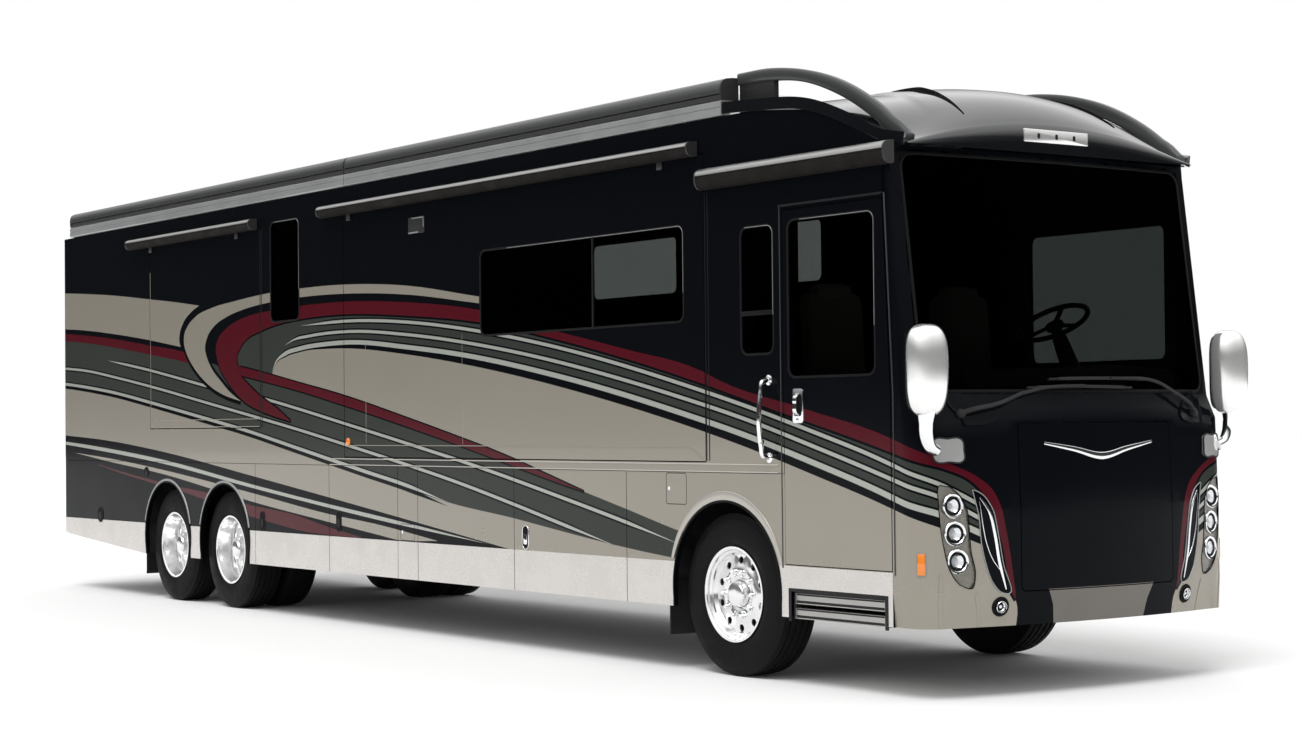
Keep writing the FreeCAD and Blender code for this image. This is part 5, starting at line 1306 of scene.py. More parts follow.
def lamp_bowl(along, height, radius, depth):
    """Round lamp on the nose: chrome ring and bowl, and a white core."""
    here, normal = nose_surface(np.array([along]), np.array([height]))
    here, normal = here[0], normal[0]
    back = here - normal * depth
    ring = turned([(0.0, radius * 0.80), (depth * 0.8, radius * 0.98), (depth * 0.98, radius),
                   (depth * 1.02, radius * 1.06), (depth * 0.9, radius * 1.12),
                   (-0.004, radius * 1.05), (-0.004, radius * 0.80)], back, normal, 40,
                  closed=True)
    bowl = turned([(0.0, 0.0), (0.004, radius * 0.30), (depth * 0.25, radius * 0.62),
                   (depth * 0.62, radius * 0.86), (depth * 0.60, radius * 0.89),
                   (-0.006, radius * 0.5), (-0.006, 0.0)], back, normal, 40)
    core = turned([(0.004, 0.0), (0.005, radius * 0.34), (depth * 0.45, radius * 0.30),
                   (depth * 0.60, radius * 0.18), (depth * 0.64, 0.0)], back, normal, 24)
    return joined(marked(ring, 0), marked(bowl, 0), marked(core, 1))


class MOTORHOME_OT_lamps(bpy.types.Operator):
    """Headlamp clusters, chrome boomerangs, fog lamps and amber side markers"""
    bl_idname = "motorhome.lamps"
    bl_label = "Front lamps"

    def execute(self, context):
        outline = closed_line(HOUSING)
        points, triangles, _ = cut_sheet(loops(outline), [], guide_lines(
            np.linspace(6.64, 6.86, 8), 0.6, 1.3))
        spots = [circle(0.050, 24) + (along, z) for along, z in LAMPS]
        bored, bored_faces, _ = cut_sheet(loops(outline, *spots), [], guide_lines(
            np.linspace(6.64, 6.86, 8), 0.6, 1.3))
        back, _ = thick_sheet(bored, bored_faces, lifted(nose_surface, -0.010), 0.004,
                              [0] * len(bored_faces))
        lamps = [lamp_bowl(along, z, 0.058, 0.048)
                 for along, z in LAMPS]
        rings = []
        for along, z in LAMPS:
            here, normal = nose_surface(np.array([along]), np.array([z]))
            rings.append(marked(turned(
                [(-0.004, 0.052), (-0.004, 0.073), (0.001, 0.072), (0.005, 0.068),
                 (0.004, 0.060), (-0.002, 0.055)], here[0], normal[0], 48, closed=True), 0))
            rings.append(marked(turned(
                [(-0.006, 0.040), (-0.006, 0.057), (-0.0015, 0.056), (-0.0015, 0.046),
                 (-0.005, 0.041)], here[0], normal[0], 48, closed=True), 3))
        made = piece("headlamps", both(joined(marked(back, 2), *lamps, *rings)), "coach",
                     ["chrome", "lamp_white", "champagne", "seal_black"])
        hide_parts("headlights")
        lens, _ = thick_sheet(points, triangles, lifted(nose_surface, -0.002), 0.003,
                              [0] * len(triangles))
        piece("headlamp_covers", both(lens), "coach", ["lens_glass"])
        ring = closed_line(HOUSING, 6)
        path, normal = on_nose(ring, 0.001)
        bezel = swept(path, rectangle(0.005, 0.006, 0.002), up=normal, closed=True)
        horn_path, horn_normal = on_nose(closed_line(BOOMERANG, 6), 0.002)
        horn = swept(horn_path, rectangle(0.005, 0.008, 0.002), up=horn_normal, closed=True)
        blade = []
        for line, wide in (
                ([(6.905, 1.170), (6.960, 1.090), (6.995, 0.960), (7.022, 0.800),
                  (7.066, 0.635)], 0.020),
                ([(6.900, 1.150), (6.915, 1.020), (6.940, 0.900), (6.985, 0.800),
                  (7.030, 0.745)], 0.007)):
            blade_path, blade_normal = on_nose(smooth_line(line, 8), 0.002)
            size = np.interp(np.linspace(0, 1, len(blade_path)), [0, 0.3, 0.8, 1],
                             [0.3, 1.0, 1.0, 0.4])
            blade.append(swept(blade_path, rectangle(wide, 0.008, 0.003), up=blade_normal,
                               scale=size))
        middle = joined(*blade)
        piece("lamp_bezels", both(joined(marked(bezel, 0), marked(horn, 2), marked(middle, 1))),
              "coach", ["body_black", "chrome", "rail_grey"])
        fog = lamp_bowl(7.038, 0.535, 0.032, 0.026)
        here, out = nose_surface(np.array([7.038]), np.array([0.535]))
        dish = turned([(-0.001, 0.0), (-0.001, 0.060), (0.007, 0.056), (0.009, 0.048),
                       (0.002, 0.044), (0.0015, 0.0)], here[0], out[0], 40)
        fog = moved(fog, out[0] * 0.018)
        piece("fog_lamps", both(joined(marked(dish, 2), fog)), "coach",
              ["chrome", "lamp_white", "seal_black"])
        spot, out = nose_surface(np.array([6.530]), np.array([0.790]))
        marker = slab((-0.022, -0.004, -0.062), (0.022, 0.009, 0.062), 2, 0.006, 0.006)
        frame_part = slab((-0.028, -0.003, -0.068), (0.028, 0.004, 0.068), 2, 0.003, 0.004)
        first = np.array([-out[0][1], out[0][0], 0.0])
        turn = np.stack([first, out[0], (0, 0, 1)])

        def set_in(shape):
            return (np.asarray(shape[0]) @ turn + spot[0], *shape[1:])
        piece("side_markers", both(joined(marked(set_in(marker), 0),
                                          marked(set_in(frame_part), 1))),
              "coach", ["amber_lens", "champagne"])
        return {"FINISHED"}


def power(angle_value, exponent):
    return np.sign(angle_value) * np.abs(angle_value) ** exponent


def pillow(centre, radii, flat=0.5, plan=0.5, rows=25, columns=48):
    """Superellipsoid: centre + radii * (cos v^flat cos u^plan, cos v^flat sin u^plan,
    sin v^flat), powers keeping their signs."""
    v = np.linspace(-math.pi / 2, math.pi / 2, rows)[:, None]
    u = (np.arange(columns) * TAU / columns)[None, :]
    place = np.stack([power(np.cos(v), flat) * power(np.cos(u), plan),
                      power(np.cos(v), flat) * power(np.sin(u), plan),
                      power(np.sin(v), flat) * np.ones_like(u)], -1)
    place = place * np.asarray(radii) + np.asarray(centre)
    return place.reshape(-1, 3), quads(rows, columns, True)


def x_run(low, high, y, z, outline, side=-1):
    """Profile (outwards, up) carried along X on a side of the coach, with both ends closed."""
    path = np.array([(low, side * y, z), ((low + high) / 2, side * y, z), (high, side * y, z)])
    outline = np.asarray(outline, float) * (1 if side < 0 else -1, 1)
    return swept(path, outline if side < 0 else outline[::-1])


def wall_ring(low_x, high_x, low_z, high_z, radius, width, proud, side, inset=0.0):
    """Flat seal round a rounded opening in a side wall, standing proud of it."""
    outline = rectangle(high_x - low_x - 2 * inset, high_z - low_z - 2 * inset,
                        max(radius - inset, 0.01), 8)
    middle = ((low_x + high_x) / 2, (low_z + high_z) / 2)
    level = side * (HALF + proud / 2 - 0.004)
    path = np.stack([middle[0] + outline[:, 0], np.full(len(outline), level),
                     middle[1] + outline[:, 1]], -1)
    return swept(path, rectangle(width, proud + 0.008, 0.0022, 2), up=(0, 1, 0), closed=True)


def bright_edge(x0, x1, z0, z1, side):
    """Thin bright bead along a window's top and down its front edge."""
    turn = np.linspace(math.pi / 2, 0, 7)
    corner = [(x1 - 0.055 + 0.055 * math.cos(a), z1 - 0.055 + 0.055 * math.sin(a))
              for a in turn]
    line = [(x0 + 0.15 * (x1 - x0), z1), ((x0 + x1) / 2, z1)] + corner
    line += [(x1, z0 + 0.55 * (z1 - z0)), (x1, z0 + 0.30 * (z1 - z0))]
    path = np.array([(x, side * (HALF + 0.001), z) for x, z in line])
    return swept(path, rectangle(0.004, 0.009, 0.0015), up=(0, 1, 0))


# opening: body, side, X and Z ranges
WINDOWS = {
    "main": ("slide_out_main", -1, (1.710, 4.275), (2.280, 2.905)),
    "door": ("entry_door", -1, (5.370, 6.180), (1.892, 2.854)),
    "narrow": ("coach", -1, (4.894, 5.221), (2.044, 2.841)),
    "tall": ("coach", -1, (-1.803, -1.263), (2.524, 3.381)),
    "driver": ("coach", 1, (4.860, 6.110), (2.000, 2.880)),
    "bath": ("coach", 1, (-5.600, -5.000), (2.400, 2.900)),
    "lounge_1": ("slide_out_lounge", 1, (-3.900, -2.700), (2.710, 3.190)),
    "lounge_2": ("slide_out_lounge", 1, (-0.620, 0.680), (2.710, 3.190)),
    "lounge_3": ("slide_out_lounge", 1, (1.640, 2.600), (2.710, 3.190)),
}


class MOTORHOME_OT_window_seals(bpy.types.Operator):
    """Rubber seals with a thin bright bead round every side window, and sash bars"""
    bl_idname = "motorhome.window_seals"
    bl_label = "Window seals"

    def execute(self, context):
        width = context.scene.motorhome_sizes.seal
        for name, (body, side, (x0, x1), (z0, z1)) in WINDOWS.items():
            parts = [marked(wall_ring(x0, x1, z0, z1, 0.06, width, 0.0035, side, -0.002), 0),
                     marked(bright_edge(x0, x1, z0, z1, side), 1)]
            if name == "main":
                sash = 3.215
                parts.append(marked(slab((sash - 0.011, side * HALF - 0.008, z0), (
                    sash + 0.011, side * HALF + 0.004, z1), 2, 0.004), 0))
            if name == "narrow":
                parts.append(marked(slab((x0, -HALF - 0.004, 2.285), (x1, -HALF + 0.008, 2.315),
                                         0, 0.004), 0))
            piece(f"seal_{name}", joined(*parts), body, ["seal_black", "aluminium"])
        frame_line = nose_frame(1.172, 1.785, 3.190, 0.09)
        path, normal = on_nose(frame_line, -0.001)
        seal = swept(path, rectangle(0.020, 0.009, 0.004), up=normal, closed=True)
        piece("seal_windshield", seal, "coach", ["seal_black"])
        return {"FINISHED"}


CASE = [(0, 0.148), (0.05, 0.1465), (0.098, 0.140), (0.128, 0.124), (0.141, 0.098),
        (0.145, 0.066), (0.144, 0.044), (0.136, 0.042), (0.0, 0.042)]
CASE_LIP = [(0.0, 0.040), (0.134, 0.040), (0.143, 0.034), (0.143, 0.008), (0.134, 0.0),
            (0.02, 0.0), (0.0, 0.004)]
RAIL = [(0, 0.096), (0.066, 0.096), (0.075, 0.086), (0.075, 0.058), (0.069, 0.054),
        (0.069, 0.050), (0.075, 0.046), (0.075, 0.010), (0.066, 0.0), (0, 0.0)]
ROLL_TOP = [(0.0, 1.0), (0.30, 0.99), (0.62, 0.95), (0.86, 0.86), (0.97, 0.76), (1.0, 0.64),
            (0.94, 0.63), (0.0, 0.63)]
ROLL_BELLY = [(0.0, 0.62), (0.93, 0.62), (0.99, 0.42), (0.90, 0.20), (0.72, 0.07),
              (0.48, 0.0), (0.20, 0.0), (0.0, 0.05)]


def roll(low, high, y, z, depth, tall, side):
    """Closed roller awning: bright upper shell, fabric belly and end plates."""
    size = np.array([depth, tall])
    parts = [marked(x_run(low + 0.012, high - 0.012, y, z, np.array(ROLL_TOP) * size, side), 0),
             marked(x_run(low + 0.012, high - 0.012, y, z, np.array(ROLL_BELLY) * size, side), 1)]
    cap = np.vstack([np.array(ROLL_TOP[:6]), np.array(ROLL_BELLY[2:])]) * size
    for start in (low, high - 0.014):
        parts.append(marked(x_run(start, start + 0.014, y, z, cap, side), 2))
    return joined(*parts)


class MOTORHOME_OT_awnings(bpy.types.Operator):
    """Patio awning cases on their rails, the door awning and the slide-out toppers"""
    bl_idname = "motorhome.awnings"
    bl_label = "Awnings"

    def execute(self, context):
        parts = []
        for low, high in ((-6.410, -0.422), (-0.412, 4.720)):
            parts += [marked(x_run(low + 0.01, high - 0.01, 1.155, 3.675, CASE), 0),
                      marked(x_run(low + 0.01, high - 0.01, 1.155, 3.675, CASE_LIP), 1),
                      marked(x_run(low, high, 1.225, 3.578, RAIL), 2)]
            outline = np.array(CASE[:7] + CASE_LIP[3:6] + [(0.0, 0.0)])
            for start in (low, high - 0.012):
                parts.append(marked(x_run(start, start + 0.012, 1.155, 3.675, outline), 1))
        made = piece("awning_cases_shaped", joined(*parts), "coach",
                     ["case_grey", "charcoal", "rail_grey"], smooth=40)
        door = roll(4.513, 6.370, HALF, 3.110, 0.085, 0.140, -1)
        piece("door_awning", door, "coach",
              ["aluminium", "awning_brown", "charcoal"], smooth=40)
        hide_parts("awning_cases")
        for node, body, side, low, high in (
                ("topper_main", "slide_out_main", -1, -0.770, 4.450),
                ("topper_bed", "slide_out_bed", -1, -4.790, -2.050),
                ("topper_lounge", "slide_out_lounge", 1, -4.600, 4.000)):
            parts = [roll(low, high, 1.2925, 3.338, 0.0875, 0.100, side)]
            for foot in (low + 0.42, high - 0.42):
                y = sorted((side * (HALF + 0.0022), side * 1.300))
                parts.append(marked(slab((foot - 0.03, y[0], 3.290), (foot + 0.03, y[1], 3.350),
                                         2, 0.004), 2))
            made = piece(f"{node}_shaped", joined(*parts), body,
                         ["aluminium", "awning_brown", "charcoal"], smooth=40)
            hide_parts(node)
        return {"FINISHED"}


class MOTORHOME_OT_side_trim(bpy.types.Operator):
    """Belt and slide-out beads, seals, gutters, arch lips, door surround, step frame, drip rail"""
    bl_idname = "motorhome.side_trim"
    bl_label = "Side trim"

    def execute(self, context):
        bead = [(-0.002, 0.004), (0.004, 0.0035), (0.006, 0.0), (0.004, -0.0035),
                (-0.002, -0.004)]
        belt = [x_run(-0.72, 5.255, HALF, z, bead) for z in (1.304, 1.352)]
        piece("belt_beads", joined(*belt), "coach", ["arch_pale"])
        ledge = np.array([(-0.42, -HALF - 0.001, 1.462), (4.31, -HALF - 0.001, 1.462),
                          (4.36, -HALF - 0.001, 1.450), (4.470, -HALF - 0.001, 1.385)])
        beads = [swept(ledge, rectangle(0.006, 0.008, 0.002), up=(0, 1, 0))]
        for x in (-0.087, 1.435):
            beads.append(slab((x - 0.002, -HALF - 0.002, 1.470), (x + 0.002, -HALF + 0.002,
                                                                 2.30), 2, 0.001))
        piece("main_slide_beads", joined(*beads), "slide_out_main",
              ["champagne"])
        frame_beads = []
        for z in (1.624, 1.690):
            frame_beads.append(slab((-4.395, -HALF - 0.003, z - 0.003),
                                    (-2.04, -HALF + 0.002, z + 0.003), 0, 0.002))
        frame_beads.append(slab((-4.400, -HALF - 0.003, 1.62), (-4.394, -HALF + 0.002, 3.10),
                                2, 0.002))
        piece("bed_slide_beads", joined(*frame_beads), "slide_out_bed",
              ["champagne"])
        strips = []
        for x, low, high in ((-2.010, 1.615, 3.34), (-1.980, 1.615, 3.34),
                             (4.516, 1.37, 3.10), (4.546, 1.37, 3.10)):
            strips.append(slab((x - 0.005, -HALF - 0.003, low), (x + 0.005, -HALF + 0.002,
                                                                high), 2, 0.002))
        piece("slide_seals", joined(*strips), "coach", ["seal_black"])
        edge = smooth_line([(4.725, 1.288, 3.618), (5.05, 1.289, 3.600), (5.60, 1.289, 3.540),
                            (6.00, 1.284, 3.398), (6.22, 1.254, 3.290),
                            (6.37, 1.206, 3.258)], 8)
        gutter = swept(edge, [(-0.004, -0.034), (0.007, -0.032), (0.014, -0.018),
                              (0.016, 0.004), (0.012, 0.024), (0.003, 0.036),
                              (-0.008, 0.040), (-0.008, -0.034)], up=(0, 0, 1))
        piece("brow_gutters", both(gutter), "coach", ["brow_black"], smooth=50)
        left_rail = x_run(-6.41, 5.03, HALF - 0.002, 3.562, [(-0.01, 0.05), (0.010, 0.045),
                                                            (0.012, 0.0), (-0.01, 0.0)], 1)
        piece("roof_gutter_left", left_rail, "coach", ["rail_grey"])
        bright, dark = [], []
        for centre, z, radius, wide in ((FRONT_X, 0.548, 0.575, 0.060), (DRIVE_X, 0.600, 0.520,
                                                                        0.022),
                                        (-4.020, 0.600, 0.520, 0.022)):
            for store, size, low_z, inner in ((bright, wide, STRIP_TOP + 0.022, 0.0),
                                              (dark, 0.016, SKIRT, -0.015)):
                low = math.asin((low_z - z) / (radius + inner + size / 2))
                angle = np.linspace(low, math.pi - low, 57)
                if centre == DRIVE_X:
                    angle = angle[np.cos(angle) * radius > -0.615]
                elif centre < 0:
                    angle = angle[np.cos(angle) * radius < 0.615]
                path = np.stack([centre + (radius + inner + size / 2) * np.cos(angle),
                                 np.full(len(angle), -HALF - (0.004 if inner else 0.003)),
                                 z + (radius + inner + size / 2) * np.sin(angle)], -1)
                share = np.linspace(0, 1, len(angle))
                swell = 0.45 + 0.55 * np.sin(share * math.pi) if centre > 0 else 1 + 0 * share
                outline = rectangle(size, 0.012, 0.005)
                store.append(swept(path, outline, up=(0, 1, 0), scale=swell))
        piece("arch_lip_front", both(bright[0]), "coach", ["arch_pale"])
        piece("arch_lips_rear", both(joined(*bright[1:])), "coach",
              ["rail_grey"])
        piece("arch_seals", both(joined(*dark)), "coach", ["seal_black"])
        frame_line = np.array([(5.292, 0.72), (5.292, 2.95), (6.275, 2.95), (6.338, 1.76),
                               (6.338, 0.72)])
        path = np.array([(x, -HALF - 0.001, z) for x, z in frame_line])
        piece("door_surround", swept(path, rectangle(0.006, 0.010, 0.002), up=(0, 1, 0)),
              "coach", ["case_grey"])
        bars = [slab((5.345, -HALF - 0.004, 0.398), (5.371, -HALF + 0.004, 0.600), 2, 0.003),
                slab((6.245, -HALF - 0.004, 0.398), (6.275, -HALF + 0.004, 0.600), 2, 0.003),
                slab((5.371, -HALF - 0.004, 0.580), (6.245, -HALF + 0.004, 0.600), 0, 0.003)]
        piece("step_frame", joined(*bars), "coach", ["moulded_black"])
        drip = x_run(5.29, 6.265, HALF, 2.942, [(-0.001, 0.016), (0.010, 0.014), (0.014, 0.004),
                                                (0.010, 0.0), (-0.001, 0.0)])
        piece("door_drip_rail", drip, "coach", ["body_black"])
        return {"FINISHED"}


def hatch(x0, x1, z0, z1, side=-1):
    """Small flush door: a thin lid and its lock."""
    lid = wall_ring(x0, x1, z0, z1, 0.018, 0.006, 0.0022, side)
    lock = turned([(-0.003, 0), (-0.003, 0.013), (0.004, 0.013), (0.006, 0.010), (0.006, 0.0)],
                  (x0 + 0.035, side * HALF, (z0 + z1) / 2), (0, side, 0), 20)
    return joined(marked(lid, 0), marked(lock, 1))


def paddle(x, z, side=-1, wide=0.046, tall=0.105):
    """Paddle latch: oval bezel with a sunk black cup and a bright paddle."""
    y = side * HALF
    outline = rectangle(wide, tall, wide / 2 - 0.002, 6)
    path = np.stack([x + outline[:, 0], np.full(len(outline), y + side * 0.003),
                     z + outline[:, 1]], -1)
    bezel = swept(path, rectangle(0.007, 0.008, 0.003), up=(0, 1, 0), closed=True)
    low, high = sorted((y + side * 0.0016, y + side * 0.004))
    cup = slab((x - wide / 2 + 0.003, low, z - tall / 2 + 0.003),
               (x + wide / 2 - 0.003, high, z + tall / 2 - 0.003), 1, wide / 2 - 0.006, 0.001)
    low, high = sorted((y + side * 0.003, y + side * 0.008))
    lever = slab((x - wide * 0.28, low, z - tall * 0.30), (x + wide * 0.28, high, z + tall * 0.12),
                 1, 0.008, 0.0015)
    return joined(marked(bezel, 0), marked(cup, 1), marked(lever, 0))


class MOTORHOME_OT_hardware(bpy.types.Operator):
    """Door handles, latches, hatches, side lamp and vent"""
    bl_idname = "motorhome.hardware"
    bl_label = "Handles and latches"

    def execute(self, context):
        paint = ["chrome", "seal_black"]
        quiet = ["moulded_black", "seal_black"]
        for number, x, z, tones in ((1, -1.99, 0.80, quiet), (2, -0.565, 0.84, quiet),
                                    (4, 2.314, 0.806, paint)):
            piece(f"latch_right_{number}", paddle(x, z, -1, 0.082, 0.168),
                  f"bay_door_right_{number}", tones)
        for number, x in ((1, 0.90), (2, 2.321)):
            piece(f"latch_left_{number}", paddle(x, 0.806, 1, 0.082, 0.168),
                  f"bay_door_left_{number}", paint)
        fixed = [hatch(4.062, 4.287, 1.087, 1.290), hatch(0.468, 0.690, 0.722, 0.850),
                 hatch(-5.40, -4.95, 0.800, 1.150, 1), hatch(-1.60, -1.10, 0.800, 1.150, 1),
                 hatch(3.72, 4.00, 1.05, 1.30, 1)]
        piece("hatches", joined(*fixed), "coach", ["seal_black", "chrome"])
        corner_latches = [paddle(-5.661, 0.765, -1, 0.13, 0.15),
                          paddle(-4.506, 1.20, -1, 0.10, 0.09)]
        piece("corner_latches", joined(*corner_latches), "coach", quiet)
        handle_x, handle_z = 5.459, 1.714
        plate = slab((handle_x - 0.052, -HALF - 0.0075, handle_z - 0.105),
                     (handle_x + 0.052, -HALF + 0.002, handle_z + 0.105), 1, 0.020, 0.002)
        cup = slab((handle_x - 0.038, -HALF - 0.0085, handle_z - 0.062),
                   (handle_x + 0.038, -HALF - 0.006, handle_z + 0.075), 1, 0.016, 0.001)
        grip = smooth_line([(handle_x, -HALF - 0.006, handle_z - 0.055),
                            (handle_x, -HALF - 0.026, handle_z - 0.040),
                            (handle_x, -HALF - 0.030, handle_z + 0.010),
                            (handle_x, -HALF - 0.024, handle_z + 0.060),
                            (handle_x, -HALF - 0.006, handle_z + 0.072)], 6)
        grip = swept(grip, rectangle(0.034, 0.008, 0.003), up=(0, 1, 0.001))
        key = turned([(-0.002, 0), (-0.002, 0.011), (0.003, 0.011), (0.004, 0.008), (0.004, 0)],
                     (handle_x, -HALF - 0.0075, handle_z - 0.084), (0, -1, 0), 18)
        piece("door_handle", joined(marked(plate, 0), marked(cup, 1), marked(grip, 0),
                                    marked(key, 0)), "entry_door", paint)
        rail_x, low, high = 5.170, 1.395, 1.878
        path = smooth_line([(rail_x, -HALF - 0.002, low), (rail_x, -HALF - 0.052, low + 0.012),
                            (rail_x, -HALF - 0.066, low + 0.070), (rail_x, -HALF - 0.066,
                                                                   high - 0.070),
                            (rail_x, -HALF - 0.052, high - 0.012), (rail_x, -HALF - 0.002, high)],
                           8)
        rail = tube(path, 0.0155, 14, up=(1, 0, 0))
        roses = [turned([(-0.002, 0), (-0.002, 0.034), (0.006, 0.032), (0.012, 0.020),
                         (0.013, 0)], (rail_x, -HALF, z), (0, -1, 0), 28) for z in (low, high)]
        grips = [tube([(rail_x, -HALF - 0.066, z - 0.012), (rail_x, -HALF - 0.066, z),
                       (rail_x, -HALF - 0.066, z + 0.012)], 0.019, 14, up=(1, 0, 0))
                 for z in (low + 0.10, high - 0.10)]
        piece("grab_rail", joined(rail, *roses, *grips), "coach", ["chrome"])
        lamp = turned([(-0.002, 0), (-0.002, 0.034), (0.005, 0.034), (0.008, 0.031),
                       (0.012, 0.022), (0.014, 0.0)], (-0.393, -HALF - 0.001, 1.489),
                      (0, -1, 0), 30)
        piece("side_lamp", lamp, "slide_out_main", ["amber_lens"])
        vent = [marked(slab((0.640, -HALF - 0.010, 3.105), (0.890, -HALF, 3.235), 1, 0.010,
                            0.003), 0)]
        for low, high in (((0.70, 3.222), (0.885, 3.230)), ((0.650, 3.110), (0.80, 3.120)),
                          ((0.878, 3.150), (0.886, 3.226))):
            vent.append(marked(slab((low[0], -HALF - 0.014, low[1]),
                                    (high[0], -HALF - 0.008, high[1]), 0, 0.002, 0.001), 1))
        piece("side_vent", joined(*vent), "slide_out_main",
              ["moulded_black", "rail_grey"])
        return {"FINISHED"}


class MOTORHOME_OT_mirrors(bpy.types.Operator):
    """Chrome mirror heads on curved arms, with the glass on their rear faces"""
    bl_idname = "motorhome.mirrors"
    bl_label = "Mirrors"

    def execute(self, context):
        head_points, head_faces = pillow((0, 0, 0), (0.086, 0.126, 0.264), 0.62, 0.72, 41, 64)
        head_points[:, 1] *= 1 + 0.06 * head_points[:, 2] / 0.262
        head_points[:, 1] = np.clip(head_points[:, 1], -0.129, 0.129)
        head_points[:, 0] += 0.012 * (head_points[:, 2] / 0.262) ** 2 * -1
        head = moved((head_points, head_faces), (6.622, -1.272, 1.905))
        glass = pillow((6.548, -1.272, 1.905), (0.012, 0.098, 0.225), 0.45, 0.5)
        rim = pillow((6.556, -1.272, 1.905), (0.014, 0.106, 0.235), 0.45, 0.5)
        arm = smooth_line([(6.618, -1.276, 1.690), (6.612, -1.279, 1.600), (6.606, -1.270, 1.525),
                           (6.600, -1.240, 1.470), (6.590, -1.190, 1.445)], 7)
        sleeve = tube(arm, 0.040, 20, up=(1, 0, 0), scale=np.interp(
            np.linspace(0, 1, len(arm)), [0, 0.25, 0.7, 1], [1.45, 1.05, 0.95, 0.9]))
        collar = tube([(6.619, -1.275, 1.662), (6.618, -1.276, 1.680), (6.617, -1.276, 1.700)],
                      0.046, 24, up=(1, 0, 0))
        outline = closed_line([(6.635, 1.508), (6.72, 1.511), (6.810, 1.508), (6.818, 1.500),
                               (6.822, 1.445), (6.818, 1.388), (6.810, 1.380), (6.72, 1.377),
                               (6.635, 1.380), (6.627, 1.388), (6.623, 1.445),
                               (6.627, 1.500)])
        points, triangles, _ = cut_sheet(loops(outline), [], guide_lines(
            np.linspace(6.62, 6.82, 8), 1.3, 1.6))
        base, _ = thick_sheet(points, triangles, lifted(nose_surface, 0.012), 0.014,
                              [0] * len(triangles))
        edge_path, edge_normal = on_nose(outline, 0.010)
        edge = swept(edge_path, rectangle(0.010, 0.010, 0.004), up=edge_normal, closed=True)
        made = piece("mirrors_shaped", both(joined(
            marked(head, 0), marked(rim, 1), marked(glass, 2), marked(sleeve, 2),
            marked(collar, 2), marked(base, 0), marked(edge, 1))), "coach",
            ["mirror_shell", "moulded_black", "chrome"], smooth=40)
        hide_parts("mirrors")
        return {"FINISHED"}


class MOTORHOME_OT_nose_trim(bpy.types.Operator):
    """Wipers and their pads, the plain bright bar on the hood, bumper ribs and the marker plate"""
    bl_idname = "motorhome.nose_trim"
    bl_label = "Nose trim"

    def execute(self, context):
        wipers = []
        for arm, blade in (
                ([(6.86, 1.650), (7.10, 1.690), (7.43, 1.790), (7.72, 1.810)],
                 [(7.36, 1.800), (7.72, 1.805), (8.08, 1.800)]),
                ([(8.70, 1.650), (8.50, 1.735), (8.26, 1.835), (7.92, 1.855)],
                 [(7.50, 1.850), (7.88, 1.855), (8.26, 1.850)])):
            arm = smooth_line(arm, 8)
            lift = np.interp(np.linspace(0, 1, len(arm)), [0, 0.15, 0.6, 1],
                             [0.018, 0.045, 0.050, 0.034])
            path, normal = on_nose(arm, lift)
            size = np.linspace(1.35, 0.7, len(arm))
            wipers.append(swept(path, rectangle(0.022, 0.014, 0.005), up=normal, scale=size))
            path, normal = on_nose(smooth_line(blade, 12), 0.018)
            wipers.append(swept(path, rectangle(0.012, 0.020, 0.004), up=normal))
            path, normal = on_nose(smooth_line(blade, 12), 0.026)
            wipers.append(swept(path[2:-2], rectangle(0.020, 0.006, 0.0025), up=normal[2:-2]))
            here, out = nose_surface(arm[:1, 0], arm[:1, 1])
            wipers.append(turned([(-0.01, 0), (-0.01, 0.030), (0.020, 0.028), (0.032, 0.016),
                                  (0.034, 0)], here[0], out[0], 24))
        piece("wipers", joined(*wipers), "coach", ["moulded_black"])
        bar = smooth_line([(7.375, 1.478), (7.60, 1.440), (7.815, 1.398), (8.03, 1.440),
                           (8.255, 1.478)], 10)
        path, normal = on_nose(bar, -0.0005)
        size = np.interp(np.linspace(0, 1, len(bar)), [0, 0.5, 1], [0.35, 1.0, 0.35])
        path[:, 0] = np.minimum(path[:, 0], NOSE - 0.008)
        bright = swept(path, rectangle(0.046, 0.014, 0.006), up=normal, scale=size)
        piece("hood_bar", bright, "front_hood", ["chrome"])
        ribs = []
        for line in ([(6.640, 0.730), (6.630, 0.580), (6.622, 0.424)],
                     [(6.862, 0.620), (6.885, 0.540), (6.905, 0.424)]):
            path, normal = on_nose(smooth_line(line, 10), -0.001)
            ribs.append(swept(path, rectangle(0.024, 0.010, 0.0048, 4), up=normal))
        piece("bumper_ribs", both(joined(*ribs)), "coach", ["champagne"])
        pad = closed_line([(6.84, 1.585), (6.850, 1.70), (6.90, 1.765), (6.99, 1.770),
                           (7.06, 1.700), (7.08, 1.640), (6.98, 1.590)])
        points, triangles, _ = cut_sheet(loops(pad), [], guide_lines(
            np.linspace(6.86, 7.06, 8), 1.55, 1.80))
        top, _ = thick_sheet(points, triangles, lifted(nose_surface, 0.010), 0.012,
                             [0] * len(triangles))
        piece("wiper_pads", both(top), "coach", ["body_black"])
        plate = [marked(slab((6.380, -0.270, 3.298), (6.399, 0.270, 3.378), 0, 0.006, 0.003), 0)]
        for y in (-0.15, 0.0, 0.15):
            plate.append(marked(slab((6.390, y - 0.010, 3.322), (6.401, y + 0.010, 3.354), 0,
                                     0.006, 0.001), 1))
        piece("marker_plate", joined(*plate), "coach", ["mirror_shell",
                                                                      "seal_black"])
        return {"FINISHED"}


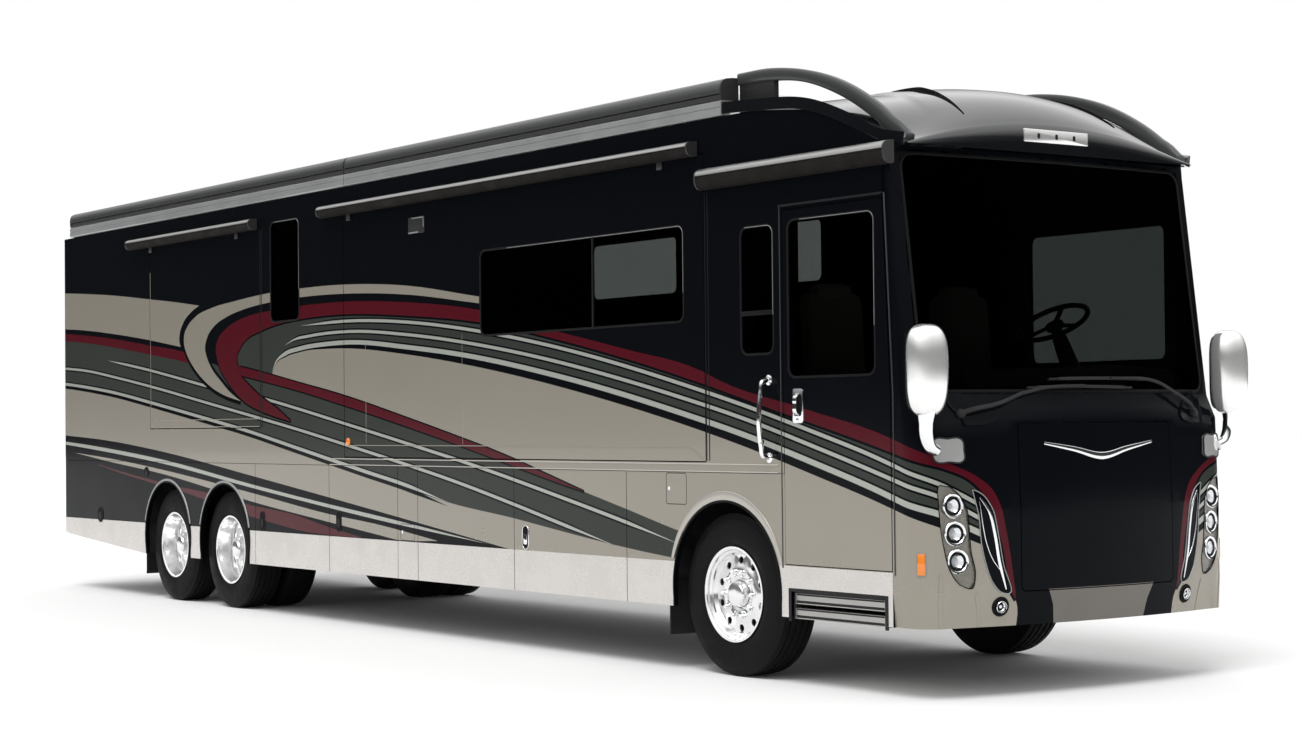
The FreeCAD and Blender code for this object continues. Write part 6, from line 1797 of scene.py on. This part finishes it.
# brow sections: X, half width, height at the edges, height at the middle
BROW = [(5.05, 1.285, 3.570, 3.700), (5.33, 1.285, 3.548, 3.699), (5.60, 1.285, 3.508, 3.694),
        (5.82, 1.284, 3.448, 3.678), (6.00, 1.280, 3.372, 3.648), (6.22, 1.250, 3.268, 3.556),
        (6.33, 1.218, 3.246, 3.462), (6.375, 1.204, 3.241, 3.408), (6.390, 1.200, 3.240, 3.375),
        (6.394, 1.199, 3.236, 3.330), (6.394, 1.199, 3.232, 3.233)]


def brow_surface(stations, across):
    """Arc sections joined by a smooth line through the brow's stations; across runs -1 to 1.
    Its middle third stands a little proud, fading out towards the front."""
    x, half, edge, top = (stations[:, k][:, None] for k in range(4))
    rise = np.maximum(top - edge, 1e-4)
    radius = (half ** 2 + rise ** 2) / (2 * rise)
    y = across[None, :] * half
    z = top - radius + np.sqrt(np.maximum(radius ** 2 - y ** 2, 0))
    reach = 0.52 + 0.30 * (x - 5.05)
    step = np.clip((reach - np.abs(y)) / 0.035, 0, 1)
    fade = np.clip((6.20 - x) / 0.45, 0, 1) * np.clip((x - 5.05) / 0.10, 0, 1)
    z = z + 0.016 * step * step * (3 - 2 * step) * fade
    return np.stack([np.broadcast_to(x, y.shape), y, z], -1)


def rail_bar(side, rows=36, around=20):
    """Roof rail: a superellipse carried along the middle of two arcs, thicker at its foot."""
    x = np.linspace(4.730, 6.352, rows)
    top = np.interp(x, *smooth_line([(4.73, 3.852), (5.05, 3.846), (5.40, 3.792),
                                     (5.74, 3.686), (6.00, 3.556), (6.22, 3.412),
                                     (6.352, 3.300)], 8).T)
    under = np.interp(x, *smooth_line([(4.73, 3.772), (5.05, 3.764), (5.40, 3.712),
                                       (5.70, 3.606), (5.96, 3.470), (6.12, 3.360),
                                       (6.22, 3.262), (6.352, 3.246)], 8).T)
    middle, thick = (top + under) / 2, (top - under) / 2
    slope = np.gradient(middle, x)
    thick = thick / np.sqrt(1 + slope ** 2)
    lean = np.stack([-slope, np.ones_like(x)], -1) / np.sqrt(1 + slope ** 2)[:, None]
    angle = np.arange(around) * TAU / around
    wide, tall = power(np.cos(angle), 0.5), power(np.sin(angle), 0.5)
    place = np.empty((rows, around, 3))
    place[..., 0] = x[:, None] + lean[:, :1] * thick[:, None] * tall
    place[..., 1] = side * 1.1425 + 0.0315 * wide[None]
    place[..., 2] = middle[:, None] + lean[:, 1:] * thick[:, None] * tall
    place[..., 2] = np.maximum(place[..., 2], 3.246)
    count = (rows - 1) * around
    faces = quads(rows, around, True)
    faces += [list(range(around))[::-1], list(range(count, count + around))]
    return place.reshape(-1, 3), faces


class MOTORHOME_OT_brow(bpy.types.Operator):
    """Smooth roof brow with its rolled lip, and the two roof rails"""
    bl_idname = "motorhome.brow"
    bl_label = "Roof brow and rails"

    def execute(self, context):
        stations = np.vstack([smooth_line(BROW[:8], 7), np.array(BROW[8:])])
        grid = brow_surface(stations, np.linspace(-1, 1, 97))
        run, across = np.gradient(grid, axis=0), np.gradient(grid, axis=1)
        normal = np.cross(run, across)
        normal /= np.maximum(np.linalg.norm(normal, axis=-1), 1e-9)[..., None]
        shell = closed_grid(grid, normal, 0.020)
        made = piece("brow_shell", shell, "coach", ["brow_black"], smooth=50)
        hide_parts("roof_brow")
        # Near-black blades along the brow's two creases: painted shade standing in for the dark line
        # of each crease.
        x = np.linspace(5.45, 6.27, 30)
        side_y = np.linspace(0.50, 0.64, 30)
        half, edge, top = (np.interp(x, stations[:, 0], stations[:, k]) for k in (1, 2, 3))
        radius = (half ** 2 + (top - edge) ** 2) / (2 * (top - edge))
        z = top - radius + np.sqrt(radius ** 2 - side_y ** 2)
        fade = np.clip((6.20 - x) / 0.45, 0, 1) * 0.016
        path = np.stack([x, side_y, z + fade + 0.002], -1)
        crease_shade = swept(path, rectangle(0.006, 0.045, 0.002), up=(0, 0, 1), scale=np.interp(
            x, [5.45, 5.8, 6.27], [0.2, 1.0, 0.15]))
        piece("brow_creases", both(crease_shade), "coach", ["seal_black"])
        parts = []
        for side in (-1, 1):
            parts.append(marked(rail_bar(side), 0))
            low, high = sorted((side * 1.122, side * 1.163))
            parts.append(marked(slab((4.735, low, 3.580), (5.10, high, 3.790), 2, 0.010), 1))
            parts.append(marked(turned([(-0.004, 0), (-0.004, 0.012), (0.003, 0.012),
                                        (0.004, 0.008), (0.004, 0)],
                                       (6.300, side * 1.1725, 3.285), (0, side, 0), 14), 1))
        made = piece("roof_rails_shaped", joined(*parts), "coach",
                     ["case_grey", "moulded_black"], smooth=50)
        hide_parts("roof_rails")
        return {"FINISHED"}


class MOTORHOME_OT_roof_gear(bpy.types.Operator):
    """Shaped air conditioner shrouds with louvres, and the roof fans"""
    bl_idname = "motorhome.roof_gear"
    bl_label = "Roof gear"

    def execute(self, context):
        parts = []
        for x in (-4.7, -0.7, 3.3):
            shroud = pillow((x, 0, 3.795), (0.515, 0.355, 0.129), 0.30, 0.28, 25, 64)
            shroud[0][:, 2] = np.maximum(shroud[0][:, 2], 3.692)
            shroud[0][:, 0] += 0.05 * np.maximum(shroud[0][:, 2] - 3.80, 0) * -4 * (
                shroud[0][:, 0] > x + 0.2)
            parts.append(marked(shroud, 0))
            for y in (-0.352, 0.352):
                for z in np.arange(3.735, 3.86, 0.022):
                    low, high = sorted((y, y - math.copysign(0.02, y)))
                    parts.append(marked(slab((x - 0.36, low - 0.003, z),
                                             (x + 0.22, high + 0.003, z + 0.010), 0, 0.003,
                                             0.002), 1))
        made = piece("roof_shrouds", joined(*parts), "coach",
                     ["roof_white", "moulded_black"], smooth=45)
        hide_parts("air_conditioners")
        fans = []
        for x, y in ((-2.6, 0.35), (1.4, -0.35), (-5.9, 0.0)):
            base = crown(np.array([y]))[0]
            fans.append(marked(pillow((x, y, base + 0.045), (0.26, 0.26, 0.075), 0.35, 0.25, 17,
                                      40), 0))
        piece("roof_fans", joined(*fans), "coach", ["dash_grey"], smooth=45)
        return {"FINISHED"}


class MOTORHOME_OT_tail_trim(bpy.types.Operator):
    """Tail lamps, clearance lamps and the engine door's louvres"""
    bl_idname = "motorhome.tail_trim"
    bl_label = "Tail trim"

    def execute(self, context):
        parts = []
        for low, high, mark in ((1.00, 1.21, 0), (1.22, 1.43, 0), (1.44, 1.58, 1),
                                (1.59, 1.70, 2)):
            outline = rectangle(0.140, high - low, 0.03, 5)
            share = outline[:, 0] / 1.155
            line = np.stack([TAIL_CENTRE + (1.0 + share) * (-6.79 - TAIL_CENTRE) * 0.87,
                             outline[:, 1] + (low + high) / 2], -1)
            points, triangles, _ = cut_sheet(loops(line), [])
            shape, _ = thick_sheet(points, triangles, lifted(tail_surface, 0.010), 0.012,
                                   [mark] * len(triangles))
            here, normal = tail_surface(line[:, 0], line[:, 1])
            bezel = swept(here + normal * 0.004, rectangle(0.010, 0.012, 0.004), up=normal,
                          closed=True)
            parts += [shape, marked(bezel, 3)]
        piece("tail_lamps", both(joined(*parts)), "coach",
              ["red_lens", "amber_lens", "lamp_white", "chrome"])
        small = []
        for share in (0.45, 0.80):
            here, normal = tail_surface(np.array([TAIL_CENTRE + share * 1.155]),
                                        np.array([3.45]))
            small.append(turned([(-0.002, 0), (-0.002, 0.026), (0.004, 0.025), (0.008, 0.014),
                                 (0.009, 0)], here[0], normal[0], 20))
        piece("tail_markers", both(joined(*small)), "coach", ["red_lens"])
        slats = []
        for z in np.arange(0.975, 1.56, 0.042):
            path = np.array([tail_place(np.array([TAIL_CENTRE + s]), np.array([z]))[0]
                             + (0.024, 0, 0) for s in np.linspace(-0.60, 0.60, 17)])
            slats.append(swept(path, [(-0.020, -0.006), (-0.017, -0.009), (0.016, 0.004),
                                      (0.019, 0.008), (0.016, 0.010), (-0.017, -0.003)],
                               up=(-0.6, 0, 1)))
        piece("engine_louvres", joined(*slats), "engine_door", ["charcoal"])
        return {"FINISHED"}


def cushion(low, high, crown_size, side_pull, seams, rows=33, columns=64):
    """Crowned cushion: a superellipsoid whose sides pull in between the corners, with seams
    that dip along lines across its width."""
    low, high = np.asarray(low, float), np.asarray(high, float)
    centre, radii = (low + high) / 2, (high - low) / 2
    points, faces = pillow((0, 0, 0), (1, 1, 1), crown_size, 0.32, rows, columns)
    pull = 1 - side_pull * (1 - np.minimum(np.abs(points[:, :2]), 1) ** 2)[:, ::-1]
    points[:, :2] *= pull
    for seam in seams:
        dip = np.exp(-((points[:, 0] - seam) / 0.035) ** 2) * (np.abs(points[:, 2]) > 0.4)
        points[:, 2] *= 1 - 0.10 * dip
    return points * radii + centre, faces


class MOTORHOME_OT_cab(bpy.types.Operator):
    """Padded cab seats on pedestals, and the dash with its column, screen and cluster"""
    bl_idname = "motorhome.cab"
    bl_label = "Cab"

    def execute(self, context):
        for hand, x, y in (("driver", 5.080, 0.600), ("passenger", 4.960, -0.420)):
            seat = cushion((x - 0.235, y - 0.245, 1.655), (x + 0.250, y + 0.245, 1.805), 0.34,
                           0.05, (-0.35, 0.1, 0.5))
            back = cushion((-0.42, -0.245, -0.068), (0.34, 0.245, 0.062), 0.36, 0.06,
                           (-0.5, -0.1, 0.3))
            lean = math.radians(94)
            spin = np.array([[math.cos(lean), 0, -math.sin(lean)], [0, 1, 0],
                             [math.sin(lean), 0, math.cos(lean)]])
            back = ((back[0] @ spin.T) + (x - 0.215, y, 2.135), back[1])
            back[0][:, 2] = np.minimum(back[0][:, 2], 2.475)
            head = cushion((x - 0.285, y - 0.150, 2.380), (x - 0.175, y + 0.150, 2.520), 0.5,
                           0.03, ())
            soft = piece(f"seat_{hand}", joined(seat, back, head), "coach",
                         ["hide"], smooth=60)
            pipe = np.array([(x + 0.006 + 0.236 * power(math.cos(a), 0.32),
                              y + 0.238 * power(math.sin(a), 0.32), 1.730)
                             for a in np.linspace(0, TAU, 72, endpoint=False)])
            base = [marked(tube(pipe, 0.005, 8, closed=True), 0),
                    marked(turned([(0.0, 0), (0.0, 0.150), (0.012, 0.150), (0.04, 0.095),
                                   (0.25, 0.085), (0.29, 0.14), (0.312, 0.15), (0.312, 0)],
                                  (x, y, 1.3405), (0, 0, 1), 40), 1)]
            for arm_y in (-0.245, 0.225):
                base.append(marked(slab((x - 0.20, y + arm_y, 1.905), (x + 0.16, y + arm_y + 0.02,
                                                                      1.955), 0, 0.009), 0))
            made = piece(f"seat_base_{hand}", joined(*base), "coach",
                         ["hide", "moulded_black"], smooth=45)
            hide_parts("cab_seats")
        profile = smooth_line([(5.885, 1.345), (5.895, 1.60), (5.935, 1.78), (5.985, 1.885),
                               (6.060, 1.935), (6.170, 1.958), (6.290, 1.940), (6.315, 1.880)],
                              6)
        profile = np.vstack([profile, [(6.315, 1.345)]])
        across = np.linspace(-0.698, 1.098, 31)
        bulge = 0.028 * np.exp(-((across - 0.6) / 0.30) ** 2)
        place = np.stack([np.broadcast_to(profile[None, :, 0], (31, len(profile))),
                          np.broadcast_to(across[:, None], (31, len(profile))),
                          profile[None, :, 1] * np.ones((31, 1))], -1).copy()
        place[:, :-3, 2] -= 0.028 * np.clip((profile[None, :-3, 1] - 1.7) / 0.25, 0, 1)
        place[:, :-3, 2] += bulge[:, None] * np.clip((profile[None, :-3, 1] - 1.7) / 0.25, 0, 1)
        count = len(profile)
        faces = quads(31, count, True) + [list(range(count))[::-1],
                                          list(range(30 * count, 31 * count))]
        tilt = math.radians(27)
        axis = np.array([-math.sin(tilt), 0, math.cos(tilt)])
        top = np.array([5.750, 0.600, 2.240]) - axis * 0.0403
        column = turned([(0.0, 0.0), (0.0, 0.036), (-0.05, 0.037), (-0.07, 0.048),
                         (-0.20, 0.056), (-0.33, 0.062), (-0.33, 0.0)], top, axis, 32)
        screen_part = slab((5.905, -0.02, 1.700), (5.935, 0.26, 1.860), 0, 0.012)
        cluster = slab((5.930, 0.42, 1.850), (5.965, 0.78, 1.915), 0, 0.020)
        made = piece("dash", joined(marked((place.reshape(-1, 3), faces), 0), marked(column, 1),
                                    marked(screen_part, 1), marked(cluster, 1)), "coach",
                     ["dash_grey", "moulded_black"], smooth=40)
        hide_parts("dashboard")
        return {"FINISHED"}


class MOTORHOME_OT_steps(bpy.types.Operator):
    """Ribbed grips and end plates on the two sliding entry steps"""
    bl_idname = "motorhome.steps"
    bl_label = "Entry steps"

    def execute(self, context):
        for body, low, top, deep in (("step_upper", 0.504, 0.568, 0.330),
                                     ("step_lower", 0.414, 0.478, 0.400)):
            parts = []
            for y in np.arange(-1.245, -1.265 + deep - 0.02, 0.042):
                parts.append(marked(slab((5.42, y, top - 0.001), (6.20, y + 0.016, top + 0.004),
                                         0, 0.003, 0.002), 0))
            parts.append(marked(slab((5.40, -1.268, low + 0.006), (6.215, -1.262, low + 0.022),
                                     0, 0.003, 0.001), 1))
            parts.append(marked(slab((5.40, -1.268, top - 0.012), (6.215, -1.262, top - 0.002),
                                     0, 0.003, 0.001), 1))
            piece(f"{body}_grips", joined(*parts), body,
                  ["seal_black", "moulded_black"])
        return {"FINISHED"}


# ---------------------------------------------------------------- frame nodes and stage
NODE_FINISHES = {
    "air_conditioners": "charcoal", "basement": "chassis", "chassis_frame": "chassis",
    "coach_glass": "screen_glass", "entry_door_glass": "dark_glass",
    "slide_out_main_glass": "dark_glass", "slide_out_lounge_glass": "dark_glass",
    "engine_block": "cast_grey", "floor_deck": "chassis", "front_axle": "chassis",
    "rear_axles": "chassis", "hitch_receiver": "chassis", "knuckle_left": "chassis",
    "knuckle_right": "chassis", "mud_flaps": "rubber", "roof": "roof_white",
    "roof_brow": "body_black", "roof_rails": "case_grey", "steering_wheel": "moulded_black",
    "step_lower": "tread_metal", "step_upper": "tread_metal", "dashboard": "dash_grey",
    "cab_seats": "hide", "awning_cases": "case_grey", "topper_main": "aluminium",
    "topper_bed": "aluminium", "topper_lounge": "aluminium", "mirrors": "chrome",
}


class MOTORHOME_OT_frame_finishes(bpy.types.Operator):
    """A finish on every part of the frame that stays in view"""
    bl_idname = "motorhome.frame_finishes"
    bl_label = "Frame finishes"

    def execute(self, context):
        for node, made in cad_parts.items():
            chosen = finish(NODE_FINISHES.get(node, "body_black"))
            for entry in made.material_slots:
                entry.material = chosen
        return {"FINISHED"}


def light_path_mask(tree):
    """Two masks: 1 for what the camera sees, straight or through glass; and 1 for light that
    reaches an indoor surface through glass."""
    path = tree.nodes.new("ShaderNodeLightPath")
    deep = sums(tree, "MINIMUM", path.outputs["Diffuse Depth"], 1.0)
    indoor = sums(tree, "MULTIPLY", path.outputs["Is Transmission Ray"], deep)
    seen = sums(tree, "MAXIMUM", path.outputs["Is Camera Ray"],
                sums(tree, "SUBTRACT", path.outputs["Is Transmission Ray"], indoor))
    return seen, indoor, path


class MOTORHOME_OT_stage(bpy.types.Operator):
    """Pale floor, soft studio light and the camera"""
    bl_idname = "motorhome.stage"
    bl_label = "Stage"

    def execute(self, context):
        scene = context.scene
        reach = 120.0
        mesh = bpy.data.meshes.new("floor")
        mesh.from_pydata([(-reach, -reach, 0), (reach, -reach, 0), (reach, reach, 0),
                          (-reach, reach, 0)], [], [(0, 1, 2, 3)])
        floor = bpy.data.objects.new("floor", mesh)
        scene.collection.objects.link(floor)
        material = bpy.data.materials.new("floor")
        material.use_nodes = True
        tree = material.node_tree
        shader = tree.nodes["Principled BSDF"]
        shader.inputs["Base Color"].default_value = (0.96, 0.96, 0.96, 1)
        shader.inputs["Specular IOR Level"].default_value = 0.1
        cloud = noise(tree, stretched(tree, (1, 1, 1)), 0.8, 3)
        tree.links.new(ranged(tree, cloud, 0.3, 0.7, 0.75, 0.9), shader.inputs["Roughness"])
        mesh.materials.append(material)
        world = bpy.data.worlds.new("studio")
        scene.world = world
        world.use_nodes = True
        tree = world.node_tree
        tree.nodes.clear()
        mask, indoor, path = light_path_mask(tree)
        place = tree.nodes.new("ShaderNodeTexCoord")
        split = tree.nodes.new("ShaderNodeSeparateXYZ")
        tree.links.new(place.outputs["Generated"], split.inputs[0])
        height = split.outputs["Z"]
        mirror_tone = ranged(tree, height, 0.16, 0.52, 0.04, 1.25)
        plain = tree.nodes.new("ShaderNodeMix")
        plain.inputs["A"].default_value = 0.82
        tree.links.new(path.outputs["Is Glossy Ray"], plain.inputs["Factor"])
        tree.links.new(mirror_tone, plain.inputs["B"])
        strength = tree.nodes.new("ShaderNodeMix")
        strength.inputs["B"].default_value = 1.0
        tree.links.new(mask, strength.inputs["Factor"])
        tree.links.new(plain.outputs["Result"], strength.inputs["A"])
        back = tree.nodes.new("ShaderNodeBackground")
        back.inputs["Color"].default_value = (1, 1, 1, 1)
        let_in = sums(tree, "SUBTRACT", 1.0, sums(tree, "MULTIPLY", indoor, 0.90))
        tree.links.new(sums(tree, "MULTIPLY", strength.outputs["Result"], let_in),
                       back.inputs["Strength"])
        out = tree.nodes.new("ShaderNodeOutputWorld")
        tree.links.new(back.outputs[0], out.inputs["Surface"])
        sun = bpy.data.lights.new("key", "SUN")
        sun.energy = 1.5
        sun.angle = math.radians(28)
        lamp = bpy.data.objects.new("key", sun)
        scene.collection.objects.link(lamp)
        toward = Vector((-0.28, 0.42, -1.0)).normalized()
        lamp.rotation_euler = toward.to_track_quat("-Z", "Y").to_euler()
        yaw, pitch, roll = (math.radians(value) for value in (144.8796, 1.1258, -0.5691))
        ahead = Vector((math.cos(yaw) * math.cos(pitch), math.sin(yaw) * math.cos(pitch),
                        math.sin(pitch)))
        right = Vector((math.sin(yaw), -math.cos(yaw), 0.0))
        up = right.cross(ahead)
        right, up = (right * math.cos(roll) + up * math.sin(roll),
                     up * math.cos(roll) - right * math.sin(roll))
        camera = bpy.data.objects.new("camera", bpy.data.cameras.new("camera"))
        scene.collection.objects.link(camera)
        camera.data.lens = 64.885
        camera.data.sensor_width = 36.0
        camera.data.clip_end = 400.0
        turn = Matrix((right, up, -ahead)).transposed().to_4x4()
        camera.matrix_world = Matrix.Translation((16.6695, -10.2642, 1.6180)) @ turn
        scene.camera = camera
        scene.view_settings.view_transform = "Standard"
        return {"FINISHED"}


STEPS = [
    MOTORHOME_OT_side_paint, MOTORHOME_OT_nose, MOTORHOME_OT_tail,
    MOTORHOME_OT_wheels, MOTORHOME_OT_lamps, MOTORHOME_OT_window_seals,
    MOTORHOME_OT_awnings, MOTORHOME_OT_side_trim, MOTORHOME_OT_hardware,
    MOTORHOME_OT_mirrors, MOTORHOME_OT_nose_trim, MOTORHOME_OT_brow,
    MOTORHOME_OT_roof_gear, MOTORHOME_OT_tail_trim, MOTORHOME_OT_cab,
    MOTORHOME_OT_steps, MOTORHOME_OT_frame_finishes, MOTORHOME_OT_stage,
]


class MOTORHOME_PT_panel(bpy.types.Panel):
    """Lists the steps that build the motorhome, and their settings"""
    bl_idname = "MOTORHOME_PT_panel"
    bl_label = "Motorhome"
    bl_space_type = "VIEW_3D"
    bl_region_type = "UI"
    bl_category = "Motorhome"

    def draw(self, context):
        for group in (context.scene.motorhome_sizes, context.scene.motorhome_colours):
            for name in group.__annotations__:
                self.layout.prop(group, name)
        for step in STEPS:
            self.layout.operator(step.bl_idname)


CLASSES = [MotorhomeColours, MotorhomeSizes, *STEPS, MOTORHOME_PT_panel]


def register():
    for cls in CLASSES:
        bpy.utils.register_class(cls)
    bpy.types.Scene.motorhome_colours = bpy.props.PointerProperty(type=MotorhomeColours)
    bpy.types.Scene.motorhome_sizes = bpy.props.PointerProperty(type=MotorhomeSizes)


def unregister():
    del bpy.types.Scene.motorhome_sizes
    del bpy.types.Scene.motorhome_colours
    for cls in reversed(CLASSES):
        bpy.utils.unregister_class(cls)


def plain(box):
    return [[float(value) for value in corner] for corner in box]


def main():
    register()
    for step in STEPS:
        group, name = step.bl_idname.split(".")
        getattr(getattr(bpy.ops, group), name)()


if __name__ == "__main__":
    main()
